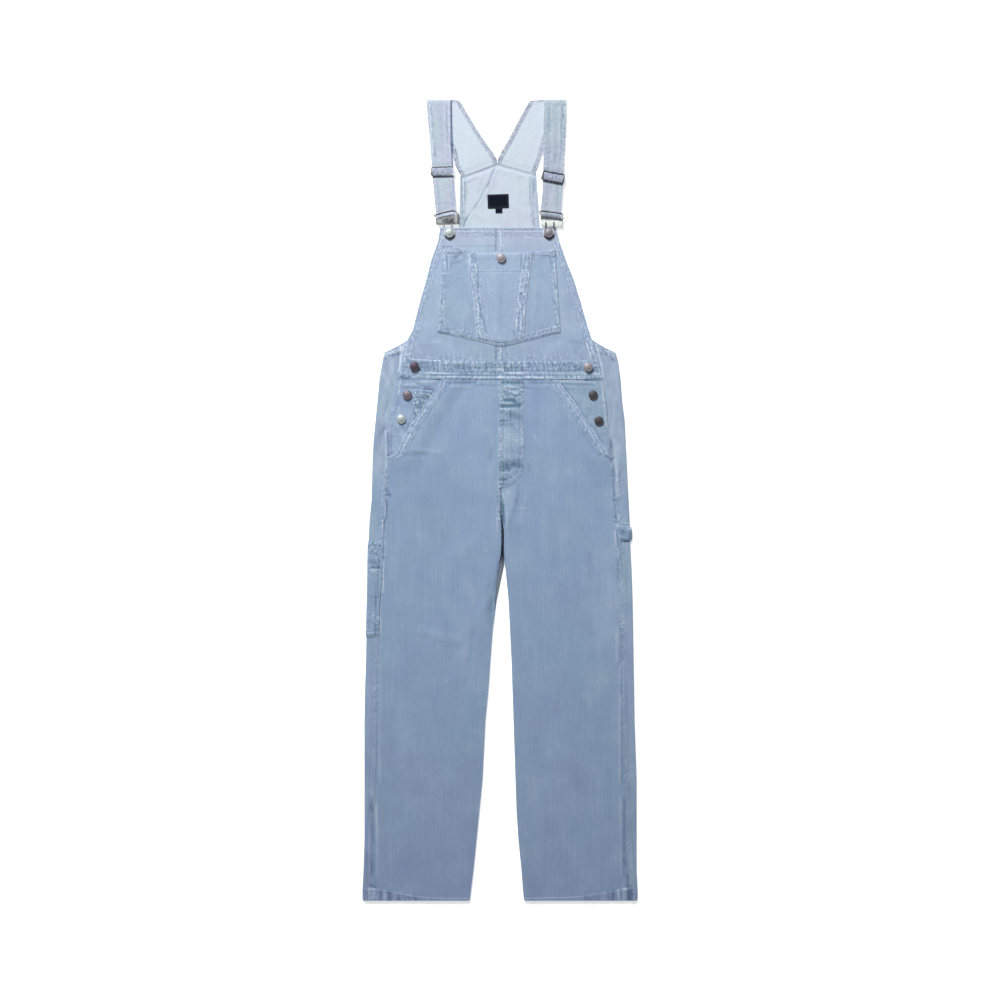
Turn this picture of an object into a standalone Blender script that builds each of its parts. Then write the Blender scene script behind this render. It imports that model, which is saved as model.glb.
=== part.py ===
"""Denim dungarees, lying on their back on a flat surface with the straps folded over to the front.

Frame: +X is the wearer's left, +Y points to the shoulders and +Z away from the surface, and the
origin lies on the surface under the middle of the bounding box. Lengths are millimetres until
wall_solid() turns them into metres. Every piece that is cut and sewn on is one closed wall.
"""
import bpy
import math

import numpy as np

MM = 0.001

# Driving dimensions, millimetres
TOTAL_LENGTH = 1601.5      # from the folds of the straps to the hems
DENIM = 1.2                # one layer of cloth
STRAP_CLOTH = 1.8          # a strap is two layers, turned and stitched together
GAP = 0.35                 # air between one piece and the next
OVERLAY_GAP = 0.5          # air under a piece that lies on a softly curved panel
HEM_Y = -794.5             # hems, in the tables' own frame
STRAP_FOLD_Y = HEM_Y + TOTAL_LENGTH
MIDDLE_Y = (HEM_Y + STRAP_FOLD_Y) / 2      # the origin lies this far above the tables' zero
HEM_WIDTH = 21.0           # turned hem of a leg
HEM_EXTRA = 0.7            # extra thickness of a hem
SEAM_WIDTH = 8.0           # felled seam with two rows of stitches
SEAM_EXTRA = 0.5           # extra thickness of a felled seam
FRONT_BASE = 2.0           # underside of the front panels over the surface
FOLD_RADIUS = (FRONT_BASE + DENIM) / 2
HIP_LIFT = 3.0             # the front rides this much higher over the pocket facings
BIB_LIFT = 1.7             # and the lower corners of the bib over the wrapped backs
FACING_BASE = 3.5          # underside of the pocket facings
WAIST_TOP = 253.5          # upper edge of the leg fronts, under the waistband
BACK_WAIST_Y = 301.5       # seam between the back legs and the back bib
OPENING_END_Y = 91.5       # lower end of the side openings and of the pocket mouths
CROTCH_Y = -118.0          # below this point the legs part
BUTTON_RADIUS = 9.0
ROW_STEP = 22.0            # spacing of the sections along a leg

# Outline of the legs, one row for each section: the outer folds and the inner edges.
# The inner edges run down the centre seam, past the crotch and along the inseams.
LEG_OUTLINE = {
    "y":           (302, 282, 246, 206, 166, 126, 86, 6, -34, -74, -118, -134, -194, -254, -314, -374,
                    -434, -554, -614, -674, -734, -774, -795),
    "right_outer": (-231, -235.5, -241.5, -245, -249, -253, -255, -257, -261, -263, -264, -264, -265, -267,
                    -268, -270, -271, -271, -271, -271, -273, -275, -275),
    "right_inner": (-1, -1, -1, -1, -1, -1, -1, 0, 2, 5, 8.3, 8.6, -6, -14.5, -19, -23, -29, -35, -41, -47,
                    -53, -58, -60),
    "left_inner":  (-0.3, -0.3, -0.3, -0.3, -0.3, -0.3, -0.3, 0.7, 2.7, 5.7, 9, 9.7, 16.5, 20, 23, 25, 27,
                    31, 33, 37, 43, 46, 48),
    "left_outer":  (231, 236.5, 241, 244, 249, 251, 253, 257, 259, 260, 262, 263, 265, 266, 267, 268, 269,
                    273, 273, 273, 273, 275, 275),
}

# Outer edges of the leg fronts: the slanted pocket mouths, then the side seams.
FRONT_EDGE = {
    "right_y": (253.5, 244, 200, 155, 120, 100, 95, 91, 6, -74, -134, -194, -254, -434, -554, -634,
                -734, -774, -795),
    "right_x": (-111, -117, -149, -180, -197, -206, -216, -225, -227, -233, -234, -240, -242, -244.5,
                -248, -252, -256, -257, -258),
    "left_y":  (253.5, 245, 200, 146, 100, 91, 80, 6, -84, -194, -394, -534, -634, -734, -774, -795),
    "left_x":  (111, 117, 151, 186, 215, 221, 226, 233, 238, 241, 242, 247, 251, 256, 259, 260),
}

# Button side of the openings: the outer edges of bib, waistband and pocket facings.
SIDE_EDGE = {
    "right_y": (305, 282, 252, 240, 176, 134, 86),
    "right_x": (-188, -194, -204, -206, -220, -228, -227),
    "left_y":  (305, 286, 250, 202, 182, 148, 134, 121, 86),
    "left_x":  (189, 195, 203, 212, 214, 216, 220, 225, 226),
}

BIB_OUTLINE = {
    "y":     (551.5, 525, 485, 445, 405, 365, 345, 325, 305, 272),
    "right": (-120, -124, -138, -148, -160, -170, -175, -186, -189, -197),
    "left":  (112.5, 118.5, 132.5, 148.5, 160.5, 172, 178, 184, 190, 198),
}
BIB_SEAM_X = -7.5          # centre seam of the bib, a little to the wearer's right
BIB_BOTTOM_Y = 272.0       # lower edge of the bib, under the waistband

# Back bib: side edges, and the upper edge with its two straps' seams meeting in a point.
BACK_BIB_SIDES = {
    "y":     (660, 551, 450, 380, 340, 320, 310, 302.2),
    "right": (-80.5, -82.5, -97, -118, -140, -165, -180, -200),
    "left":  (72.5, 80, 96, 118, 140, 165, 180, 200),
}
BACK_BIB_TOP = {
    "across": (0, 0.25, 0.49, 0.73, 1),
    "y":      (654, 667.5, 682, 671.6, 660),
}

# Straps, from the back seam up: (outer x, outer y, inner x, inner y), then down the front.
STRAP_BACK = {
    "right": ((-79, 655.5, -5.6, 683), (-82.5, 662, -6.5, 688.5), (-89.5, 674, -15, 703),
              (-96, 705.5, -29.5, 722.5), (-119, 755, -50.6, 755), (-141, 800, -77.4, 800)),
    "left":  ((71.5, 661, -4.6, 683), (74, 668, -4.4, 689), (80, 685, 5.2, 707), (86, 703, 12, 719),
              (93, 728.5, 17, 727), (106, 775, 42, 775), (129, 800, 56, 800)),
}
STRAP_FRONT = {
    "right": ((-147.5, 800, -98, 800), (-144.5, 765, -97.5, 765), (-139.5, 715, -96, 715),
              (-134.5, 645, -91.5, 645), (-129, 585, -87, 583)),
    "left":  ((133, 800, 89, 800), (133, 765, 87, 765), (130, 715, 87, 715),
              (125.5, 625, 85, 625), (122.5, 583, 81, 586)),
}
STRAP_FOLD_STEPS = 5
STRAP_ROW_STEP = 16.0
STRAP_END_RISE = 0.8       # a strap's lower end rides up on its buckle

# Soft folds in the front of the legs: a row for each, as centre, half length, half width,
# direction of its length in degrees from +X, and height.
LEG_FOLDS = {
    "x":      (30, -22, -62, -130, -96, 64, 112, 170, 178, -182, -128, 96, 150, -200, 205, -70),
    "y":      (2, -196, -286, -290, -356, -300, -410, -140, -420, -520, -640, -620, -560, -120, -300, -90),
    "length": (44, 34, 40, 34, 30, 40, 60, 34, 60, 90, 70, 70, 60, 60, 60, 50),
    "width":  (8, 9, 12, 12, 12, 14, 14, 12, 14, 16, 18, 16, 14, 12, 12, 16),
    "turn":   (76, 62, 100, 84, 78, 112, 94, 96, 84, 88, 95, 86, 92, 84, 95, 40),
    "height": (1.5, 1.2, 1.0, 0.8, 0.9, 0.8, 0.9, 0.9, 0.9, 0.9, 0.8, 0.9, 0.8, 0.8, 0.8, 0.8),
}
BIB_CREASE = {"x": -36.0, "y": 625.0, "length": 46.0, "width": 6.0, "turn": 60.0, "height": 1.3}

# Hard pieces: centres of the buttons, with what carries each one.
BUTTONS = {
    "button_waist_right": (-171, 273.5), "button_waist_left": (176, 272),
    "button_side_right_upper": (-185, 216.5), "button_side_right_lower": (-197.5, 168),
    "button_side_left_upper": (186, 216.5), "button_side_left_lower": (197.5, 164.5),
    "button_bib_pocket": (2, 490), "button_bib_right": (-101, 540), "button_bib_left": (97.5, 540),
}

SILVER_BUTTONS = ("button_side_right_lower", "button_bib_right", "button_bib_left")

COLOURS = {
    "denim": (0.30, 0.41, 0.56), "denim_inside": (0.66, 0.73, 0.82), "label_cloth": (0.02, 0.03, 0.06),
    "copper": (0.36, 0.24, 0.20), "silver": (0.60, 0.63, 0.62), "steel": (0.62, 0.62, 0.60),
}


def smooth(t):
    """Rises from 0 to 1 without a corner at either end."""
    t = min(max(t, 0.0), 1.0)
    return t * t * (3 - 2 * t)


def at(ys, xs, y):
    """Value of a table column at height y; tables run down the garment."""
    return float(np.interp(-y, [-v for v in ys], xs))


def leg_x(column, y):
    return at(LEG_OUTLINE["y"], LEG_OUTLINE[column], y)


def front_edge(side, y):
    return at(FRONT_EDGE[side + "_y"], FRONT_EDGE[side + "_x"], y)


def side_edge(side, y):
    return at(SIDE_EDGE[side + "_y"], SIDE_EDGE[side + "_x"], y)


def ridge(x, y, centre_x, centre_y, length, width, turn, height):
    """Height at (x, y) of one long soft fold."""
    angle = math.radians(turn)
    along = (x - centre_x) * math.cos(angle) + (y - centre_y) * math.sin(angle)
    across = (y - centre_y) * math.cos(angle) - (x - centre_x) * math.sin(angle)
    return height * math.exp(-(along / length) ** 2 - (across / width) ** 2)


def leg_folds(x, y):
    names = ("x", "y", "length", "width", "turn", "height")
    return sum(ridge(x, y, *row) for row in zip(*(LEG_FOLDS[name] for name in names)))


def hip_lift(x, y):
    """How much the pocket facings and the wrapped backs hold the front up at (x, y)."""
    height = float(np.interp(y, (30, 86, 262, 270, 325, 362), (0, HIP_LIFT, HIP_LIFT, BIB_LIFT, BIB_LIFT, 0)))
    start = float(np.interp(y, (60, 100, 155, 200, 250, 290, 330), (165, 143, 115, 86, 48, 60, 110)))
    return height * smooth((abs(x) - start) / 38)


def front_base(x, y):
    """Underside of the front panels."""
    return FRONT_BASE + hip_lift(x, y)


def inseam_dip(side, x, y):
    """Below the crotch a front sinks onto the back along the inseam."""
    from_inseam = abs(x - leg_x(side + "_inner", y))
    return 0.4 * (1 - smooth(from_inseam / 20)) * smooth((CROTCH_Y + 30 - y) / 60)


def leg_rows(top):
    """Heights of the sections of a leg, closer where the outline turns and at the hem."""
    turns = [122.0, 108.0, 100.0, 95.0, 91.0, 86.0, 78.0, CROTCH_Y]
    hem_top = HEM_Y + HEM_WIDTH
    plain = list(np.linspace(top, hem_top + 12, round((top - hem_top) / ROW_STEP)))
    plain = [y for y in plain if min(abs(y - t) for t in turns) > 7]
    return sorted(plain + turns + [hem_top + 1.5, hem_top, HEM_Y + 10, HEM_Y], reverse=True)


def material(name):
    found = bpy.data.materials.get(name)
    if found:
        return found
    made = bpy.data.materials.new(name)
    made.use_nodes = True
    shader = made.node_tree.nodes["Principled BSDF"]
    hard = name in ("copper", "silver", "steel")
    shader.inputs["Base Color"].default_value = (*COLOURS[name], 1)
    shader.inputs["Roughness"].default_value = 0.35 if hard else 0.9
    shader.inputs["Metallic"].default_value = 1.0 if hard else 0.0
    return made


def add_mesh(name, points, faces, slot, smooth_angle=None):
    """Makes one named object of points in millimetres, in the tables' frame."""
    mesh = bpy.data.meshes.new(name)
    mesh.from_pydata([(x * MM, (y - MIDDLE_Y) * MM, z * MM) for x, y, z in points], [], faces)
    mesh.update()
    if smooth_angle is not None:
        mesh.shade_smooth()
        mesh.set_sharp_from_angle(angle=math.radians(smooth_angle))
    made = bpy.data.objects.new(name, mesh)
    made.data.materials.append(material(slot))
    bpy.context.scene.collection.objects.link(made)
    return made


def enclosed_volume(points, faces):
    """Signed volume inside the faces: negative where they point inwards."""
    total = 0.0
    for face in faces:
        a = np.array(points[face[0]])
        for second, third in zip(face[1:-1], face[2:]):
            total += float(np.dot(a, np.cross(points[second], points[third]))) / 6
    return total


def wall_solid(name, outside, inside, slot):
    """Closed wall between two grids of points, outside[row][column] and inside[row][column]."""
    rows, cols = len(outside), len(outside[0])
    points = [p for grid in (outside, inside) for row in grid for p in row]

    def index(grid, i, j):
        return (grid * rows + i) * cols + j

    faces = []
    for i in range(rows - 1):
        for j in range(cols - 1):
            faces.append([index(0, i, j), index(0, i + 1, j), index(0, i + 1, j + 1), index(0, i, j + 1)])
            faces.append([index(1, i, j), index(1, i, j + 1), index(1, i + 1, j + 1), index(1, i + 1, j)])
    for i in range(rows - 1):
        faces.append([index(0, i, 0), index(1, i, 0), index(1, i + 1, 0), index(0, i + 1, 0)])
        last = cols - 1
        faces.append([index(0, i, last), index(0, i + 1, last), index(1, i + 1, last), index(1, i, last)])
    for j in range(cols - 1):
        faces.append([index(0, 0, j), index(0, 0, j + 1), index(1, 0, j + 1), index(1, 0, j)])
        last = rows - 1
        faces.append([index(0, last, j), index(1, last, j), index(1, last, j + 1), index(0, last, j + 1)])
    if enclosed_volume(points, faces) < 0:
        faces = [face[::-1] for face in faces]
    return add_mesh(name, points, faces, slot, smooth_angle=40)


def panel(name, grid, base, thickness, slot):
    """A panel that lies flat: grid[row][column] gives (x, y), rows run down, columns towards +X."""
    under = [[(x, y, base(x, y)) for x, y in row] for row in grid]
    over = [[(x, y, z + thickness(x, y)) for x, y, z in row] for row in under]
    return wall_solid(name, over, under, slot)


def spread(start, end, count, inset=0.0):
    """Places from one edge to the other, with one just inside each edge where a hem ends."""
    step = math.copysign(inset, end - start)
    if inset == 0 or abs(end - start) < 3 * inset:
        return list(np.linspace(start, end, count))
    return [start] + list(np.linspace(start + step, end - step, count - 2)) + [end]


def make_leg_back(side):
    """The back lies on the surface, turns round the outer fold and ends at the side seam."""
    sign = -1 if side == "right" else 1
    outside, inside = [], []
    for y in leg_rows(BACK_WAIST_Y):
        outer, inner = leg_x(side + "_outer", y), leg_x(side + "_inner", y)
        turn_x = outer - sign * FOLD_RADIUS
        edge = back_strip_edge(side, y)
        hem = HEM_EXTRA if y <= HEM_Y + HEM_WIDTH + 0.1 else 0.0
        out_row = [(x, 0.0) for x in (inner, (inner + turn_x) / 2)]
        in_row = [(x, DENIM) for x in (inner, (inner + turn_x) / 2)]
        for k in range(5):
            angle = math.radians(-90 + 45 * k)
            for row, radius in ((out_row, FOLD_RADIUS), (in_row, FOLD_RADIUS - DENIM)):
                row.append((turn_x + sign * radius * math.cos(angle),
                            FOLD_RADIUS + radius * math.sin(angle)))
        for x in spread(turn_x, edge, 4)[1:]:
            out_row.append((x, FRONT_BASE + DENIM + hem))
            in_row.append((x, FRONT_BASE))
        for rows, row in ((outside, out_row), (inside, in_row)):
            rows.append([(x, y + armhole_rise(side, x, y, z), z) for x, z in row])
    wall_solid("leg_back_" + side, outside, inside, "denim")


def back_strip_edge(side, y):
    """Inner edge of the wrapped part of a back: at the side seam, or tucked under the facing."""
    sign = -1 if side == "right" else 1
    seam = front_edge(side, min(y, 88.0)) + sign * 2 * GAP
    tucked = side_edge(side, y) - sign * 15
    return seam + (tucked - seam) * smooth((y - 92) / 40)


def armhole_rise(side, x, y, z):
    """The armhole edge of the wrapped part climbs towards the bib."""
    inward = abs(leg_x(side + "_outer", BACK_WAIST_Y)) - abs(x)
    rise = 0.46 * max(inward, 0) + 0.004 * max(inward - 15, 0) ** 2
    return rise * smooth((y - 262) / 40) if z > FOLD_RADIUS else 0.0


def front_inner(side, y):
    """Inner edge of a leg front: it draws back a little from its neighbour and over the inseam."""
    parted = 1.0 * smooth((-2 - y) / 30) * smooth((y - CROTCH_Y) / 10 + 1)
    rolled = 3.5 * math.exp(-((y + 146) / 30) ** 2) if side == "right" else 0.0
    return leg_x(side + "_inner", y) + (-1 if side == "right" else 1) * (parted + rolled)


def make_leg_front(side):
    def base(x, y):
        return front_base(x, y) - inseam_dip(side, x, y) + leg_folds(x, y) * overlay_free(x, y)

    def thickness(x, y):
        from_seam = abs(x - front_edge(side, y))
        extra = SEAM_EXTRA if from_seam < SEAM_WIDTH / 2 else 0.0
        return DENIM + max(extra, HEM_EXTRA if y <= HEM_Y + HEM_WIDTH + 0.1 else 0.0)

    grid = []
    for y in leg_rows(WAIST_TOP):
        edges = (front_edge(side, y), front_inner(side, y))
        xs = spread(*sorted(edges), 12, SEAM_WIDTH)
        grid.append([(x, y) for x in xs])
    panel("leg_front_" + side, grid, base, thickness, "denim")


def overlay_free(x, y):
    """Folds fade out under the waistband, the fly, the pocket mouths and along the edges."""
    below_hips = smooth((70 - y) / 60)
    side = "right" if x < leg_x("right_inner", y) + 0.3 else "left"
    from_edge = min(abs(x - leg_x(side + "_inner", y)), abs(x - front_edge(side, y)))
    return below_hips * smooth(from_edge / 16)


def make_facing(side):
    """Pocket facing: shows in the pocket mouth and carries the side buttons."""
    sign = -1 if side == "right" else 1
    grid = []
    for y in spread(WAIST_TOP + 4, OPENING_END_Y - 2, 12):
        outer = side_edge(side, y)
        inner = front_edge(side, max(y, 98)) - sign * 16
        grid.append([(x, y) for x in spread(*sorted((outer, inner)), 5)])
    panel("side_front_" + side, grid, lambda x, y: FACING_BASE, lambda x, y: DENIM, "denim")


def make_coin_pocket():
    """Small pocket on the right facing, cut off by the slanted mouth in front of it."""
    left, top, bottom = -173.0, 225.5, 169.0
    grid = []
    for y in spread(top, bottom, 6):
        grid.append([(x, y) for x in spread(left, front_edge("right", y) - 2 * GAP, 4)])
    base = FACING_BASE + DENIM + GAP
    panel("coin_pocket", grid, lambda x, y: base, lambda x, y: DENIM, "denim")


def waistband_base(x, y):
    """The waistband lies on the leg fronts and the bib, and drops a little onto the facings."""
    return front_base(x, 252) + DENIM + OVERLAY_GAP - 0.9 * smooth((abs(x) - 125) / 30)


def make_waistband():
    grid = []
    for part in spread(0, 1, 5):
        row = []
        for across in spread(0, 1, 27):
            top_y = float(np.interp(across, (0, 0.15, 0.5, 1), (290.5, 286, 283, 285.5)))
            bottom_y = float(np.interp(across, (0, 0.5, 1), (249, 247.5, 248)))
            y = top_y + (bottom_y - top_y) * part
            start, end = side_edge("right", y), side_edge("left", y)
            row.append((start + (end - start) * across, y))
        grid.append(row)
    panel("waistband", grid, waistband_base, lambda x, y: DENIM + 0.3, "denim")


def bib_base(x, y):
    """Underside of the front bib: it sinks to the surface beyond the back bib."""
    right, left = (at(BIB_OUTLINE["y"], BIB_OUTLINE[side], y) for side in ("right", "left"))
    from_side = max(min(x - right, left - x), 0)
    sink = (1 - smooth(from_side / 30)) * smooth((y - 340) / 25)
    return front_base(x, y) - sink


def bib_thickness(x, y):
    right, left = (at(BIB_OUTLINE["y"], BIB_OUTLINE[side], y) for side in ("right", "left"))
    hemmed = y > BIB_OUTLINE["y"][0] - 16 or min(x - right, left - x) < 9.9
    return DENIM + (SEAM_EXTRA if hemmed else 0)


def bib_top(x, y):
    return bib_base(x, y) + DENIM


def make_bib_front(side):
    """Half of the bib; the halves meet in the centre seam."""
    rows = [BIB_OUTLINE["y"][0], BIB_OUTLINE["y"][0] - 15.5, BIB_OUTLINE["y"][0] - 17]
    rows += list(np.linspace(515, 350, 9)) + [340, 325, 312, 300, 286, BIB_BOTTOM_Y]
    grid = []
    for y in rows:
        outer = at(BIB_OUTLINE["y"], BIB_OUTLINE[side], y)
        seam = BIB_SEAM_X + (-GAP if side == "right" else GAP) / 2
        start, end = sorted((outer, seam))
        if side == "right":
            xs = [start, start + 9.5, start + 11] + list(np.linspace(start + 24, end, 6))
        else:
            xs = list(np.linspace(start, end - 24, 6)) + [end - 11, end - 9.5, end]
        grid.append([(x, y) for x in xs])
    panel("bib_front_" + side, grid, bib_base, bib_thickness, "denim")


def make_bib_pocket():
    """Patch pocket with a blunt point below; its left corner of the mouth gapes a little."""
    grid = []
    for part in spread(0, 1, 12):
        row = []
        for across in spread(0, 1, 14):
            top_y = float(np.interp(across, (0, 0.15, 0.3, 0.75, 1), (511, 511.5, 501, 501, 507)))
            bottom_y = float(np.interp(across, (0, 0.31, 0.52, 0.7, 1), (341.5, 325.5, 312.3, 322.3, 341.5)))
            y = top_y + (bottom_y - top_y) * part
            right = float(np.interp(part, (0, 0.65, 1), (-113, -121, -125)))
            left = float(np.interp(part, (0, 1), (111, 121)))
            row.append((right + (left - right) * across, y))
        grid.append(row)

    def base(x, y):
        gape = 1.2 * math.exp(-((x + 92) / 14) ** 2) * smooth((y - 490) / 20)
        return bib_top(x, y) + OVERLAY_GAP + gape

    panel("bib_pocket", grid, base, lambda x, y: DENIM, "denim")


def make_bib_pocket_centre():
    """Middle part of the bib pocket, between the two slanted rows of stitches."""
    grid = []
    for part in spread(0, 1, 9):
        row = []
        for across in spread(0, 1, 8):
            y = 500.0 + (331.0 - 500.0) * part
            right = float(np.interp(part, (0, 0.22, 0.46, 0.68, 1), (-71, -63, -56, -53, -47)))
            left = float(np.interp(part, (0, 0.26, 0.49, 0.67, 1), (65, 59, 54, 51, 47)))
            row.append((right + (left - right) * across, y))
        grid.append(row)

    def base(x, y):
        return bib_top(x, y) + DENIM + 2 * OVERLAY_GAP

    panel("bib_pocket_centre", grid, base, lambda x, y: DENIM, "denim")


def fly_ripples(x, y):
    """Short creases across the fly, from folding it."""
    places = ((236, 4.0, 0.5), (224, 4.5, 0.7), (208, 5.0, 0.9), (186, 6.0, 0.5), (92, 7.0, 0.7), (58, 6.0, 0.6))
    return sum(height * math.exp(-((y - place) / width) ** 2) for place, width, height in places)


def make_fly():
    """The fly lies over the left front and turns in at its lower end."""
    top, bottom, turn = 246.0, 31.5, 78.0
    rows = list(np.linspace(top, 200, 9)) + list(np.linspace(192, 100, 8)) + list(np.linspace(94, turn, 4))
    rows += list(np.linspace(turn - 8, bottom, 7))
    grid = []
    for y in rows:
        curve = math.sqrt(max(0.0, 1 - (max(turn - y, 0) / (turn - bottom + 2)) ** 2))
        grid.append([(x, y) for x in spread(-3.0, -3.0 + 51.0 * max(curve, 0.16), 6)])

    def base(x, y):
        return front_base(x, y) + DENIM + OVERLAY_GAP

    panel("fly", grid, base, lambda x, y: DENIM + fly_ripples(x, y), "denim")


def back_bib_lift(x, y):
    return ridge(x, y, *(BIB_CREASE[name] for name in ("x", "y", "length", "width", "turn", "height")))


def make_bib_back():
    """The back bib lies on the surface, its inner face up; one crease runs across it."""
    grid = []
    downs = list(np.linspace(0, 0.36, 12)) + list(np.linspace(0.42, 1, 9))
    for down in downs:
        row = []
        for across in spread(0, 1, 16):
            start, end = (at(BACK_BIB_SIDES["y"], BACK_BIB_SIDES[side], 660 - 358 * down)
                          for side in ("right", "left"))
            x = start + (end - start) * across
            top = float(np.interp(across, BACK_BIB_TOP["across"], BACK_BIB_TOP["y"]))
            row.append((x, top + (BACK_WAIST_Y + 2 * GAP - top) * down))
        grid.append(row)
    panel("bib_back", grid, back_bib_lift, lambda x, y: DENIM, "denim_inside")


def between(rows, step):
    """Fills in rows of points so that none is further than step from the next."""
    filled = [rows[0]]
    for a, b in zip(rows, rows[1:]):
        count = max(1, round(max(math.dist(a[:2], b[:2]), math.dist(a[2:], b[2:])) / step))
        filled += [tuple(p + (q - p) * k / count for p, q in zip(a, b)) for k in range(1, count + 1)]
    return filled


def make_strap(side):
    """One ribbon: up from the back seam, over the fold and down the front to the buckle."""
    radius = STRAP_CLOTH + GAP
    turn_y = STRAP_FOLD_Y - radius
    back = between(STRAP_BACK[side], STRAP_ROW_STEP * 1.5)
    front = between(STRAP_FRONT[side], STRAP_ROW_STEP)
    front_length = front[0][1] - front[-1][1]
    sections = [(row, 0.0, (0, -1)) for row in back]
    for k in range(1, STRAP_FOLD_STEPS):
        part = k / STRAP_FOLD_STEPS
        angle = math.radians(-90 + 180 * part)
        wider = smooth(2 * part)
        row = [p + (q - p) * wider for p, q in zip(back[-1], front[0])]
        row[1] = row[3] = turn_y
        sections.append((tuple(row), None, (math.cos(angle), math.sin(angle))))
    sections += [(row, STRAP_END_RISE * smooth((front[0][1] - row[1]) / front_length), (0, 1))
                 for row in front]
    outside, inside = [], []
    for (outer_x, outer_y, inner_x, inner_y), rise, (out_y, out_z) in sections:
        out_row, in_row = [], []
        for part in (0.0, 0.12, 0.5, 0.88, 1.0):
            x = outer_x + (inner_x - outer_x) * part
            y = outer_y + (inner_y - outer_y) * part
            for row, reach in ((out_row, radius), (in_row, radius - STRAP_CLOTH)):
                row.append((x, y + out_y * reach, radius + out_z * reach + (rise or 0.0)))
        outside.append(out_row)
        inside.append(in_row)
    wall_solid("strap_" + side, outside, inside, "denim")


def strap_middle(side, y):
    """Middle and width of a strap's front at height y."""
    rows = STRAP_FRONT[side]
    ys = [(row[1] + row[3]) / 2 for row in rows]
    outer, inner = at(ys, [row[0] for row in rows], y), at(ys, [row[2] for row in rows], y)
    return (outer + inner) / 2, abs(outer - inner)


def strap_top_z(side, y):
    front = STRAP_FRONT[side]
    part = smooth((front[0][1] - y) / (front[0][1] - front[-1][1]))
    return 2 * STRAP_CLOTH + 2 * GAP + STRAP_END_RISE * part


def tube(name, points, radius, slot, sides=8, closed=True):
    """A round bar bent along points in the X-Y plane."""
    ring, count = [], len(points)
    for i, (x, y, z) in enumerate(points):
        before = points[(i - 1) % count] if closed or i else points[i]
        after = points[(i + 1) % count] if closed or i < count - 1 else points[i]
        along = np.array(after, float) - np.array(before, float)
        along /= np.linalg.norm(along)
        across = np.cross((0, 0, 1), along)
        across /= np.linalg.norm(across)
        up = np.cross(along, across)
        for k in range(sides):
            angle = 2 * math.pi * k / sides
            offset = across * math.cos(angle) * radius + up * math.sin(angle) * radius
            ring.append((x + offset[0], y + offset[1], z + offset[2]))
    faces = []
    for i in range(count if closed else count - 1):
        for k in range(sides):
            a, b = i * sides + k, i * sides + (k + 1) % sides
            c, d = (i + 1) % count * sides + (k + 1) % sides, (i + 1) % count * sides + k
            faces.append([a, b, c, d])
    if not closed:
        faces.append(list(range(sides))[::-1])
        faces.append([(count - 1) * sides + k for k in range(sides)])
    return add_mesh(name, ring, faces, slot, smooth_angle=60)


def rounded_rectangle(width, height, corner, steps=3):
    """Points round a rectangle with round corners, anticlockwise about its middle."""
    points = []
    for quarter, (sx, sy) in enumerate(((1, 1), (-1, 1), (-1, -1), (1, -1))):
        cx, cy = sx * (width / 2 - corner), sy * (height / 2 - corner)
        for k in range(steps + 1):
            angle = math.radians(90 * quarter + 90 * k / steps)
            points.append((cx + corner * math.cos(angle), cy + corner * math.sin(angle)))
    return points


def turned(points, degrees, centre, z):
    """Points turned about their middle, then moved to centre."""
    c, s = math.cos(math.radians(degrees)), math.sin(math.radians(degrees))
    return [(centre[0] + x * c - y * s, centre[1] + x * s + y * c, z) for x, y in points]


def make_slider(side):
    """Rectangular wire slide across the strap."""
    centre_y, tilt = (664.0, 2.0) if side == "right" else (652.0, -11.5)
    middle, width = strap_middle(side, centre_y)
    z = strap_top_z(side, centre_y) + GAP + 1.3
    frame = rounded_rectangle(width + 3.0, 19.0, 3.0)
    tube("slider_" + side, turned(frame, tilt, (middle, centre_y), z), 1.3, "steel", sides=6)


def union(base, others):
    """Joins solids into one body."""
    for other in others:
        other.hide_render = True
        other.display_type = "WIRE"
        joined = base.modifiers.new(other.name, "BOOLEAN")
        joined.operation = "UNION"
        joined.object = other


def plate(name, width, height, depth, degrees, centre, z, slot):
    """A flat plate with round corners."""
    outline = turned(rounded_rectangle(width, height, 1.5, 2), degrees, centre, z)
    count = len(outline)
    points = outline + [(x, y, z + depth) for x, y, z in outline]
    faces = [list(range(count))[::-1], list(range(count, 2 * count))]
    faces += [[i, (i + 1) % count, count + (i + 1) % count, count + i] for i in range(count)]
    return add_mesh(name, points, faces, slot)


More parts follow.
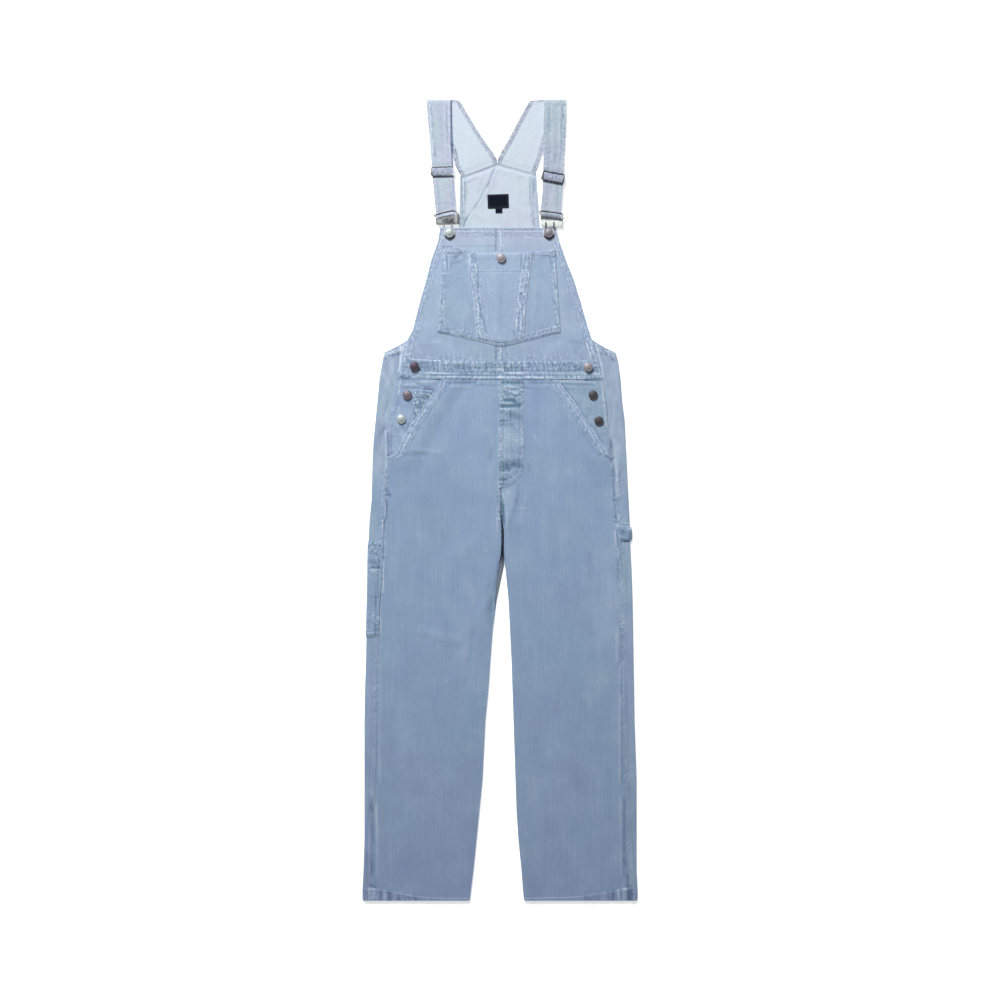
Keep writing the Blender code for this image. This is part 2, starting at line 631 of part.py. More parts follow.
def make_buckle(side):
    """Bib clasp: a bar and a plate that hold the strap's end, and a wire loop round the button."""
    button_x, button_y = BUTTONS["button_bib_" + side]
    tilt = 3.0 if side == "right" else -3.5
    centre = (-105.5, 565.0) if side == "right" else (104.0, 562.0)
    low = bib_top(button_x, button_y) + SEAM_EXTRA + GAP + 0.4
    body = plate("buckle_" + side, 44.0, 16.0, 3.0, tilt, centre, low, "steel")
    bar_y = 20.0
    frame = rounded_rectangle(45.0, 2 * bar_y, 3.0)
    bow = turned([(x, y) for x, y in frame if y > 0], tilt, centre, low + 1.5)
    bow = [(x, y, max(z, strap_top_z(side, y) + GAP + 1.3) if y > centre[1] + 9 else z)
           for x, y, z in [bow[0][:2] + (low + 1.5,)] + bow + [bow[-1][:2] + (low + 1.5,)]]
    first, last = bow[0], bow[-1]
    ends = turned([(21.0, 0.0), (-21.0, 0.0)], tilt, centre, low + 1.5)
    bow[0], bow[-1] = ends[0], ends[1]
    bow.insert(1, first)
    bow.insert(len(bow) - 1, last)
    bow_object = tube("buckle_bow_" + side, dedupe(bow), 1.3, "steel", sides=6, closed=False)
    radius, neck = 11.5, 7.0
    loop = [(centre[0] + (button_x - centre[0]) * 0.6 - neck, centre[1], low + 1.2),
            (button_x - neck, button_y + 15, low + 1.2)]
    for k in range(9):
        angle = math.radians(150 + 240 * k / 8)
        loop.append((button_x + radius * math.cos(angle), button_y + radius * math.sin(angle), low + 0.9))
    loop += [(button_x + neck, button_y + 15, low + 1.2),
             (centre[0] + (button_x - centre[0]) * 0.6 + neck, centre[1], low + 1.2)]
    loop_object = tube("buckle_loop_" + side, loop, 1.2, "steel", sides=6, closed=False)
    union(body, [bow_object, loop_object])


def dedupe(points):
    kept = [points[0]]
    for point in points[1:]:
        if math.dist(point, kept[-1]) > 0.5:
            kept.append(point)
    return kept


def make_button(name, x, y, base_z, radius=BUTTON_RADIUS, stem=1.4):
    """Shank button: a short stem and a domed cap with a rolled rim."""
    profile = ((3.6, 0.0), (3.6, stem), (radius - 0.8, stem), (radius, stem + 0.9),
               (radius - 0.9, stem + 1.9), (radius - 3.0, stem + 2.1), (radius * 0.4, stem + 2.7))
    sides = 16
    points, faces = [], []
    for r, h in profile:
        points += [(x + r * math.cos(2 * math.pi * k / sides), y + r * math.sin(2 * math.pi * k / sides),
                    base_z + h) for k in range(sides)]
    for i in range(len(profile) - 1):
        for k in range(sides):
            n = (k + 1) % sides
            faces.append([i * sides + k, i * sides + n, (i + 1) * sides + n, (i + 1) * sides + k])
    faces.append(list(range(sides))[::-1])
    faces.append([(len(profile) - 1) * sides + k for k in range(sides)])
    metal = "silver" if name in SILVER_BUTTONS else "copper"
    add_mesh(name, points, faces, metal, smooth_angle=45)


def make_buttons():
    facing_top = FACING_BASE + DENIM + GAP
    for name, (x, y) in BUTTONS.items():
        if "waist" in name:
            make_button(name, x, y, waistband_base(x, y) + DENIM + 0.3 + GAP)
        elif "side" in name:
            make_button(name, x, y, facing_top)
        elif "pocket" in name:
            make_button(name, x, y, bib_top(x, y) + 2 * DENIM + 2 * OVERLAY_GAP + GAP)
        else:
            make_button(name, x, y, bib_top(x, y) + SEAM_EXTRA + GAP, stem=3.4)


def make_wrapped_piece(name, side, top, bottom, bulge, end_gap):
    """A piece on the wrapped back of a leg: sewn at the side seam, it runs round the outer fold.

    It stands off the fold by bulge beyond the usual gap, and half as much above it.
    """
    sign = -1 if side == "right" else 1
    outside, inside = [], []
    for y in spread(top, bottom, max(4, round((top - bottom) / ROW_STEP) + 1)):
        turn_x = leg_x(side + "_outer", y) - sign * FOLD_RADIUS
        end = back_strip_edge(side, y) + sign * end_gap
        rows = ((GAP + DENIM, []), (GAP, []))
        for reach, row in rows:
            radius = FOLD_RADIUS + reach
            for degrees in (0, 45, 90):
                angle = math.radians(degrees)
                row.append((turn_x + sign * (radius + bulge) * math.cos(angle), y,
                            FOLD_RADIUS + (radius + bulge / 2) * math.sin(angle)))
            for part in (0.33, 0.67, 1.0):
                row.append((turn_x + (end - turn_x) * part, y,
                            FOLD_RADIUS + radius + bulge / 2 * (1 - smooth(part))))
        outside.append(rows[0][1])
        inside.append(rows[1][1])
    wall_solid(name, outside, inside, "denim")


def make_label(name, width, height, centre, tilt, slot):
    """Woven label on the inner face of the back bib."""
    corners = [(-width / 2, height / 2), (width / 2, height / 2), (-width / 2, -height / 2),
               (width / 2, -height / 2)]
    placed = [(x, y) for x, y, _ in turned(corners, tilt, centre, 0)]
    panel(name, [placed[:2], placed[2:]], lambda x, y: DENIM + GAP, lambda x, y: 1.0, slot)


def main():
    for old in list(bpy.data.objects):
        bpy.data.objects.remove(old, do_unlink=True)
    for side in ("right", "left"):
        make_leg_back(side)
        make_leg_front(side)
        make_facing(side)
        make_bib_front(side)
        make_strap(side)
        make_slider(side)
        make_buckle(side)
    make_bib_back()
    make_bib_pocket()
    make_bib_pocket_centre()
    make_waistband()
    make_fly()
    make_coin_pocket()
    make_wrapped_piece("tool_pocket", "right", -76.0, -267.0, bulge=0.0, end_gap=1.0)
    make_wrapped_piece("hammer_loop", "left", -46.0, -77.0, bulge=3.0, end_gap=0.5)
    make_label("label", 46.0, 28.0, (-4.0, 603.5), 3.0, "label_cloth")
    make_label("size_tab", 13.0, 9.0, (-1.5, 583.6), 3.0, "label_cloth")
    make_buttons()


main()
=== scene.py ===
# %% [markdown]
# # Denim dungarees, laid flat
# A pair of washed denim dungarees lies on its back. The legs lie closed, the bib lies on the back
# bib, and the straps are folded over at the shoulders so that their clasps reach the bib's buttons.
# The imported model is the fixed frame: every sheet of cloth below is laid on the place of its solid.

# %% Frame
import math

import bpy
import numpy as np
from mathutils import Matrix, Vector
from mathutils.bvhtree import BVHTree


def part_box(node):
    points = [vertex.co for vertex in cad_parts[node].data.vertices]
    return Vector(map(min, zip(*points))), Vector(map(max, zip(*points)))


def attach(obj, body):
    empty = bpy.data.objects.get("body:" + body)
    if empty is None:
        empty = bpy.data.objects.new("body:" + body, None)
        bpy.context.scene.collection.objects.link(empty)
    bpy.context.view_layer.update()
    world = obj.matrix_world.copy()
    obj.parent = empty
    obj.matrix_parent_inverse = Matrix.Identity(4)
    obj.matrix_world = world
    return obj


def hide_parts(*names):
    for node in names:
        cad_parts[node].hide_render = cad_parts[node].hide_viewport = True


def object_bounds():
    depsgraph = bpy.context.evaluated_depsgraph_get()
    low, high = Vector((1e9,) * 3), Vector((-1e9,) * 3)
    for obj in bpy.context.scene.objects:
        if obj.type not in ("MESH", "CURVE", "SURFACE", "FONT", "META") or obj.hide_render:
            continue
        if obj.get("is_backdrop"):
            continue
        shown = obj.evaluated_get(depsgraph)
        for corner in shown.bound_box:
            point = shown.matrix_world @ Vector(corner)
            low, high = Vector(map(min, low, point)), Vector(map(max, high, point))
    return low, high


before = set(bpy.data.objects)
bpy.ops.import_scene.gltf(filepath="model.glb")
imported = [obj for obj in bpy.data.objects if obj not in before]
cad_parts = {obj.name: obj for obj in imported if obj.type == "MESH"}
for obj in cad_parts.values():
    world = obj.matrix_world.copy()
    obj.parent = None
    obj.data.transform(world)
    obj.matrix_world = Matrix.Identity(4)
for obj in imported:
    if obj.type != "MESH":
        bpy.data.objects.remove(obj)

CAD_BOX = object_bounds()
BODY = "root"
MM = 0.001
print("frame:", [[round(v, 4) for v in corner] for corner in CAD_BOX])

# %% [markdown]
# ## Camera
# A garment laid out for a catalogue is seen from straight above. A long lens far away keeps the
# view nearly parallel, so the hems and the straps keep their true sizes.

# %% Camera
VIEW_WIDTH = 2.0           # metres across the picture
VIEW_HEIGHT = 6.0          # camera above the surface
VIEW_CENTRE_Y = 0.0003
SENSOR = 36.0


def new_object(name, data):
    """An object in the scene that shows the data."""
    made = bpy.data.objects.new(name, data)
    bpy.context.scene.collection.objects.link(made)
    return made


lens = bpy.data.cameras.new("overhead_lens")
lens.sensor_width = SENSOR
lens.lens = SENSOR * VIEW_HEIGHT / VIEW_WIDTH
lens.clip_end = 50.0
overhead = new_object("overhead_camera", lens)
overhead.location = (0.0, VIEW_CENTRE_Y, VIEW_HEIGHT)
bpy.context.scene.camera = overhead
print("lens:", round(lens.lens, 1), "mm")

# %% [markdown]
# ## Table, light and picture tone
# A wide soft light hangs beyond the shoulders, so it rakes down the garment: the bib is brighter
# than the hems, and every ridge has a lit upper side. The pale table glows a little, as a lit
# backdrop does, which keeps it near white while a faint shadow stays under the edges.

# %% Studio
TABLE_SIZE = 60.0
TABLE_DROP = 0.0004        # keeps the table's face clear of the cloth's underside
KEY_PLACE = (-1.2, 3.15, 2.3)
KEY_AIM = (0.0, 0.1, 0.0)
KEY_SIZE = 1.1
KEY_POWER = 215.0
SKY_STRENGTH = 0.26
TABLE_GLOW = 0.5


def new_material(name):
    made = bpy.data.materials.new(name)
    made.use_nodes = True
    return made, made.node_tree, made.node_tree.nodes["Principled BSDF"]


def set_inputs(target, values):
    for name, value in values.items():
        target.inputs[name].default_value = value


table_mesh = bpy.data.meshes.new("table")
half = TABLE_SIZE / 2
table_mesh.from_pydata([(-half, -half, 0), (half, -half, 0), (half, half, 0), (-half, half, 0)], [],
                       [(0, 1, 2, 3)])
table = new_object("table", table_mesh)
table.location = (0, 0, -TABLE_DROP)
table_paint, _, shader = new_material("table_white")
set_inputs(shader, {"Base Color": (0.9, 0.9, 0.9, 1), "Roughness": 0.9, "Specular IOR Level": 0.1,
                    "Emission Color": (1, 1, 1, 1), "Emission Strength": TABLE_GLOW})
table.data.materials.append(table_paint)
table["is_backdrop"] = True

key = bpy.data.lights.new("key", "AREA")
key.shape = "SQUARE"
key.size = KEY_SIZE
key.energy = KEY_POWER
key.color = (1.0, 0.995, 0.985)
key_lamp = new_object("key", key)
key_lamp.location = KEY_PLACE
key_lamp.rotation_euler = (Vector(KEY_AIM) - Vector(KEY_PLACE)).to_track_quat("-Z", "Y").to_euler()

sky = bpy.data.worlds.new("soft_sky")
sky.use_nodes = True
set_inputs(sky.node_tree.nodes["Background"], {"Color": (0.97, 0.985, 1.0, 1), "Strength": SKY_STRENGTH})
bpy.context.scene.world = sky
bpy.context.scene.view_settings.view_transform = "Standard"
print("key light:", KEY_POWER, "W at", KEY_PLACE)

# %% [markdown]
# ## The cut
# The outline of every panel is a short table: a row for each height, in millimetres from the middle
# of the garment. +X is the wearer's left and +Y points to the shoulders. Between the rows the edge
# runs straight, as chalk lines on cloth do over such short steps.

# %% Outline tables
DENIM = 1.2
STRAP_CLOTH = 1.8
GAP = 0.35
SEAM_GAP = 0.1
OVERLAY_GAP = 0.5
TOTAL_LENGTH = 1601.5
HEM_Y = -794.5
STRAP_FOLD_Y = HEM_Y + TOTAL_LENGTH
MIDDLE_Y = (HEM_Y + STRAP_FOLD_Y) / 2      # the origin lies this far above the tables' zero
HEM_WIDTH = 21.0
FRONT_BASE = 2.0
FOLD_RADIUS = (FRONT_BASE + DENIM) / 2
HIP_LIFT = 3.0
BIB_LIFT = 1.7
FACING_BASE = 3.5
WAIST_TOP = 253.5
BACK_WAIST_Y = 301.5
OPENING_END_Y = 91.5
CROTCH_Y = -118.0
BUTTON_RADIUS = 9.0

LEG_OUTLINE = {
    "y": (
        302, 282, 246, 206, 166, 126, 86, 6, -34, -74, -118, -124, -134, -194, -254, -314, -374, -434,
        -554, -614, -674, -734, -774, -791.5, -795),
    "right_outer": (
        -231, -235.5, -241.5, -245, -249, -253, -255, -257, -261, -263, -264, -264, -264, -265, -267,
        -268, -270, -271, -271, -271, -271, -273, -275, -275, -272.3),
    "right_inner": (
        -1, -1, -1, -1, -1, -1, -1, 0, 2, 5, 8.3, 8.1, 6.0, -6.5, -14.5, -19, -23, -29, -35, -41, -47,
        -53, -58, -59.7, -62.6),
    "left_inner": (
        -0.3, -0.3, -0.3, -0.3, -0.3, -0.3, -0.3, 0.7, 2.7, 5.7, 9, 9.4, 11.2, 17, 20, 23, 25, 27, 31, 33,
        37, 43, 46, 47.7, 50.6),
    "left_outer": (
        231, 236.5, 241, 244, 249, 251, 253, 257, 259, 260, 262, 262.4, 263, 265, 266, 267, 268, 269, 273,
        273, 273, 273, 275, 275, 272.3),
}
FRONT_EDGE = {
    "right_y": (253.5, 244, 200, 155, 120, 100, 95, 91, 6, -74, -134, -194, -254, -434, -554, -634,
                -734, -774, -795),
    "right_x": (-111, -117, -149, -180, -197, -206, -216, -225, -227, -233, -234, -240, -242, -244.5,
                -248, -252, -256, -257, -258),
    "left_y":  (253.5, 245, 200, 146, 100, 91, 80, 6, -84, -194, -394, -534, -634, -734, -774, -795),
    "left_x":  (111, 117, 151, 186, 215, 221, 226, 233, 238, 241, 242, 247, 251, 256, 259, 260),
}
SIDE_EDGE = {
    "right_y": (305, 282, 252, 240, 176, 134, 86),
    "right_x": (-188, -194, -204, -206, -220, -228, -227),
    "left_y":  (305, 286, 250, 202, 182, 148, 134, 121, 86),
    "left_x":  (189, 195, 203, 212, 214, 216, 220, 225, 226),
}
BIB_OUTLINE = {
    "y":     (551.5, 525, 485, 445, 405, 365, 345, 325, 305, 272),
    "right": (-120, -124, -138, -148, -160, -170, -175, -186, -189, -197),
    "left":  (112.5, 118.5, 132.5, 148.5, 160.5, 172, 178, 184, 190, 198),
}
BIB_SEAM_X = -7.5
BIB_BOTTOM_Y = 272.0
BIB_TOP_Y = 551.5
BACK_BIB_SIDES = {
    "y":     (660, 551, 450, 380, 340, 320, 310, 302.2),
    "right": (-80.5, -82.5, -97, -118, -140, -165, -180, -200),
    "left":  (72.5, 80, 96, 118, 140, 165, 180, 200),
}
BACK_BIB_TOP = {"across": (0, 0.25, 0.49, 0.73, 1), "y": (654, 667.5, 682, 671.6, 660)}
STRAP_BACK = {
    "right": (
        (-79, 655.5, -5.6, 683), (-82.5, 662, -6.5, 688.5), (-89.5, 674, -15, 703),
        (-96, 705.5, -29.5, 722.5), (-119, 755, -50.6, 755), (-141, 800, -77.4, 800)),
    "left": (
        (71.5, 661, -4.6, 683), (74, 668, -4.4, 689), (80, 685, 5.2, 707), (86, 703, 12, 719),
        (93, 728.5, 17, 727), (106, 775, 42, 775), (129, 800, 56, 800)),
}
STRAP_FRONT = {
    "right": ((-147.5, 800, -98, 800), (-144.5, 765, -97.5, 765), (-139.5, 715, -96, 715),
              (-134.5, 645, -91.5, 645), (-129, 585, -87, 583)),
    "left":  ((133, 800, 89, 800), (133, 765, 87, 765), (130, 715, 87, 715),
              (125.5, 625, 85, 625), (122.5, 583, 81, 586)),
}


def smooth(t):
    """Rises from 0 to 1 without a corner at either end."""
    t = np.clip(t, 0.0, 1.0)
    return t * t * (3 - 2 * t)


def bump(t):
    """1 at 0, fading softly to both sides."""
    return np.exp(-np.square(t))


def at(ys, xs, y):
    """Value of a table column at height y; the tables run down the garment."""
    return np.interp(-np.asarray(y, float), -np.asarray(ys, float), xs)


def leg_x(column, y):
    return at(LEG_OUTLINE["y"], LEG_OUTLINE[column], y)


def front_edge(side, y):
    return at(FRONT_EDGE[side + "_y"], FRONT_EDGE[side + "_x"], y)


def side_edge(side, y):
    return at(SIDE_EDGE[side + "_y"], SIDE_EDGE[side + "_x"], y)


def bib_edge(side, y):
    return at(BIB_OUTLINE["y"], BIB_OUTLINE[side], y)


def sign_of(side):
    return -1 if side == "right" else 1


def to_frame(points):
    """Millimetres in the tables' frame to metres in the frame of the solids."""
    return (np.asarray(points, float) - (0.0, MIDDLE_Y, 0.0)) * MM


SIDES = ("right", "left")
print("outline rows:", len(LEG_OUTLINE["y"]), "along a leg,", len(BIB_OUTLINE["y"]), "along the bib")

# %% [markdown]
# ## How high each layer lies
# Cloth that lies on cloth takes the height of what is under it. The front rises where it crosses
# the pocket facings, sinks to the table beyond the back bib, and dips to the back along the inseam.

# %% Heights
def hip_lift(x, y):
    height = np.interp(y, (30, 86, 262, 270, 325, 362), (0, HIP_LIFT, HIP_LIFT, BIB_LIFT, BIB_LIFT, 0))
    start = np.interp(y, (60, 100, 155, 200, 250, 290, 330), (165, 143, 115, 86, 48, 60, 110))
    return height * smooth((np.abs(x) - start) / 38)


def front_base(x, y):
    """Underside of the front panels."""
    return FRONT_BASE + hip_lift(x, y)


def inseam_dip(side, x, y):
    return 0.4 * (1 - smooth(np.abs(x - leg_x(side + "_inner", y)) / 20)) * smooth((CROTCH_Y + 30 - y) / 60)


def waistband_base(x):
    """Underside of the waistband, which is as high along its whole width."""
    return front_base(x, 252.0) + DENIM + OVERLAY_GAP - 0.9 * smooth((np.abs(x) - 125) / 30)


def bib_base(x, y):
    from_side = np.maximum(np.minimum(x - bib_edge("right", y), bib_edge("left", y) - x), 0)
    return front_base(x, y) - (1 - smooth(from_side / 30)) * smooth((y - 340) / 25)


def bib_top(x, y):
    return bib_base(x, y) + DENIM


def back_strip_edge(side, y):
    """Inner edge of the wrapped part of a back: at the side seam, or tucked under the facing."""
    seam = front_edge(side, np.minimum(y, 88.0)) + sign_of(side) * SEAM_GAP
    tucked = side_edge(side, y) - sign_of(side) * 15
    return seam + (tucked - seam) * smooth((y - 92) / 40)


INSEAM_ROLL = {"y": (-20, -35, -50, -65, -80, -100, -118, -140, -160, -180, -200, -220),
               "right": (0, 0, 0, 1.0, 2.2, 4.5, 9.0, 8.5, 7.0, 5.0, 2.5, 0),
               "left": (0, 1.0, 2.8, 2.4, 1.0, 0, 0, 0, 0, 0, 0, 0)}


def front_inner(side, y):
    """Inner edge of a leg front: it draws back from its neighbour, and both roll open over the crotch."""
    parted = 0.6 * smooth((-2 - y) / 30) * smooth((y - CROTCH_Y) / 10 + 1)
    rolled = at(INSEAM_ROLL["y"], INSEAM_ROLL[side], y)
    return leg_x(side + "_inner", y) + sign_of(side) * (parted + rolled)


# %% [markdown]
# ## Creases, puckers, wear and painted shading
# Washed denim shows its sewing. Where two rows of stitches draw a seam together, the cloth puckers
# into short ridges, and the wash rubs their tops pale while the hollows stay dark. So each seam
# gives two things at once: a height, which moves the cloth, and a wear and shading value, which its
# colour follows. That value holds the rubbing, and also painted shade in hollows, creases and gaps
# and beside raised edges, with painted highlights on their lit sides.
# Fixed pseudo-random waves keep the puckers uneven in length, depth and spacing.

# %% Noise and seams
def chance(i, seed):
    """A fixed number from 0 to 1 for each whole number."""
    v = np.sin(i * 127.1 + seed * 311.7 + 7.3) * 43758.5453
    return v - np.floor(v)


def noise1(s, seed):
    """Smooth noise from -1 to 1 along a length, one value for each unit."""
    i = np.floor(s)
    f = s - i
    f = f * f * (3 - 2 * f)
    a, b = chance(i, seed), chance(i + 1, seed)
    return (a + (b - a) * f) * 2 - 1


def noise2(x, y, seed):
    """Smooth noise from -1 to 1 over a plane."""
    i, j = np.floor(x), np.floor(y)
    f, g = x - i, y - j
    f, g = f * f * (3 - 2 * f), g * g * (3 - 2 * g)
    corner = lambda di, dj: chance((i + di) + 57.0 * (j + dj), seed)
    low = corner(0, 0) + (corner(1, 0) - corner(0, 0)) * f
    high = corner(0, 1) + (corner(1, 1) - corner(0, 1)) * f
    return (low + (high - low) * g) * 2 - 1


def rope(s, pace, seed):
    """Uneven ridges along a seam, from -1 to 1."""
    swing = s / pace + 0.45 * noise1(s / (pace * 2.3), seed) + 0.25 * noise1(s / (pace * 0.9), seed + 5)
    depth = 0.6 + 0.4 * noise1(s / (pace * 1.7), seed + 11)
    return np.sin(2 * math.pi * swing) * depth


def seam_frame(x, y, path):
    """Distance from the path, positive on its left, and length along it, for each point."""
    path = np.asarray(path, float)
    best = np.full(x.shape, 1e9)
    across = np.full(x.shape, 1e9)
    along = np.zeros(x.shape)
    run = 0.0
    for a, b in zip(path[:-1], path[1:]):
        step = b - a
        length = float(np.hypot(*step))
        if length == 0:
            continue
        ux, uy = step / length
        px, py = x - a[0], y - a[1]
        t = np.clip(px * ux + py * uy, 0, length)
        dx, dy = px - t * ux, py - t * uy
        dist = np.hypot(dx, dy)
        nearer = dist < best
        best = np.where(nearer, dist, best)
        side = np.where(ux * py - uy * px >= 0, 1.0, -1.0)
        across = np.where(nearer, dist * side, across)
        along = np.where(nearer, run + t, along)
        run += length
    return across, along


class Surface:
    """What sewing, wear and painted shading add to a grid of points: height in millimetres, wear and shading,
    and crinkle.
    """

    def __init__(self, x, y):
        self.x, self.y = x, y
        self.height, self.wear, self.crinkle, self.teal = (np.zeros(x.shape) for _ in range(4))

    def add(self, height=0.0, wear=0.0, crinkle=0.0, on=1.0):
        self.height = self.height + height * on
        self.wear = self.wear + wear * on
        self.crinkle = np.maximum(self.crinkle, crinkle * on)

    def band(self, path, width, lift=0.4, lines=0.6, ropes=0.3, pace=11.0, slant=0.5, crinkle=0.9,
             seed=1, on=1.0):
        """A seam on the left of its path: two rows of stitches sink into a raised band."""
        d, s = seam_frame(self.x, self.y, path)
        fine = max(0.09 * width, 0.9)
        body = smooth(d / 0.9 + 0.5) * smooth((width - d) / 0.9 + 0.5)
        near = bump((d - width / 2) / (width * 0.8))
        ridges = rope(s + slant * d, pace, seed)
        broken = [0.62 + 0.38 * noise1(s / 6.5, seed + k) for k in range(5)]
        crest = (bump((d - 0.4) / fine) * broken[0] + bump((d - width + 0.4) / fine) * broken[1]
                 + 0.8 * bump((d - width / 2) / fine) * broken[2])
        groove = bump((d - 0.25 * width) / fine) * broken[3] + bump((d - 0.75 * width) / fine) * broken[4]
        # Painted shadow: just outside both edges of the band the colour is darkened.
        shade = bump((d + 2.0) / 1.3) + bump((d - width - 2.0) / 1.3)
        self.add(lift * body - 0.25 * groove + 0.15 * crest + ropes * ridges * near,
                 lines * (0.8 * crest - 0.7 * groove - 0.35 * shade) + 0.5 * ropes * ridges * near,
                 crinkle * near, on)

    def row(self, path, depth=0.2, line=0.4, ropes=0.2, pace=9.0, reach=4.0, crinkle=0.5, seed=2, on=1.0):
        """One row of stitches: a shallow groove with small puckers to both sides."""
        d, s = seam_frame(self.x, self.y, path)
        near = bump(d / reach)
        ridges = rope(s, pace, seed)
        broken = 0.6 + 0.4 * noise1(s / 6.5, seed + 1)
        self.add(ropes * ridges * near - depth * bump(d / 0.9),
                 line * broken * (0.8 * bump((np.abs(d) - 1.9) / 1.0) - 0.6 * bump(d / 0.9))
                 + 0.5 * ropes * ridges * near, crinkle * near, on)

    def marks(self, rows, on=1.0):
        """Troughs and ridges, and lines of painted shade and light, one row each: from x, y to x, y, half
        width, height and wear and shading.
        """
        for x0, y0, x1, y1, width, height, wear in rows:
            d, s = seam_frame(self.x, self.y, ((x0, y0), (x1, y1)))
            spot = bump(d / (width * (1 + 0.25 * noise1(s / 4.0, x0 + y0)))) * on
            self.height = self.height + height * spot
            self.wear = self.wear + wear * spot

    def patches(self, rows):
        """Broad soft spots: x, y, reach across, reach along, wear and shading, and hue (teal above 0, lilac
        below).
        """
        for x0, y0, reach_x, reach_y, wear, teal in rows:
            spot = bump(np.hypot((self.x - x0) / reach_x, (self.y - y0) / reach_y))
            self.wear = self.wear + wear * spot
            self.teal = self.teal + teal * spot


def fold(x, y, centre_x, centre_y, length, width, turn, height):
    """Height of one long soft fold."""
    angle = math.radians(turn)
    along = (x - centre_x) * math.cos(angle) + (y - centre_y) * math.sin(angle)
    across = (y - centre_y) * math.cos(angle) - (x - centre_x) * math.sin(angle)
    return height * bump(along / length) * bump(across / width)


def folds(x, y, table):
    names = ("x", "y", "length", "width", "turn", "height")
    return sum(fold(x, y, *row) for row in zip(*(table[name] for name in names)))


def places(*stretches):
    """Joins stretches of evenly spaced places: each is (start, end, spacing)."""
    out = []
    for start, end, spacing in stretches:
        count = max(1, int(round(abs(end - start) / spacing)))
        out += [start + (end - start) * k / count for k in range(count)]
    return np.array(out + [stretches[-1][1]], float)


print("a pucker wave 11 mm apart swings", round(float(np.ptp(rope(np.arange(200.0), 11.0, 1))), 2))

# %% [markdown]
# ## Denim
# Twill weave gives denim its fine slanting lines. The warp is dyed and the weft is white, so the
# outer face is blue, the inner face is pale, and rubbing the outer face brings up the white core of
# the yarn. The slubs of the warp run as faint streaks along the grain. Four values that are stored
# on the points steer the colour: wear and shading, from dark hollows and painted shade to pale
# ridges and painted highlights; pale, which is 1 on the inner face; wash, how far the whole piece
# has faded; and shade, painted shade that mixes the colour towards black.

# %% Cloth materials
def node(tree, kind, **settings):
    """A new node; each setting goes to its input of that name, or else to the node itself."""
    made = tree.nodes.new(kind)
    for name, value in settings.items():
        if name in made.inputs:
            made.inputs[name].default_value = value
        else:
            setattr(made, name, value)
    return made


def link(tree, a, b):
    tree.links.new(a, b)


def mix_colour(tree, factor, a, b):
    made = tree.nodes.new("ShaderNodeMix")
    made.data_type = "RGBA"
    for socket, value in ((made.inputs[0], factor), (made.inputs[6], a), (made.inputs[7], b)):
        if isinstance(value, bpy.types.NodeSocket):
            link(tree, value, socket)
        else:
            socket.default_value = value
    return made.outputs[2]


def maths(tree, operation, a, b=None, clamp=False):
    made = tree.nodes.new("ShaderNodeMath")
    made.operation = operation
    made.use_clamp = clamp
    for socket, value in zip(made.inputs, (a, b)):
        if isinstance(value, bpy.types.NodeSocket):
            link(tree, value, socket)
        elif value is not None:
            socket.default_value = value
    return made.outputs[0]


def attribute(tree, name):
    made = tree.nodes.new("ShaderNodeAttribute")
    made.attribute_name = name
    return made.outputs["Fac"]


BLUE = (0.268, 0.372, 0.542, 1)        # face of the cloth
BLUE_TEAL = (0.255, 0.372, 0.515, 1)   # patches where the dye has turned
BLUE_DEEP = (0.102, 0.185, 0.268, 1)   # hollows beside seams and painted shade, and the same in lilac patches
DEEP_LILAC = (0.122, 0.160, 0.295, 1)
BLUE_RUBBED_AND_LIT = (0.62, 0.71, 0.83, 1)    # ridges rubbed to the yarn's core, and painted highlights
BLUE_LILAC = (0.262, 0.338, 0.530, 1)  # towards the hems the blue is a little redder
BLUE_WASHED = (0.425, 0.495, 0.560, 1) # pieces that the wash has faded most, and their lilac patches
WASHED_LILAC = (0.440, 0.475, 0.580, 1)
INSIDE = (0.515, 0.598, 0.668, 1)      # inner face, mostly weft, and its lilac patches
INSIDE_LILAC = (0.530, 0.565, 0.668, 1)
# Painted shade: the shade value mixes the cloth's colour towards this near-black.
BLACK = (0.002, 0.006, 0.016, 1)
TWILL_PITCH = 0.0011                   # metres between twill lines
TWILL_SLANT = 27                       # degrees
BANDS_PER_UNIT = 0.314                 # a wave texture of scale 1 has a band about every 0.314 units
SLUB_WIDTH = 0.0021
SLUB_LENGTH = 0.014


def noise_texture(tree, place, scale, detail=2.0, stretch=(1, 1), roughness=0.55):
    """Noise over the grain of the cloth, centred on zero."""
    spread = node(tree, "ShaderNodeMapping", vector_type="POINT")
    set_inputs(spread, {"Scale": (scale * stretch[0], scale * stretch[1], 1)})
    link(tree, place, spread.inputs["Vector"])
    made = node(tree, "ShaderNodeTexNoise", noise_dimensions="2D")
    set_inputs(made, {"Scale": 1.0, "Detail": detail, "Roughness": roughness})
    link(tree, spread.outputs[0], made.inputs["Vector"])
    return maths(tree, "SUBTRACT", made.outputs[0], 0.5)


def object_noise(tree, scale, detail=2.0):
    """Noise from 0 to 1 in the object's own space, for metal and thread."""
    place = node(tree, "ShaderNodeTexCoord").outputs["Object"]
    made = node(tree, "ShaderNodeTexNoise", noise_dimensions="3D")
    set_inputs(made, {"Scale": scale, "Detail": detail})
    link(tree, place, made.inputs["Vector"])
    return made.outputs[0]


def add_relief(tree, shader, height, strength, distance):
    """Lets a height tilt the shading, without moving the surface."""
    raised = node(tree, "ShaderNodeBump")
    set_inputs(raised, {"Strength": strength, "Distance": distance})
    link(tree, height, raised.inputs["Height"])
    link(tree, raised.outputs[0], shader.inputs["Normal"])


def total(tree, *parts):
    """Sum of (socket, factor) pairs."""
    summed = None
    for socket, factor in parts:
        scaled = maths(tree, "MULTIPLY", socket, factor)
        summed = scaled if summed is None else maths(tree, "ADD", summed, scaled)
    return summed


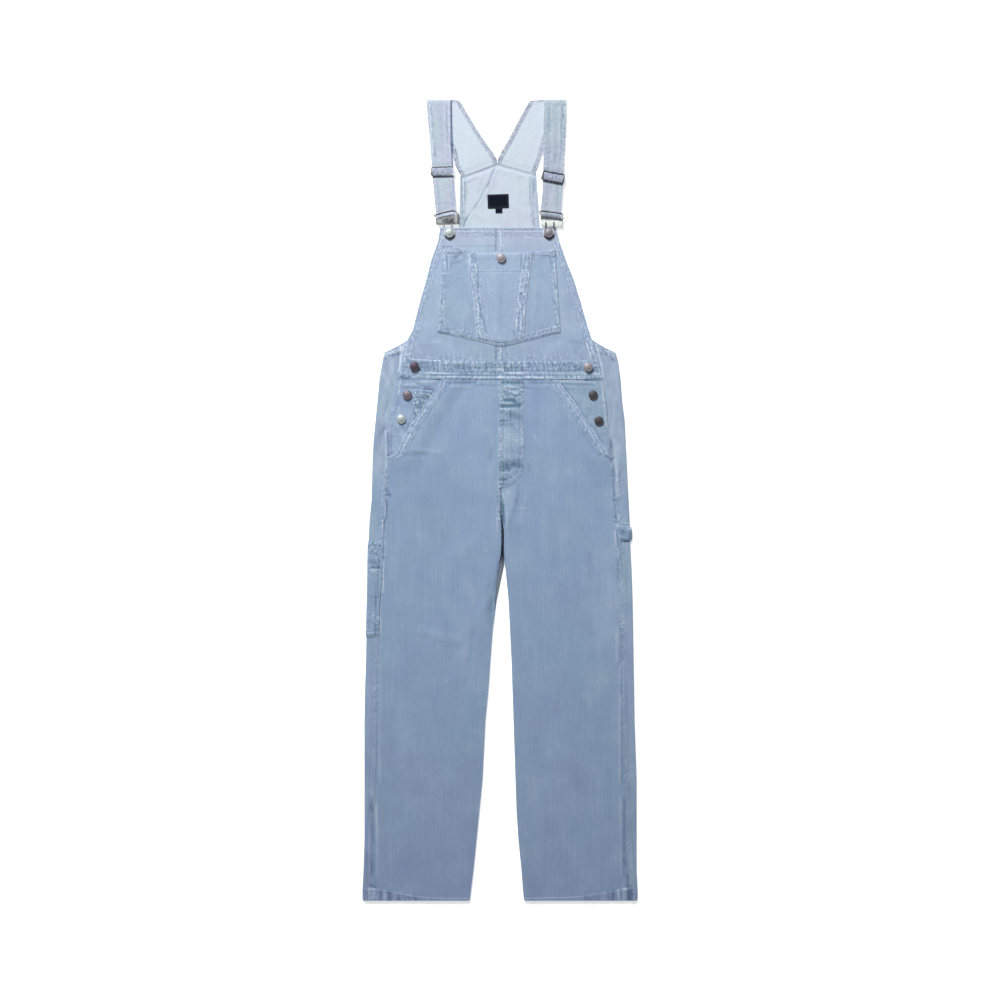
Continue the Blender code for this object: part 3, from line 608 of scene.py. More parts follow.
def make_denim(name):
    made, tree, shader = new_material(name)
    grain = node(tree, "ShaderNodeUVMap", uv_map="grain").outputs[0]
    turned = node(tree, "ShaderNodeMapping", vector_type="POINT")
    set_inputs(turned, {"Rotation": (0, 0, math.radians(TWILL_SLANT))})
    link(tree, grain, turned.inputs["Vector"])
    twill = node(tree, "ShaderNodeTexWave", wave_type="BANDS", bands_direction="X")
    set_inputs(twill, {"Scale": BANDS_PER_UNIT / TWILL_PITCH, "Distortion": 1.2, "Detail Scale": 1.5})
    link(tree, turned.outputs[0], twill.inputs["Vector"])
    twill_lines = maths(tree, "SUBTRACT", twill.outputs[1], 0.5)
    slub = noise_texture(tree, grain, 1.0, 2.0, (1 / SLUB_WIDTH, 1 / SLUB_LENGTH), 0.6)
    streak = noise_texture(tree, grain, 1.0, 2.0, (1 / 0.004, 1 / 0.11), 0.5)
    knots = maths(tree, "SUBTRACT", slub, 0.19, clamp=True)
    pits = maths(tree, "SUBTRACT", maths(tree, "MULTIPLY", slub, -1.0), 0.21, clamp=True)
    cloud = noise_texture(tree, grain, 24.0, 3.0)
    drift = noise_texture(tree, grain, 9.0, 2.0)
    speck = noise_texture(tree, grain, 480.0, 2.0)
    coarse = noise_texture(tree, grain, 190.0, 2.0, (1.25, 0.7))
    small = noise_texture(tree, grain, 420.0, 1.0, (1.2, 0.6))
    pale, crinkle = attribute(tree, "pale"), attribute(tree, "crinkle")

    split = tree.nodes.new("ShaderNodeSeparateXYZ")
    link(tree, grain, split.inputs[0])
    low = maths(tree, "MULTIPLY", maths(tree, "ADD", split.outputs[1], 0.25), -1.8, clamp=True)
    calm_low = maths(tree, "SUBTRACT", 1.0, maths(tree, "MULTIPLY", low, 0.60))
    swing = maths(tree, "MULTIPLY", total(tree, (drift, 2.4), (cloud, 0.9), (streak, 0.3)), calm_low)
    hue = maths(tree, "ADD", maths(tree, "ADD", swing, 0.5), attribute(tree, "teal"), clamp=True)
    hue = maths(tree, "MULTIPLY", hue, maths(tree, "SUBTRACT", 1.0, maths(tree, "MULTIPLY", low, 0.30)))
    face = mix_colour(tree, hue, mix_colour(tree, low, BLUE, BLUE_LILAC), BLUE_TEAL)
    washed = mix_colour(tree, hue, WASHED_LILAC, BLUE_WASHED)
    wash = attribute(tree, "wash")
    face = mix_colour(tree, wash, face, washed)
    inner = mix_colour(tree, pale, face, mix_colour(tree, hue, INSIDE_LILAC, INSIDE))
    tone = total(tree, (slub, 0.16), (streak, 0.22), (knots, 2.4), (pits, -1.6), (cloud, 0.26), (drift, 0.20),
                 (speck, 0.22), (twill_lines, 0.12))
    calm = maths(tree, "MULTIPLY", maths(tree, "SUBTRACT", 1.0, maths(tree, "MULTIPLY", pale, 0.6)),
                 maths(tree, "SUBTRACT", 1.0, maths(tree, "MULTIPLY", wash, 0.35)))
    tone = maths(tree, "MULTIPLY", tone, calm)
    folds_small = maths(tree, "MULTIPLY", total(tree, (coarse, 1.9), (small, 1.5)), crinkle)
    wear = maths(tree, "ADD", maths(tree, "ADD", attribute(tree, "wear"), tone), folds_small)
    colour = mix_colour(tree, maths(tree, "MULTIPLY", wear, 1.0, clamp=True), inner, BLUE_RUBBED_AND_LIT)
    deep = mix_colour(tree, hue, DEEP_LILAC, BLUE_DEEP)
    colour = mix_colour(tree, maths(tree, "MULTIPLY", wear, -1.0, clamp=True), colour, deep)
    # Painted shade: the colour darkens towards black, and specular and sheen fade with it.
    shade = attribute(tree, "shade")
    link(tree, mix_colour(tree, shade, colour, BLACK), shader.inputs["Base Color"])
    lit = maths(tree, "SUBTRACT", 1.0, shade)
    link(tree, maths(tree, "MULTIPLY", lit, 0.18), shader.inputs["Specular IOR Level"])
    link(tree, maths(tree, "MULTIPLY", lit, 0.10), shader.inputs["Sheen Weight"])
    set_inputs(shader, {"Roughness": 0.92, "Sheen Roughness": 0.5})
    puckers = maths(tree, "MULTIPLY", total(tree, (coarse, 3.0), (small, 1.5)), crinkle)
    relief = maths(tree, "ADD", total(tree, (twill_lines, 0.35), (slub, 0.5), (knots, 1.5)), puckers)
    add_relief(tree, shader, relief, 0.6, 0.0006)
    return made


DENIM_CLOTH = make_denim("washed_denim")
print("denim:", len(DENIM_CLOTH.node_tree.nodes), "nodes")

# %% [markdown]
# ## Laying a piece of cloth
# Every piece is a grid of points with an upper and a lower face and a rim, so it is a closed wall
# of real thickness. The same helper stores the wear and painted shading, the painted shade, the
# inner face, the wash and the grain. Each piece replaces its solid and rides on the body.

# %% Cloth helper
CLOTH_PIECES = {}
LEAST_CLOTH = 0.3                      # no mark presses a piece thinner than this


def wall(name, outside, inside, values, grain=None):
    """Closed wall between two grids of points in millimetres, each (rows, columns, 3).

    values holds, for each label, what the outer and the inner face store on their points.
    """
    outside, inside = np.asarray(outside, float), np.asarray(inside, float)
    rows, cols = outside.shape[:2]
    count = rows * cols
    index = np.arange(count).reshape(rows, cols)
    a, b = index[:-1, :-1].ravel(), index[1:, :-1].ravel()
    c, d = index[1:, 1:].ravel(), index[:-1, 1:].ravel()
    quads = [np.stack((a, b, c, d), 1), np.stack((a, d, c, b), 1) + count]
    for edge in (index[:, 0], index[::-1, -1], index[0, ::-1], index[-1, :]):
        quads.append(np.stack((edge[:-1], edge[:-1] + count, edge[1:] + count, edge[1:]), 1))
    quads = np.concatenate(quads)
    points = to_frame(np.concatenate((outside.reshape(-1, 3), inside.reshape(-1, 3))))
    corners = points[quads]
    normals = np.cross(corners[:, 2] - corners[:, 0], corners[:, 3] - corners[:, 1])
    if float(np.sum(normals * corners.mean(1))) < 0:
        quads = quads[:, ::-1]
    mesh = bpy.data.meshes.new(name)
    mesh.from_pydata(points.tolist(), [], quads.tolist())
    for label, faces in values.items():
        layer = mesh.attributes.new(label, "FLOAT", "POINT")
        both = np.concatenate([np.broadcast_to(face, (rows, cols)).ravel() for face in faces])
        layer.data.foreach_set("value", both.astype(np.float32))
    flat = outside[:, :, :2] if grain is None else np.asarray(grain, float)
    flat = np.concatenate((flat.reshape(-1, 2), flat.reshape(-1, 2))) * MM
    uv = mesh.uv_layers.new(name="grain")
    loops = np.empty(len(mesh.loops), dtype=np.int32)
    mesh.loops.foreach_get("vertex_index", loops)
    uv.data.foreach_set("uv", flat[loops].astype(np.float32).ravel())
    mesh.shade_smooth()
    mesh.set_sharp_from_angle(angle=math.radians(50))
    piece = new_object(name, mesh)
    piece.data.materials.append(DENIM_CLOTH)
    return piece


def lay(name, outside, inside, rests_on, look, pale=(0.0, 1.0), wash=0.0, shade=(0.0, 0.0),
        inner_wear=0.0, inner_crinkle=0.0, inner_teal=0.0, held="laid", size=None, grain=None):
    inner_pale = np.array(np.broadcast_to(pale[1], look.x.shape), float)
    for rim in (np.s_[0], np.s_[-1], np.s_[:, 0], np.s_[:, -1]):
        inner_pale[rim] = np.broadcast_to(pale[0], look.x.shape)[rim]
    values = {"wear": (look.wear, inner_wear), "crinkle": (look.crinkle, inner_crinkle), "wash": (wash, wash),
              "pale": (pale[0], inner_pale), "shade": shade, "teal": (look.teal, inner_teal)}
    piece = wall(name + "_cloth", outside, inside, values, grain)
    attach(piece, BODY)
    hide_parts(name)
    middle = (np.asarray(outside, float) + np.asarray(inside, float)) / 2
    if size is None:
        low, high = middle.reshape(-1, 3).min(0), middle.reshape(-1, 3).max(0)
        size = (float(high[0] - low[0]) * MM, float(high[1] - low[1]) * MM)
    CLOTH_PIECES[name] = piece
    return piece


def lay_flat(name, look, under, thick, rests_on=(), **values):
    """A flat piece: its underside and thickness, with what the look adds to its upper face."""
    outside = np.stack((look.x, look.y, under + np.maximum(thick + look.height, LEAST_CLOTH)), -1)
    inside = np.stack((look.x, look.y, np.broadcast_to(under, look.x.shape)), -1)
    return lay(name, outside, inside, [other + "_cloth" for other in rests_on], look, **values)


DOWN = Vector((0, 0, -1))


def cloth_tree(*names):
    """A search tree over several pieces, for finding their upper face."""
    verts, faces = [], []
    for name in names:
        mesh = CLOTH_PIECES[name].data
        base = len(verts)
        points = np.empty(len(mesh.vertices) * 3, dtype=np.float32)
        mesh.vertices.foreach_get("co", points)
        verts += points.reshape(-1, 3).tolist()
        faces += [tuple(base + i for i in polygon.vertices) for polygon in mesh.polygons]
    return BVHTree.FromPolygons(verts, faces)


def blurred(grid):
    """The grid's values averaged with their neighbours."""
    wide = np.pad(grid, 1, mode="edge")
    return (wide[:-2, 1:-1] + wide[2:, 1:-1] + wide[1:-1, :-2] + wide[1:-1, 2:] + 2 * grid) / 6


def rest_on(names, x, y, base, gap=0.14, sink=0.5):
    """Underside of a piece on others: it bridges their steps and never sinks far under its base."""
    search = cloth_tree(*names)
    heights = []
    for px, py in zip(x.ravel(), np.broadcast_to(y, x.shape).ravel()):
        hit = search.ray_cast(Vector((px * MM, (py - MIDDLE_Y) * MM, 0.05)), DOWN)[0]
        heights.append(hit.z / MM + gap if hit else -1.0)
    heights = np.maximum(np.array(heights).reshape(x.shape), base - sink)
    bridged = heights
    for _ in range(5):
        bridged = blurred(bridged)
    return np.maximum(heights, bridged)


def thinned(x, y, from_edge, seed, least=0.25, reach=5.0):
    """Share of a piece's thickness left near its edge, where the wash has flattened it unevenly."""
    worn = least + (0.5 - least) * (1 + noise2(x / 7, y / 7, seed))
    return 1 - (1 - worn) * (1 - smooth(from_edge / reach))


def grid_between(ys, left, right, parts):
    """Grid with columns at parts of the way from left(y) to right(y)."""
    parts = np.asarray(parts, float)
    x = left[:, None] + (right - left)[:, None] * parts[None, :]
    return x, np.repeat(ys[:, None], len(parts), 1)


# %% [markdown]
# ## Back legs
# A jeans back is cut wider than its front, so when the leg is laid flat the back turns round the
# outer edge and shows as a strip up to the side seam. The seam is felled: its allowance is folded
# in and held down by two rows of stitches, which draw the strip's edge into puckers.

# %% Back legs
SEAM_WIDTH = 9.0
BAND_WIDTH = {"mouth": 15.0, "placket": 7.0, "fly": 7.0, "coin_top": 12.0, "coin_side": 7.0, "bib_side": 12.0,
              "bib_top": 15.0, "bib_seam": 16.0, "pocket_side": 9.0, "pocket_top": 12.0, "pocket_foot": 14.0,
              "centre": 17.0, "back_side": 14.0}
LEG_FLAT = (0.335, 1.14)                # metres: a back leg unfolded, and a strap laid out
STRAP_FLAT = (0.078, 0.40)
STRIP_GRAIN = 400.0                     # moves the strip's weave away from that of the underside
# Painted shade on the back's inner face, by how far down the leg it lies, where it shows in the gap between
# the fronts.
INSIDE_PAINTED_SHADE = {"down": (0, 26, 100, 112, 128, 200, 260), "shade": (0, 0.97, 0.98, 0.84, 0.62, 0.5, 0.2)}
HEM_LINE = {                    # height of the hem's stitches over its edge, from the outer fold inwards
    "right": ((0, 0.02, 0.157, 0.25, 0.343, 0.444, 0.53, 0.63, 1), (23, 23, 21, 17.6, 13.6, 9.6, 7, 4.8, 4)),
    "left": ((0, 0.05, 0.15, 0.27, 0.37, 0.49, 0.63, 1), (23.5, 23.5, 21, 15.6, 12.6, 7.6, 5.6, 4)),
}

# In every table of marks a row is one pucker, rubbed place or line of painted shade or light, a short
# line on the cloth: x, y to x, y, then its half width, its height and its wear and shading. In every
# table of patches a row is one broad soft spot: x, y, its reach across and along, its wear and
# shading, and its hue.
SIDE_MARKS = {
    "right": (
        (-231, 152, -236, 138, 2.4, -0.5, -0.45), (-233, 124, -238, 104, 2.0, 0.3, 0.25),
        (-229, 144, -227, 70, 1.3, 0.5, 0.65), (-226, 25, -220, 13, 3.4, -0.7, -0.55),
        (-231, 16, -219, 16, 1.0, -0.5, -0.6), (-225.6, 4, -226.4, -32, 1.2, -0.6, -0.85),
        (-229, -4, -230, -32, 1.3, 0.5, 0.55), (-235, -34, -235, -60, 1.4, 0.4, 0.6),
        (-230, -32, -231, -50, 1.4, -0.4, -0.5), (-237, -116, -237, -154, 1.3, -0.5, -0.7),
        (-233, -116, -233, -176, 1.6, 0.3, 0.35), (-238.6, -162, -239.4, -196, 1.1, -0.4, -0.55),
        (-245, -162, -246, -192, 1.1, -0.4, -0.5), (-248, -192, -248, -212, 1.0, -0.4, -0.5),
        (-240, -196, -241, -220, 1.1, -0.3, -0.45), (-238, -230, -238, -262, 1.2, 0.3, 0.4),
        (-240, -232, -240, -262, 1.0, -0.3, -0.5), (-228, 296.5, -200, 293.5, 1.7, 0.4, 0.75),
        (-206, 304, -196, 292, 2.0, 0.5, 0.8), (-196, 288, -203, 262, 1.7, 0.5, 0.8),
        (-191, 300, -193, 286, 1.6, 0.4, 0.6), (-211, 299, -200, 297, 1.3, -0.4, -0.5),
        (-219, 289.5, -200, 288.5, 1.6, -0.4, -0.5), (-203, 300, -202, 246, 2.0, -0.3, -0.4),
        (-199, 292, -201, 258, 1.2, 0.4, 0.5), (-224, 206, -232, 176, 2.0, -0.4, -0.35),
        (-234, 260, -224, 240, 3.0, 0.3, 0.2), (-256, -596, -255, -618, 2.6, -0.4, -0.45),
        (-249, -604, -247, -640, 1.8, 0.3, 0.3), (-259, -604, -258, -616, 1.4, -0.4, -0.5),
        (-255, -640, -254, -680, 1.6, -0.3, -0.4), (-245, -600, -245, -700, 1.8, 0.2, 0.22),
        (-257, -714, -256, -738, 1.8, -0.4, -0.55), (-252, -722, -251, -734, 1.4, -0.3, -0.45),
        (-260, -763, -249, -768, 2.4, -0.5, -0.7), (-266, -700, -265, -760, 1.6, -0.2, -0.3),
        (-265, -770, -264, -792, 1.8, -0.4, -0.6), (-258, -770, -250, -772, 1.6, 0.4, 0.35),
        (-262, -773, -262, -792, 2.8, 0.3, 0.3)),
    "left": (
        (221.5, 124, 221.5, 110, 3.0, -0.6, -0.6), (228, 122, 232, 70, 5.5, 0.3, 0.3),
        (213, 92, 229, 91, 2.0, -0.5, -0.65), (220, 87, 223, 84, 2.4, -0.4, -0.7),
        (225.6, 66, 226.4, 34, 1.0, -0.5, -0.75), (227.6, 34, 228.6, 5, 1.1, -0.6, -0.9),
        (234, 66, 235, 14, 2.4, 0.5, 0.4), (238.6, 66, 239, 46, 1.1, -0.3, -0.35),
        (226, 5, 239, 7, 1.2, -0.5, -0.6), (229.6, -1, 230.6, -27, 1.4, -0.5, -0.65),
        (236, -4, 237, -26, 1.1, -0.3, -0.45), (232, -26, 233.6, -34, 1.6, -0.6, -0.8),
        (237, -22, 237.6, -33, 1.3, 0.5, 0.75), (229, -37, 240, -38, 1.2, -0.4, -0.6),
        (233, -42, 239, -50, 2.0, 0.4, 0.45), (243, -40, 259, -41, 1.0, 0.4, 0.6),
        (243, -47, 259, -48, 1.0, 0.4, 0.6), (243, -44, 259, -44, 0.9, -0.4, -0.6),
        (234, -54, 236, -84, 1.3, -0.5, -0.7), (230.6, -54, 231.4, -84, 1.2, 0.4, 0.45),
        (241, -85, 241.6, -116, 1.1, -0.3, -0.35), (236, -114, 237, -154, 2.0, -0.3, -0.4),
        (244, -114, 245, -146, 1.1, -0.3, -0.35), (241.4, -250, 242, -318, 1.2, -0.3, -0.5),
        (245.6, -250, 246, -312, 1.1, -0.2, -0.35), (234, -250, 233, -316, 2.4, 0.2, 0.25),
        (241, -354, 241.6, -384, 1.2, -0.3, -0.4), (193, 298, 202, 275, 1.8, 0.5, 0.8),
        (202, 275, 206, 252, 1.6, 0.5, 0.75), (206, 297, 214, 291, 1.6, -0.4, -0.6),
        (216, 292, 230, 290, 1.3, 0.4, 0.6), (200, 293, 230, 299, 1.7, 0.4, 0.5),
        (222, 288, 229, 282, 1.8, -0.4, -0.5), (199, 284, 203, 264, 1.4, -0.3, -0.45),
        (249, -596, 250, -700, 1.4, -0.3, -0.4), (253, -640, 254, -700, 1.2, 0.2, 0.22),
        (249, -712, 250, -724, 2.4, -0.4, -0.5), (255, -744, 256, -770, 2.2, -0.5, -0.7),
        (262, -772, 261, -792, 3.6, -0.5, -1.5), (250, -772, 258, -772, 1.4, 0.4, 0.4),
        (270, -774, 271, -790, 2.4, 0.3, 0.3), (254, -764, 262, -766, 1.6, -0.4, -0.6)),
}


# Lines along the felled side seams, on the strip and on the front alike.
SEAM_LINES = (
    (-246, -330, -247, -560, 1.6, -0.2, -0.18), (-238, -330, -240, -560, 2.4, 0.2, 0.14),
    (-263, -330, -262, -560, 4.0, 0.2, 0.08), (-258, -590, -256, -745, 5.0, -0.2, -0.26),
    (-246, -590, -246, -745, 2.6, 0.2, 0.13), (244, -330, 244.5, -560, 1.2, -0.3, -0.5),
    (239, -330, 239.5, -560, 1.8, 0.2, 0.2), (250, -330, 250, -560, 4.0, 0.0, -0.12),
    (246, -590, 247, -745, 1.2, -0.3, -0.45), (241, -590, 241.5, -745, 1.8, 0.2, 0.18),
    (251, -590, 251.5, -745, 1.6, -0.3, -0.4), (256, -590, 256.5, -745, 1.3, -0.2, -0.3))


SIDE_PATCHES = (
    (222, -205, 42, 150, 0.11, 0.0), (-236, 135, 18, 34, -0.12, -0.1), (-236, -20, 18, 30, -0.07, 0.0))
STRIP_PATCHES = (
    (-245, 60, 14, 60, 0.0, 0.5), (-262, -30, 12, 60, 0.0, 0.6), (-264, -690, 9, 120, 0.0, -0.9),
    (246, 170, 14, 60, 0.0, -0.3), (249, -110, 10, 26, 0.05, 1.0), (253, -330, 12, 120, 0.0, -0.6),
    (264, -690, 9, 120, 0.0, 0.9), (248, 80, 16, 34, 0.02, 0.8), (262, -545, 9, 140, 0.06, 0.2),
    (240, 108, 12, 22, 0.1, 1.0))


def armhole_rise(side, x, y):
    """The armhole edge of the wrapped part climbs towards the bib."""
    inward = np.abs(leg_x(side + "_outer", BACK_WAIST_Y)) - np.abs(x)
    rise = 0.46 * np.maximum(inward, 0) + 0.004 * np.maximum(inward - 15, 0) ** 2
    return rise * smooth((y - 262) / 40)


def leg_heights(top):
    """Rows of a leg: close together where it has most puckers, and at its hem."""
    return places((top, -400, 2.3), (-400, HEM_Y + HEM_WIDTH + 2, 3.8),
                  (HEM_Y + HEM_WIDTH + 2, HEM_Y, 1.5))


def seam_path(side, start_y, end_y, offset=0.0):
    ys = np.linspace(start_y, end_y, 24)
    xs = front_edge(side, ys) + sign_of(side) * offset
    return np.stack((xs, ys), 1)


def add_hem(look, side, x, y):
    """Turned hem of a leg: thicker, with slanting ridges drawn by its one row of stitches."""
    outer, inner = leg_x(side + "_outer", y), leg_x(side + "_inner", y)
    part = np.clip((x - outer) / (inner - outer), 0, 1)
    above = y - HEM_Y - np.interp(part, *HEM_LINE[side])
    ridges = rope(x + 0.25 * above, 15.0, 21 if side == "right" else 22)
    deep = (0.35 + 0.65 * smooth((0.85 - part) / 0.4)) * smooth((4 - above) / 8)
    look.add(0.7 * smooth(0.5 - above / 1.2) + 0.6 * ridges * deep - 0.35 * bump(above / 1.0),
             (0.22 * ridges - 0.05) * deep + 0.30 * bump((above - 1.2) / 1.3)
             - 0.22 * bump((above + 1.6) / 1.3), 0.30 * deep)
    look.teal = look.teal - 0.7 * deep


def make_leg_back(side):
    turn = sign_of(side)
    ys = leg_heights(BACK_WAIST_Y)
    outer, inner = leg_x(side + "_outer", ys), leg_x(side + "_inner", ys)
    inner = inner - turn * 0.3 * smooth((ys - CROTCH_Y) / 6)      # the seat seam closes the backs
    turn_x = outer - turn * FOLD_RADIUS
    edge = back_strip_edge(side, ys)
    xs, zs, inner_x, inner_z = [], [], [], []
    for part in (0, 0.02, 0.04, 0.07, 0.12, 0.3, 0.5, 0.75):
        xs.append(inner + (turn_x - inner) * part)
        zs.append(np.zeros_like(ys))
        inner_x.append(xs[-1])
        inner_z.append(np.full_like(ys, DENIM))
    for degrees in np.linspace(-90, 90, 9):
        c, s = math.cos(math.radians(degrees)), math.sin(math.radians(degrees))
        xs.append(turn_x + turn * FOLD_RADIUS * c)
        zs.append(np.full_like(ys, FOLD_RADIUS * (1 + s)))
        inner_x.append(turn_x + turn * (FOLD_RADIUS - DENIM) * c)
        inner_z.append(np.full_like(ys, FOLD_RADIUS + (FOLD_RADIUS - DENIM) * s))
    strip_from = len(xs) - 1
    for part in np.linspace(0, 1, 25)[1:]:
        xs.append(turn_x + (edge - turn_x) * part)
        zs.append(np.full_like(ys, 2 * FOLD_RADIUS))
        inner_x.append(xs[-1])
        inner_z.append(np.full_like(ys, FRONT_BASE))
    x, z = np.stack(xs, 1), np.stack(zs, 1)
    ix, iz = np.stack(inner_x, 1), np.stack(inner_z, 1)
    nominal = np.repeat(ys[:, None], x.shape[1], 1)
    on_top = np.zeros(x.shape)
    on_top[:, strip_from:] = 1.0
    on_top *= smooth(np.abs(x - outer[:, None]) / 4)
    y = nominal + armhole_rise(side, x, nominal) * (z > FOLD_RADIUS)

    look = Surface(x, nominal)
    look.band(seam_path(side, 70, HEM_Y, offset=SEAM_GAP)[::turn], SEAM_WIDTH, lift=0.35, lines=0.42,
              ropes=0.25, pace=12.0, slant=0.6, crinkle=0.45, seed=31 + turn, on=smooth((72 - nominal) / 8))
    look.crinkle *= 0.35 + 0.65 * smooth((nominal + 330) / 200)
    add_hem(look, side, x, nominal)
    look.marks(SIDE_MARKS[side] + SEAM_LINES)
    look.patches(SIDE_PATCHES + STRIP_PATCHES)
    rim = Surface(x, y)
    armhole = [(turn * 231.0, 300.0), (turn * 212.0, 306.0), (turn * 196.0, 314.5), (turn * 184.0, 324.0)]
    rim.band(armhole[::turn], 11.0, lines=0.7, pace=8.0, seed=41 + turn)
    look.add(rim.height, rim.wear, rim.crinkle, on=z > 2 * FOLD_RADIUS - 0.5)
    hips = smooth((nominal - 20) / 60)
    soft = 0.4 * noise2(x / 26, nominal / 60, 8) + 0.5 * hips * noise2(x / 13, nominal / 20, 9)
    look.add(0.6 * soft, 0.10 * noise2(x / 9, nominal / 34, 14)
             + 0.12 * hips * noise2(x / 6, nominal / 14, 15))
    iz = iz + 0.5 * soft * on_top
    z = np.where(on_top > 0, np.maximum(z + look.height * on_top, iz + LEAST_CLOTH), z)
    # Painted shade: the back's inner face under the fronts is darkened towards black where the gap shows it.
    under_front = np.where(np.arange(x.shape[1]) < strip_from - 8, 1.0, 0.0)[None, :]
    dark = under_front * np.interp(-nominal, INSIDE_PAINTED_SHADE["down"], INSIDE_PAINTED_SHADE["shade"])
    grain = np.stack((x + np.where(on_top > 0, STRIP_GRAIN, 0.0), y), -1)
    lay("leg_back_" + side, np.stack((x, y, z), -1), np.stack((ix, y, iz), -1), ["table"], look,
        held="folded", size=LEG_FLAT, wash=0.08 + 0.25 * hips, shade=(0.0, dark), grain=grain)


for side in SIDES:
    make_leg_back(side)

# %% [markdown]
# ## Pocket facings and coin pocket
# The slanted pocket mouth shows the facing behind it. On dungarees the facing also carries the
# placket of the side opening, with its two buttons. The coin pocket is a small patch on the right
# facing, cut off by the pocket mouth in front of it.

# %% Facings
FACING_PATCHES = (
    (-221, 190, 8, 60, 0.05, 0.0), (-200, 135, 20, 32, 0.15, 0.0), (-158, 200, 16, 14, -0.05, -0.3))
FACING_MARKS = {
    "right": (
        (-223, 140, -222.6, 96, 1.3, -0.6, -0.85), (-217, 134, -217, 100, 1.6, -0.3, -0.35),
        (-196, 252, -180, 250, 2.2, -0.5, -0.55), (-196, 236, -150, 236, 2.6, 0.5, 0.3),
        (-192, 230, -160, 231, 2.0, -0.5, -0.4), (-165, 238, -140, 232, 2.0, -0.5, -0.6),
        # (-150, 229) to (-128, 225) is a shallow trough with painted shadow under the fold above it.
        (-150, 229, -128, 225, 2.6, -0.6, -0.9), (-204, 250, -181, 249, 2.6, -0.4, -0.6),
        (-160, 242, -126, 244, 2.4, 0.4, 0.35), (-190, 206, -176, 196, 3.0, -0.4, -0.25),
        (-182, 158, -186, 142, 2.6, -0.5, -0.55), (-176, 160, -190, 132, 2.4, 0.4, 0.25),
        (-196, 152, -190, 148, 2.4, -0.5, -0.5), (-207, 150, -200, 120, 3.0, -0.4, -0.2),
        (-201, 190, -206, 150, 2.6, 0.4, 0.2), (-199, 246, -203, 215, 1.6, 0.5, 0.7)),
    "left": (
        # The first row paints the shadow under the waistband's lower edge.
        (170, 246, 205, 245, 2.4, -0.6, -0.75), (120, 238, 186, 236, 1.8, -0.5, -0.45),
        (120, 243, 196, 242, 1.6, 0.4, 0.35), (126, 230, 150, 226, 2.6, -0.3, -0.2),
        (125, 236, 143, 212, 1.6, -0.5, -0.5), (143, 212, 160, 190, 1.6, -0.5, -0.45),
        (160, 188, 182, 152, 1.8, -0.5, -0.45), (182, 170, 176, 158, 2.4, 0.4, 0.3),
        (190, 150, 204, 118, 3.0, -0.4, -0.25), (204, 246, 206, 220, 1.8, 0.5, 0.45),
        (221, 126, 221, 110, 2.4, -0.5, -0.9), (205, 250, 209, 190, 1.5, 0.4, 0.5),
        (209, 190, 215, 150, 1.5, 0.4, 0.4), (219, 108, 221, 94, 1.4, -0.4, -0.6)),
}


def make_facing(side):
    turn = sign_of(side)
    ys = places((WAIST_TOP + 4, OPENING_END_Y - 2, 1.9))
    outer = side_edge(side, ys)
    inner = front_edge(side, np.maximum(ys, 98)) - turn * 16
    x, y = grid_between(ys, outer, inner, np.linspace(0, 1, 50))
    look = Surface(x, y)
    placket = [(side_edge(side, v), v) for v in np.linspace(258, 88, 30)]
    look.band(placket[::-turn], BAND_WIDTH["placket"], lift=0.3, lines=0.6, ropes=0.2, pace=9.0,
              crinkle=0.6, seed=51 + turn)
    look.marks(FACING_MARKS[side])
    crease = 0.6 * noise2(x / 22 + y / 50, y / 13, 55) + 0.3 * noise2(x / 9, y / 8, 56)
    look.add(0.4 * crease, 0.10 * crease - 0.04, 0.25)
    look.teal = look.teal + (-0.45 if side == "right" else 0.15)
    look.patches(FACING_PATCHES)
    thick = DENIM * thinned(x, y, np.abs(x - outer[:, None]), 57, least=0.3, reach=7.0)
    lay_flat("side_front_" + side, look, FACING_BASE + 0.2 * crease, thick, ["leg_back_" + side],
             wash=0.10 if side == "right" else 0.16)


COIN_TOP, COIN_SIDE = 225.5, -173.0
COIN_MARKS = (
    (-150, 219, -132, 219, 1.4, -0.6, -0.7), (-158, 212, -146, 214, 1.2, -0.5, -0.7),
    (-150, 207, -143, 212, 1.4, -0.6, -0.7), (-146, 205, -140, 202, 1.6, -0.4, -0.5),
    (-168, 196, -162, 190, 2.4, -0.5, -0.6), (-160, 200, -152, 184, 2.0, -0.5, -0.45),
    (-170, 178, -164, 172, 2.2, -0.6, -0.75), (-158, 180, -150, 176, 1.6, -0.5, -0.5),
    (-161, 220, -139, 216, 1.2, 0.4, 0.5), (-165, 204, -161, 176, 1.2, 0.4, 0.45))


def make_coin_pocket():
    ys = places((COIN_TOP, 169.0, 1.2))
    cut_off = front_edge("right", ys) - 2 * GAP
    x, y = grid_between(ys, np.full(len(ys), COIN_SIDE), cut_off, np.linspace(0, 1, 34))
    look = Surface(x, y)
    look.band([(-120, COIN_TOP), (COIN_SIDE, COIN_TOP)], BAND_WIDTH["coin_top"], lines=0.8, ropes=0.4,
              pace=7.0, seed=61)
    look.band([(COIN_SIDE, 226), (COIN_SIDE, 165)], BAND_WIDTH["coin_side"], lines=0.6, ropes=0.4,
              pace=7.0, seed=62)
    look.marks(COIN_MARKS)
    look.add(0.3 * noise2(x / 5, y / 5, 63), 0.42 * noise2(x / 4, y / 4, 64) - 0.13, 1.0)
    look.teal = look.teal + 0.3
    edge = np.minimum(x - COIN_SIDE, COIN_TOP - y)
    under = rest_on(["side_front_right"], x, y, FACING_BASE + DENIM + 0.6)
    lay_flat("coin_pocket", look, under, 0.9 * thinned(x, y, edge, 65), ["side_front_right"], wash=0.1)


for side in SIDES:
    make_facing(side)
make_coin_pocket()
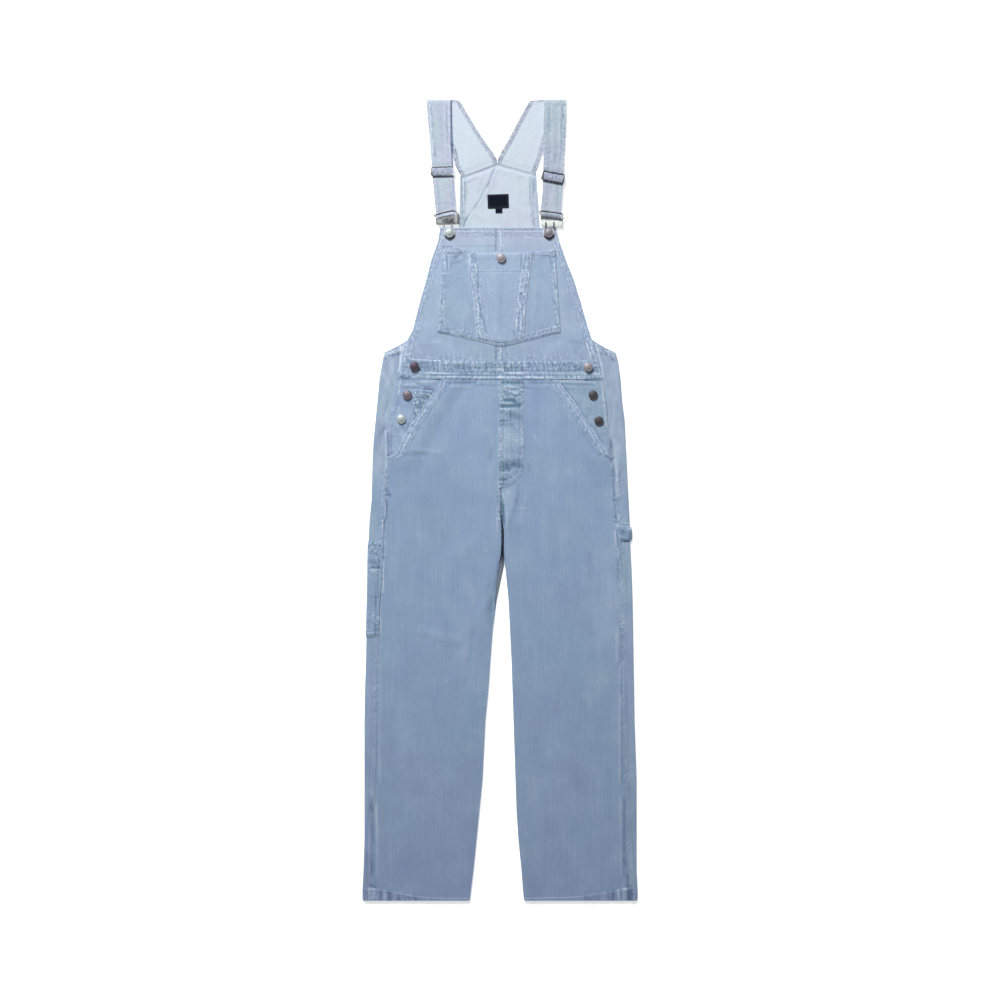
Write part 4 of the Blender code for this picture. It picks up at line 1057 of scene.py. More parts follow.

# %% [markdown]
# ## Front legs
# The fronts are cut nearly straight, with the pocket mouths slanting across their upper corners.
# Laid flat, a washed leg keeps a few soft folds: they are listed in a table, a row for each.
# The mouth band, the hem and the edges along the seams then get their puckers, their wear and their painted
# shading.

# %% Front legs
LEG_FOLDS = {
    "x":      (30, -22, -62, -130, -96, 64, 112, 170, 178, -182, -128, 96, 150, -200, 205, -70),
    "y":      (2, -196, -286, -290, -356, -300, -410, -140, -420, -520, -640, -620, -560, -120, -300, -90),
    "length": (44, 34, 40, 34, 30, 40, 60, 34, 60, 90, 70, 70, 60, 60, 60, 50),
    "width":  (8, 9, 12, 12, 12, 14, 14, 12, 14, 16, 18, 16, 14, 12, 12, 16),
    "turn":   (76, 62, 100, 84, 78, 112, 94, 96, 84, 88, 95, 86, 92, 84, 95, 40),
    "height": (1.5, 1.2, 1.0, 0.8, 0.9, 0.8, 0.9, 0.9, 0.9, 0.9, 0.8, 0.9, 0.8, 0.8, 0.8, 0.8),
}
LEG_MARKS = (
    # The rows (-109, 240) to (-49, 241) and (60, 240) to (118, 241) paint the shadow under the waistband's
    # lower edge.
    (-109, 240, -49, 241, 2.2, -0.6, -0.45), (-48, 236, -6, 234, 2.0, -0.4, -0.28),
    (-100, 233, -60, 232, 3.0, 0.4, 0.14), (-190, 94, -150, 98, 5.0, -0.5, -0.16),
    (-176, 108, -120, 100, 5.0, 0.4, 0.08), (60, 240, 118, 241, 1.8, -0.4, -0.3),
    (30, 233, 62, 229, 1.8, -0.5, -0.4), (60, 232, 100, 234, 3.0, 0.4, 0.1),
    (168, 140, 190, 106, 5.0, -0.5, -0.16), (195, 98, 214, 93, 2.6, -0.5, -0.4),
    (38, 38, 33, 4, 2.2, -1.0, -0.34), (33, 4, 25, -26, 2.0, -0.9, -0.36),
    (24, -26, 22, -66, 2.4, -0.6, -0.2), (16, 20, 14, -46, 4.0, 0.8, 0.12),
    (50, 10, 40, -40, 6.0, 0.7, 0.08), (31, -10, 54, -10, 1.3, 0.4, 0.32), (6, 24, 9, 6, 1.6, 0.4, 0.3),
    (8, -2, 8.5, -36, 1.6, -0.6, -0.45), (-5, 14, -4, -4, 1.2, -0.5, -0.5),
    (-6, -10, -5, -56, 1.4, 0.4, 0.35), (-12, -6, -14, -50, 3.0, 0.3, 0.05),
    (-30, -93, -28, -96, 2.0, 0.3, 0.28), (-23, -170, -19, -216, 6.0, -0.7, -0.14),
    (-30, -166, -14, -190, 7.0, 0.5, 0.04), (-52, -252, -61, -318, 5.0, -0.5, -0.1),
    (-130, -276, -131, -308, 5.0, -0.5, -0.1), (-156, -256, -84, -272, 9.0, 0.5, 0.09),
    (-97, -340, -98, -364, 5.0, -0.4, -0.09), (-232, -118, -239, -190, 1.5, 0.3, 0.3),
    (-239, -190, -241, -264, 1.4, 0.3, 0.34), (178, -102, 182, -154, 6.0, -0.5, -0.1),
    (60, -296, 62, -308, 6.0, -0.4, -0.09), (168, -400, 176, -436, 6.0, -0.5, -0.1),
    (110, -400, 112, -420, 5.0, -0.4, -0.09), (-19, 204, -17, 120, 2.0, 0.3, 0.1),
    (-16, 106, -20, 84, 4.0, -0.4, -0.22), (58, 76, 60, 60, 2.0, -0.5, -0.28),
    (62, 140, 82, 118, 3.0, 0.3, 0.1), (2, 30, 3, -4, 2.0, -0.5, -0.3),
    # The rows at x from -2.4 to 10 near the crotch paint shade into the gap between the legs; the pale ones
    # beside it are painted highlights on the fronts' edges.
    (1.0, 2, 1.6, -9, 1.5, -0.4, -0.8), (5.5, -2, 6.2, -18, 1.3, -0.4, -0.8),
    (1.4, -15, 2.2, -26, 1.4, -0.4, -0.8), (6.6, -22, 8.4, -44, 1.4, -0.4, -0.95),
    (2.4, -32, 2.8, -46, 1.3, -0.4, -0.85), (-2.2, -4, -1.8, -14, 1.0, 0.3, 0.6),
    (-2.0, -24, -1.4, -34, 1.0, 0.3, 0.5), (9.6, 4, 10, -14, 1.4, 0.3, 0.3),
    (-2.4, -118, -5, -142, 2.2, -0.3, -0.45), (4.2, 6, 5.2, -38, 2.2, -0.3, -0.7),
    (-7, -150, -12, -176, 2.2, -0.3, -0.35), (-14, -182, -20, -240, 3.5, -0.2, -0.16),
    (-253, -774, -253, -792, 3.6, 0.3, 0.42), (-237.5, -776, -237, -793, 2.8, -0.4, -0.7),
    (-231, -777, -231, -792, 1.8, 0.3, 0.45), (-221, -779, -220.5, -794, 3.6, -0.4, -1.05),
    (-226, -779, -226, -792, 1.8, 0.3, 0.25), (-214, -781, -214, -792, 2.0, -0.4, -0.1),
    (-201, -783, -201, -794, 2.6, -0.4, -0.5), (-209, -781, -208, -791, 2.0, 0.3, 0.3),
    (-190, -786, -182, -791, 3.6, -0.3, -0.22), (-173, -788, -168, -793, 3.0, -0.3, -0.28),
    (199, -781, 199, -794, 3.0, -0.4, -0.35), (169, -787, 172, -793, 3.2, -0.3, -0.55),
    (182, -785, 183, -793, 3.0, 0.2, -0.3), (208, -781, 208, -793, 3.2, 0.3, 0.32),
    (216, -779, 216, -793, 2.6, -0.3, -0.45), (226, -776, 226, -794, 2.4, -0.4, -1.1),
    (237, -774, 237, -793, 2.8, 0.4, 0.48), (241.8, -773, 242, -794, 1.2, -0.4, -0.55),
    (248, -773, 248, -792, 3.2, 0.4, 0.42), (257, -772, 257, -794, 2.0, -0.4, -0.9))


LEG_PATCHES = (
    (-158, 134, 30, 22, 0.09, 0.0), (-60, 150, 40, 70, 0.03, -0.6), (-95, 215, 30, 18, 0.02, -0.4),
    (-100, 60, 50, 40, -0.02, 0.5), (-25, 110, 14, 60, -0.03, 0.4), (90, 150, 40, 50, 0.0, -0.5),
    (60, 220, 30, 22, 0.02, -0.3), (150, 90, 40, 26, -0.04, 0.0), (70, 80, 24, 34, -0.03, 0.4),
    (-60, 0, 60, 60, 0.0, -0.5), (140, 0, 60, 70, -0.01, 0.0), (17, 22, 8, 14, 0.12, 0.4),
    (18, -20, 9, 40, 0.05, 0.8), (-150, -60, 60, 60, 0.0, 0.4), (60, -60, 30, 60, 0.02, -0.6),
    (-60, -160, 60, 60, 0.0, -0.5), (-180, -200, 50, 80, 0.0, 0.4), (120, -180, 70, 60, 0.0, -0.4),
    (40, -130, 20, 50, 0.0, 0.5), (-14, -190, 12, 60, -0.06, 0.8), (-120, -330, 70, 80, 0.0, -0.5),
    (180, -320, 60, 80, 0.0, 0.4), (-60, -440, 50, 60, 0.0, 0.3), (90, -440, 60, 70, 0.0, -0.4),
    (-170, -500, 60, 70, 0.0, -0.4), (-120, -620, 60, 60, -0.01, -0.5), (-70, -740, 50, 50, -0.02, -0.4),
    (-190, -720, 60, 60, -0.01, -0.4), (120, -600, 60, 60, 0.0, -0.3), (70, -700, 40, 60, 0.0, 0.3),
    (160, -740, 60, 50, -0.01, -0.4), (-119, -15, 85, 62, -0.065, -0.1), (-154, -665, 85, 85, -0.05, 0.1),
    (-165, -787, 95, 11, -0.06, 0.0), (246, -782, 20, 13, 0.0, 1.2), (5, -16, 6, 34, 0.0, 1.2),
    (-119, 196, 24, 26, 0.09, 0.0), (120, 196, 24, 26, 0.07, -0.2), (-38, 75, 24, 30, 0.08, -0.3),
    (-119, 75, 24, 26, -0.06, -0.2), (-159, 15, 24, 28, -0.07, -0.2), (82, -285, 26, 24, -0.07, -0.1))


def make_leg_front(side):
    turn = sign_of(side)
    ys = leg_heights(WAIST_TOP)
    outer, inner = front_edge(side, ys), front_inner(side, ys)
    width = np.abs(inner - outer)
    near, far = 19.0, 12.0
    cols = [outer - turn * near * p for p in np.linspace(0, 1, 15)[:-1]]
    cols += [outer - turn * (near + (width - near - far) * p) for p in np.linspace(0, 1, 52)[:-1]]
    cols += [outer - turn * (width - far + far * p) for p in np.linspace(0, 1, 9)]
    x = np.stack(cols, 1)
    nominal = np.repeat(ys[:, None], x.shape[1], 1)
    look = Surface(x, nominal)
    mouth = [(front_edge(side, v), v) for v in np.linspace(254, 91.5, 40)]
    look.band(mouth[::-turn], BAND_WIDTH["mouth"], lift=0.5, lines=0.46, ropes=0.22, pace=11.0,
              slant=0.4, crinkle=0.75,
              seed=81 + turn, on=smooth((nominal - 88) / 5))
    look.row(seam_path(side, 88, HEM_Y)[::turn], line=0.45, ropes=0.2, pace=12.0, reach=6.0, crinkle=0.5,
             seed=31 + turn, on=smooth((92 - nominal) / 6) * (0.4 + 0.6 * smooth((nominal + 300) / 200)))
    look.row(np.stack((inner, ys), 1), line=0.1, ropes=0.1, pace=13.0, reach=5.0, crinkle=0.15,
             seed=86 + turn, on=smooth((CROTCH_Y + 20 - nominal) / 30))
    look.row([(turn * 2, 40), (turn * 3, -70)], line=0.2, ropes=0.3, pace=9.0, reach=5.0, crinkle=0.8,
             seed=90, on=smooth((50 - nominal) / 10) * smooth((nominal + 60) / 30))
    add_hem(look, side, x, nominal)
    look.marks(LEG_MARKS + SEAM_LINES + SIDE_MARKS[side])
    from_mouth, _ = seam_frame(x, nominal, mouth[::-turn])
    rubbed = smooth(from_mouth / 1.5 + 0.5) * smooth((13 - from_mouth) / 3) * smooth((nominal - 88) / 5)
    look.add(0.0, 0.13 * rubbed)
    look.teal = look.teal - 0.6 * rubbed
    look.patches(LEG_PATCHES + SIDE_PATCHES)
    look.teal = look.teal - 0.30 * smooth((150 - nominal) / 60) * smooth((nominal + 390) / 80)
    waist = bump((nominal - 244) / 7)
    look.add(0.5 * waist * rope(x, 13.0, 88), 0.16 * waist * rope(x, 9.0, 89), 0.4 * waist)
    from_edge = np.minimum(np.abs(x - inner[:, None]), np.abs(x - outer[:, None]))
    soft = folds(x, nominal, LEG_FOLDS) * smooth((70 - nominal) / 60) * smooth(from_edge / 16)
    drift = 0.45 * noise2(x / 60 + nominal / 200, nominal / 120, 72) * smooth((60 - nominal) / 80)
    hips = 0.35 * noise2(x / 34 + nominal / 90, nominal / 42, 71) * smooth((nominal - 20) / 80)
    look.add(0.0, 0.05 * noise2(x / 18, nominal / 60, 74) + 0.03 * soft)
    seat = bump(np.abs(x - inner[:, None]) / 3.0) * smooth((10 - nominal) / 30) * smooth((nominal + 200) / 60)
    look.add(-0.4 * seat, -0.15 * seat)
    under = front_base(x, nominal) - inseam_dip(side, x, nominal) + soft + drift + 0.4 * hips
    lay_flat("leg_front_" + side, look, under, DENIM, ["leg_back_" + side])


for side in SIDES:
    make_leg_front(side)

# %% [markdown]
# ## Fly
# The fly closes to the wearer's left. Folding the garment has pressed short creases across it,
# and its shaped row of stitches turns in at the lower end.

# %% Fly
FLY_TOP, FLY_END, FLY_TURN = 246.0, 31.5, 78.0
FLY_LEFT, FLY_WIDTH = -3.0, 51.0
FLY_MARKS = (
    (6, 241, 56, 241, 2.6, -1.0, -0.85), (11, 233, 29, 233, 1.8, 0.8, 0.35),
    (26, 227, 48, 231, 1.7, -0.7, -0.55), (9, 222, 17, 213, 1.8, -0.7, -0.5),
    (17, 219, 30, 213, 1.8, -0.6, -0.5), (20, 223, 35, 219, 1.6, 0.7, 0.45),
    (30, 213, 42, 217, 1.8, -0.7, -0.55), (9, 206, 28, 206, 2.6, -1.0, -1.05),
    (27, 204, 39, 197, 2.6, -0.8, -0.9), (2, 202, 18, 199, 1.8, 0.7, 0.45),
    (2, 193, 39, 195, 2.6, -1.0, -1.05), (1, 188, 26, 187, 2.0, 0.8, 0.45),
    (20.5, 184, 20.5, 165, 1.5, -0.5, -0.65), (22, 180, 42, 168, 7.0, -0.6, -0.34),
    (2, 180, 17, 174, 5.0, -0.4, -0.22), (0, 164.5, 15, 164.5, 2.0, -0.9, -0.75),
    (1, 157, 25, 155, 5.0, -0.6, -0.34), (2, 146, 42, 118, 9.0, 0.6, 0.12),
    (41, 112, 48, 112, 1.6, -0.4, -0.45), (18, 104, 42, 99, 4.0, -0.3, -0.14),
    (20, 85, 42, 87, 2.4, -0.4, -0.25), (1, 77, 42, 79, 5.0, -1.0, -0.72),
    (0, 68, 17, 67, 5.0, -0.8, -0.62), (20, 72, 44, 71, 2.6, -0.6, -0.35), (6, 60, 20, 60, 1.8, 0.6, 0.3),
    (-1, 46, 12, 47, 2.4, -0.9, -1.05), (12, 48, 22, 51, 2.0, -0.6, -0.35),
    (1, 38, 20, 34, 3.0, -0.6, -0.35), (18, 184, 18, 70, 1.1, 0.3, 0.25))


# Painted highlights on the fly's raised left and right edges.
FLY_EDGES = ((-2.4, 172, -2.4, 24, 1.0, 0.2, 0.45), (45.6, 140, 45.6, 76, 1.0, 0.2, 0.25))
FLY_PATCHES = (
    (8, 117.5, 9, 34, 0.2, 0.6), (33, 129.5, 13, 16, 0.16, 0.5), (29, 173.5, 12, 8, -0.22, -0.3),
    (29, 101.5, 12, 8, 0.02, -0.6), (23, 73.5, 22, 8, -0.18, 0.4), (20, 186, 18, 4, 0.2, 0.2),
    (20, 225, 26, 16, 0.06, 0.4), (8, 50, 10, 12, -0.06, 0.2), (21, 150, 27, 52, 0.05, 0.7),
    (21, 95, 26, 34, 0.02, 0.4), (20, 212, 32, 34, 0.0, 0.9), (22, 176, 26, 14, 0.0, 0.4))


def fly_edge(ys):
    """The right edge: straight, then turning in to the centre line."""
    turned = np.maximum(FLY_TURN - ys, 0) / (FLY_TURN - FLY_END + 2)
    return FLY_LEFT + FLY_WIDTH * np.maximum(np.sqrt(np.clip(1 - turned ** 2, 0, 1)), 0.16)


def make_fly():
    ys = places((FLY_TOP, FLY_END, 1.6))
    right = fly_edge(ys)
    x, y = grid_between(ys, np.full(len(ys), FLY_LEFT), right, np.linspace(0, 1, 38))
    look = Surface(x, y)
    look.band([(FLY_LEFT, FLY_TOP), (FLY_LEFT, FLY_END)], BAND_WIDTH["fly"], lines=0.65, ropes=0.2,
              pace=10.0, seed=91)
    look.band(np.stack((right, ys), 1)[::-1], BAND_WIDTH["fly"], lift=0.0, lines=0.5, ropes=0.15,
              crinkle=0.5, seed=92, on=smooth((y - 55) / 20))
    look.marks(FLY_MARKS + FLY_EDGES)
    look.patches(FLY_PATCHES)
    strong = bump((y - 216) / 24) + bump((y - 72) / 20)
    look.add(0.5 * noise2(x / 11, y / 4.5, 94) * strong, 0.16 * noise2(x / 11, y / 4.5, 94) * strong - 0.01,
             0.3 + 0.5 * strong)
    from_right = right[:, None] - x
    under = rest_on(["leg_front_right", "leg_front_left"], x, y, front_base(x, y) + DENIM + 0.35, gap=0.06)
    turned = smooth((76 - y) / 14) * (1 - smooth(from_right / 14))
    look.height = look.height * (1 - turned)
    look.wear = look.wear * (1 - 0.8 * turned)
    thick = 0.9 * thinned(x, y, from_right, 95, reach=7.0) * (1 - 0.8 * turned)
    lay_flat("fly", look, under, thick, ["leg_front_left"], wash=0.10)


make_fly()

# %% [markdown]
# ## Bib
# The bib is two halves joined in a felled centre seam, with a turned hem at the top and stitched
# sides. Its pointed pocket lies on it, and a middle part between two slanted rows of stitches lies
# on the pocket. The wash has puckered every one of these edges.

# %% Bib front
BIB_FOLDS = {
    "x":      (-150, -140, 150, 158, -60, 70, -20, 40, -160, 160),
    "y":      (420, 350, 400, 350, 310, 312, 318, 322, 322, 326),
    "length": (40, 26, 34, 24, 30, 26, 20, 18, 18, 18),
    "width":  (7, 6, 7, 6, 8, 7, 6, 6, 4, 4),
    "turn":   (70, 60, 112, 118, 10, 168, 40, 130, 30, 150),
    "height": (0.5, 0.4, 0.5, 0.4, 0.4, 0.4, 0.3, 0.3, 0.5, 0.5),
}
BIB_PATCHES = ((50, 522, 44, 14, -0.03, 0.6),)
BIB_MARKS = (
    # The first row paints the shadow of the pocket's gaping corner on the bib.
    (-114, 511, -96, 512, 2.0, -0.6, -0.8), (-94, 546, -60, 546, 1.6, -0.4, -0.4),
    (4, 546, 80, 546, 1.5, -0.3, -0.32), (-30, 536, -12, 536, 1.6, -0.4, -0.4),
    (1, 540, 3, 515, 4.0, 0.3, 0.28), (-7.8, 549, -7.8, 505, 1.2, -0.6, -0.75),
    (50, 532, 66, 530, 1.6, 0.3, 0.28), (-78, 513, -10, 513, 1.6, -0.3, -0.16),
    (-7.6, 314, -7.6, 284, 1.3, -0.6, -0.6), (2, 312, 3, 290, 3.0, 0.3, 0.25),
    (-150, 318, -120, 322, 4.0, 0.4, 0.1), (110, 330, 160, 318, 5.0, -0.4, -0.1),
    (-176, 330, -160, 300, 4.0, 0.5, 0.16), (150, 300, 172, 330, 4.0, -0.5, -0.14),
    (-183, 322, -189, 296, 1.6, 0.5, 0.75), (-176, 318, -181, 292, 1.4, 0.4, 0.5),
    (-187, 312, -190, 300, 1.2, -0.4, -0.5), (181, 324, 189, 296, 1.7, 0.5, 0.75),
    (174, 320, 180, 294, 1.4, 0.4, 0.5), (186, 316, 190, 300, 1.2, -0.4, -0.5))


def make_bib_front(side):
    turn = sign_of(side)
    ys = places((BIB_TOP_Y, 505, 1.5), (505, 340, 3.0), (340, BIB_BOTTOM_Y, 2.2))
    outer = bib_edge(side, ys)
    width = np.abs(outer - (BIB_SEAM_X + turn * GAP / 2))
    cols = [outer - turn * 16 * p for p in np.linspace(0, 1, 12)[:-1]]
    cols += [outer - turn * (16 + (width - 16 - 14) * p) for p in np.linspace(0, 1, 40)[:-1]]
    cols += [outer - turn * (width - 14 + 14 * p) for p in np.linspace(0, 1, 11)]
    x = np.stack(cols, 1)
    y = np.repeat(ys[:, None], x.shape[1], 1)
    look = Surface(x, y)
    look.band(np.stack((outer, ys), 1)[::-turn], BAND_WIDTH["bib_side"], lines=0.45, ropes=0.2, pace=11.0,
              crinkle=0.7, seed=101 + turn)
    look.band([(118.0, BIB_TOP_Y), (-125.0, BIB_TOP_Y)], BAND_WIDTH["bib_top"], lines=0.45, ropes=0.25,
              pace=10.0, crinkle=0.45, seed=103)
    look.band([(BIB_SEAM_X, 560.0), (BIB_SEAM_X, 250.0)], BAND_WIDTH["bib_seam"], lines=0.40, ropes=0.15,
              pace=9.0, crinkle=0.5, seed=105)
    look.marks(BIB_MARKS)
    soft = folds(x, y, BIB_FOLDS) + 0.3 * noise2(x / 22 + y / 60, y / 30, 107)
    waist = bump((y - 290) / 8)
    look.add(0.35 * soft + 0.6 * waist * rope(x, 11.0, 108),
             0.12 * soft + 0.26 * waist * rope(x, 11.0, 108) + 0.05 * noise2(x / 8, y / 20, 110)
             + 0.08 * smooth((y - 325) / 30), 0.5 * waist)
    look.teal = look.teal - 0.55 * smooth((y - 500) / 20)
    look.patches(BIB_PATCHES)
    under = bib_base(x, y) + 0.3 * np.maximum(soft, 0) * smooth((560 - y) / 30)
    wash = 0.24 + 0.34 * smooth((y - 490) / 40)
    lay_flat("bib_front_" + side, look, under, DENIM, ["bib_back"], wash=wash)


for side in SIDES:
    make_bib_front(side)


# %% Bib pocket
POCKET_TOP = {"across": (0, 0.15, 0.3, 0.75, 1), "y": (511, 511.5, 501, 501, 507)}
POCKET_POINT = {"across": (0, 0.31, 0.52, 0.7, 1), "y": (341.5, 325.5, 312.3, 322.3, 341.5)}
POCKET_WIDTH, POCKET_DEPTH = 236, 170    # for the distance of a point from the pocket's edges
POCKET_PATCHES = ((84, 400, 40, 80, 0.07, 0.0),)
POCKET_MARKS = (
    (-112, 505, -112, 490, 1.2, 0.4, 0.7), (-109, 481, -109, 466, 1.2, 0.4, 0.65),
    (-106, 495, -106, 468, 1.2, -0.4, -0.5), (-102, 495, -102, 469, 1.2, 0.3, 0.4),
    (-116, 434, -105, 433, 1.1, -0.3, -0.5), (-117, 459, -101, 459, 1.0, 0.3, 0.4),
    (-120, 422, -119, 408, 1.2, 0.4, 0.55), (-116, 405, -115, 394, 1.4, -0.4, -0.5),
    (-112, 405, -112, 391, 1.2, 0.4, 0.6), (-112, 378, -112, 365, 1.2, 0.4, 0.55),
    (-123, 362, -116, 361, 1.4, -0.4, -0.6), (-125, 355, -113, 353, 1.3, -0.4, -0.45),
    # The dark rows that follow the pointed foot, from (-125, 343) round to (119, 341), paint the shade under
    # the pocket's lower edge.
    (-121, 351, -120, 349, 1.5, 0.4, 0.7), (-125, 343, -103, 338, 1.7, -0.4, -0.7),
    (-96, 335, -78, 329, 1.3, -0.2, -0.25), (-45, 320, -22, 317, 1.4, -0.3, -0.35),
    (-12, 312.5, 10, 312.5, 1.7, -0.4, -0.75), (-9, 322, 12, 323, 1.6, -0.4, -0.6),
    (14, 314, 30, 318, 1.5, -0.3, -0.5), (40, 320, 68, 328, 1.4, -0.3, -0.4),
    (80, 332, 119, 341, 1.4, -0.3, -0.45), (-95, 344, -94, 342, 1.8, 0.4, 0.65),
    (-105, 349, -103, 347, 1.8, -0.4, -0.5), (-73, 334, -70, 333, 1.8, -0.3, -0.45),
    (-59, 340, -57, 339, 1.8, -0.3, -0.45), (-79, 500, -89, 490, 2.4, -0.6, -0.55),
    (-89, 480, -79, 482, 2.4, -0.6, -0.5), (-95, 482, -99, 470, 2.2, -0.4, -0.32),
    (-109, 495, -84, 496, 1.5, 0.4, 0.3), (-105, 503, -88, 502, 3.0, 0.5, 0.14),
    (66, 511, 66.6, 493, 1.2, -0.4, -0.55), (67, 495, 99, 494, 1.2, -0.3, -0.45),
    (70, 506, 100, 504, 2.6, 0.4, 0.22), (104, 505, 104.4, 470, 1.2, -0.4, -0.45),
    (100, 495, 101, 482, 1.4, -0.3, -0.4), (108.6, 479, 109, 465, 1.3, 0.4, 0.7),
    (111, 505, 113, 485, 1.3, -0.4, -0.5), (112, 448, 112, 442, 1.4, 0.3, 0.5),
    (110, 436, 111, 430, 1.4, -0.3, -0.5), (113, 425, 113, 405, 1.2, 0.3, 0.45),
    (109, 405, 110, 396, 1.6, -0.4, -0.5), (115, 372, 116, 362, 1.5, 0.4, 0.5),
    (112, 358, 116, 356, 2.0, -0.4, -0.5), (108, 353, 109, 350, 1.8, 0.4, 0.75),
    (-60, 440, -62, 380, 7.0, 0.4, 0.06), (80, 430, 84, 380, 8.0, -0.3, -0.05))


def pocket_places(down, across):
    top = np.interp(across, POCKET_TOP["across"], POCKET_TOP["y"])
    bottom = np.interp(across, POCKET_POINT["across"], POCKET_POINT["y"])
    right = np.interp(down, (0, 0.65, 1), (-113, -121, -125))
    left = np.interp(down, (0, 1), (111, 121))
    return right + (left - right) * across, top + (bottom - top) * down


def pocket_rims():
    """The pocket's right, left, lower and upper edge, each with the pocket on its left, and band width."""
    steps, start, end = np.linspace(0, 1, 30), np.zeros(30), np.ones(30)
    side, foot, top = (BAND_WIDTH["pocket_" + name] for name in ("side", "foot", "top"))
    return ((np.stack(pocket_places(steps, start), 1), side),
            (np.stack(pocket_places(steps, end), 1)[::-1], side),
            (np.stack(pocket_places(end, steps), 1), foot),
            (np.stack(pocket_places(start, steps), 1)[::-1], top))


def make_bib_pocket():
    down = places((0, 0.12, 0.008), (0.12, 0.84, 0.014), (0.84, 1, 0.008))
    across = places((0, 0.07, 0.0055), (0.07, 0.93, 0.011), (0.93, 1, 0.0055))
    downs, acrosses = np.meshgrid(down, across, indexing="ij")
    x, y = pocket_places(downs, acrosses)
    look = Surface(x, y)
    right, left, foot, top = pocket_rims()
    look.band(*right, lines=0.45, ropes=0.15, crinkle=0.8, seed=121)
    look.band(*left, lines=0.45, ropes=0.15, crinkle=0.8, seed=122)
    look.band(*foot, lines=0.28, ropes=0.35, pace=7.0, crinkle=0.9, seed=123)
    look.band(*top, lines=0.4, ropes=0.15, pace=10.0, crinkle=0.7, seed=124)
    look.row([(98, 459), (114, 459)], line=0.4, seed=126)
    look.marks(POCKET_MARKS)
    soft = 0.5 * noise2(x / 24, y / 34, 127) + 0.25 * noise2(x / 10, y / 12, 128)
    look.add(0.45 * soft, 0.08 * soft + 0.05 * noise2(x / 7, y / 12, 129) - 0.03, 0.12)
    look.patches(POCKET_PATCHES)
    edge = np.minimum(np.minimum(acrosses, 1 - acrosses) * POCKET_WIDTH,
                      np.minimum(downs, 1 - downs) * POCKET_DEPTH)
    gape = 1.0 * bump((x + 92) / 14) * smooth((y - 490) / 20)
    halves = ["bib_front_right", "bib_front_left"]
    under = rest_on(halves, x, y, bib_top(x, y) + 0.3) + gape
    near_foot = np.clip(1 - (1 - downs) * POCKET_DEPTH / 6, 0, 1)
    thick = 0.9 * thinned(x, y, edge, 130, reach=4.0) * (1 - 0.35 * near_foot)
    lay_flat("bib_pocket", look, under, thick, halves, wash=0.20 + 0.25 * smooth((y - 480) / 40))


CENTRE_TOP, CENTRE_FOOT = 500.5, 328.0   # where the slanted rows of stitches start and end
CROSS_ROW_Y = 463.5
CENTRE_MARKS = (
    (-70, 499, -66, 468, 1.3, -0.4, -0.45), (-65, 500, -63, 480, 1.4, 0.3, 0.35),
    (-53, 500, -50, 480, 3.0, -0.5, -0.45), (-60, 490, -59, 458, 1.3, 0.4, 0.4),
    (-50, 480, -48, 456, 1.3, 0.4, 0.6), (-46, 462, -43, 430, 1.3, -0.4, -0.6),
    (-57, 456, -56, 436, 1.3, 0.4, 0.45), (-61, 466, -59, 442, 1.2, -0.3, -0.45),
    (-49, 419, -45, 413, 1.8, 0.4, 0.65), (-47, 426, -43, 406, 1.2, -0.3, -0.5),
    (-41, 400, -37, 370, 1.3, -0.4, -0.75), (-43, 398, -41, 382, 1.3, 0.4, 0.6),
    (-51, 406, -50, 382, 1.2, 0.3, 0.45), (-33, 370, -28, 342, 1.5, -0.4, -0.55),
    (-45, 370, -43, 342, 1.2, 0.3, 0.4), (-38, 366, -35, 340, 1.2, 0.3, 0.45),
    (47, 464, 47.4, 446, 1.3, 0.4, 0.55), (57, 464, 57.4, 452, 1.3, 0.4, 0.6),
    (43, 438, 43.4, 426, 1.4, 0.4, 0.75), (49, 418, 51, 416, 2.0, 0.5, 0.9),
    (42, 419, 46, 412, 1.6, -0.5, -0.65), (39.4, 400, 40, 392, 1.5, 0.5, 0.9),
    (47.6, 400, 48, 390, 1.3, 0.4, 0.6), (44, 406, 44.4, 386, 1.2, -0.4, -0.55),
    (47.8, 386, 48, 374, 1.3, 0.4, 0.7), (33.6, 370, 34.2, 352, 1.3, 0.4, 0.75),
    (42, 362, 42.4, 346, 1.2, 0.4, 0.55), (38, 370, 39, 342, 1.2, -0.3, -0.4),
    (28, 344, 30, 330, 1.5, -0.5, -0.6), (34, 350, 35, 326, 1.3, -0.4, -0.55),
    (43, 498, 44, 470, 3.0, -0.4, -0.35), (52, 496, 52.6, 478, 1.3, -0.3, -0.35),
    (58, 503, 58.6, 474, 1.2, -0.3, -0.35), (2, 436, 3, 344, 3.0, -0.3, -0.1),
    (-33, 500, 60, 500, 1.4, 0.3, 0.35))


def centre_sides(down):
    return (np.interp(down, (0, 0.22, 0.34, 0.46, 0.68, 0.9, 1), (-71, -63, -61, -56, -53, -48, -47)),
            np.interp(down, (0, 0.26, 0.49, 0.67, 0.9, 1), (64, 59, 54, 51, 49, 47)))


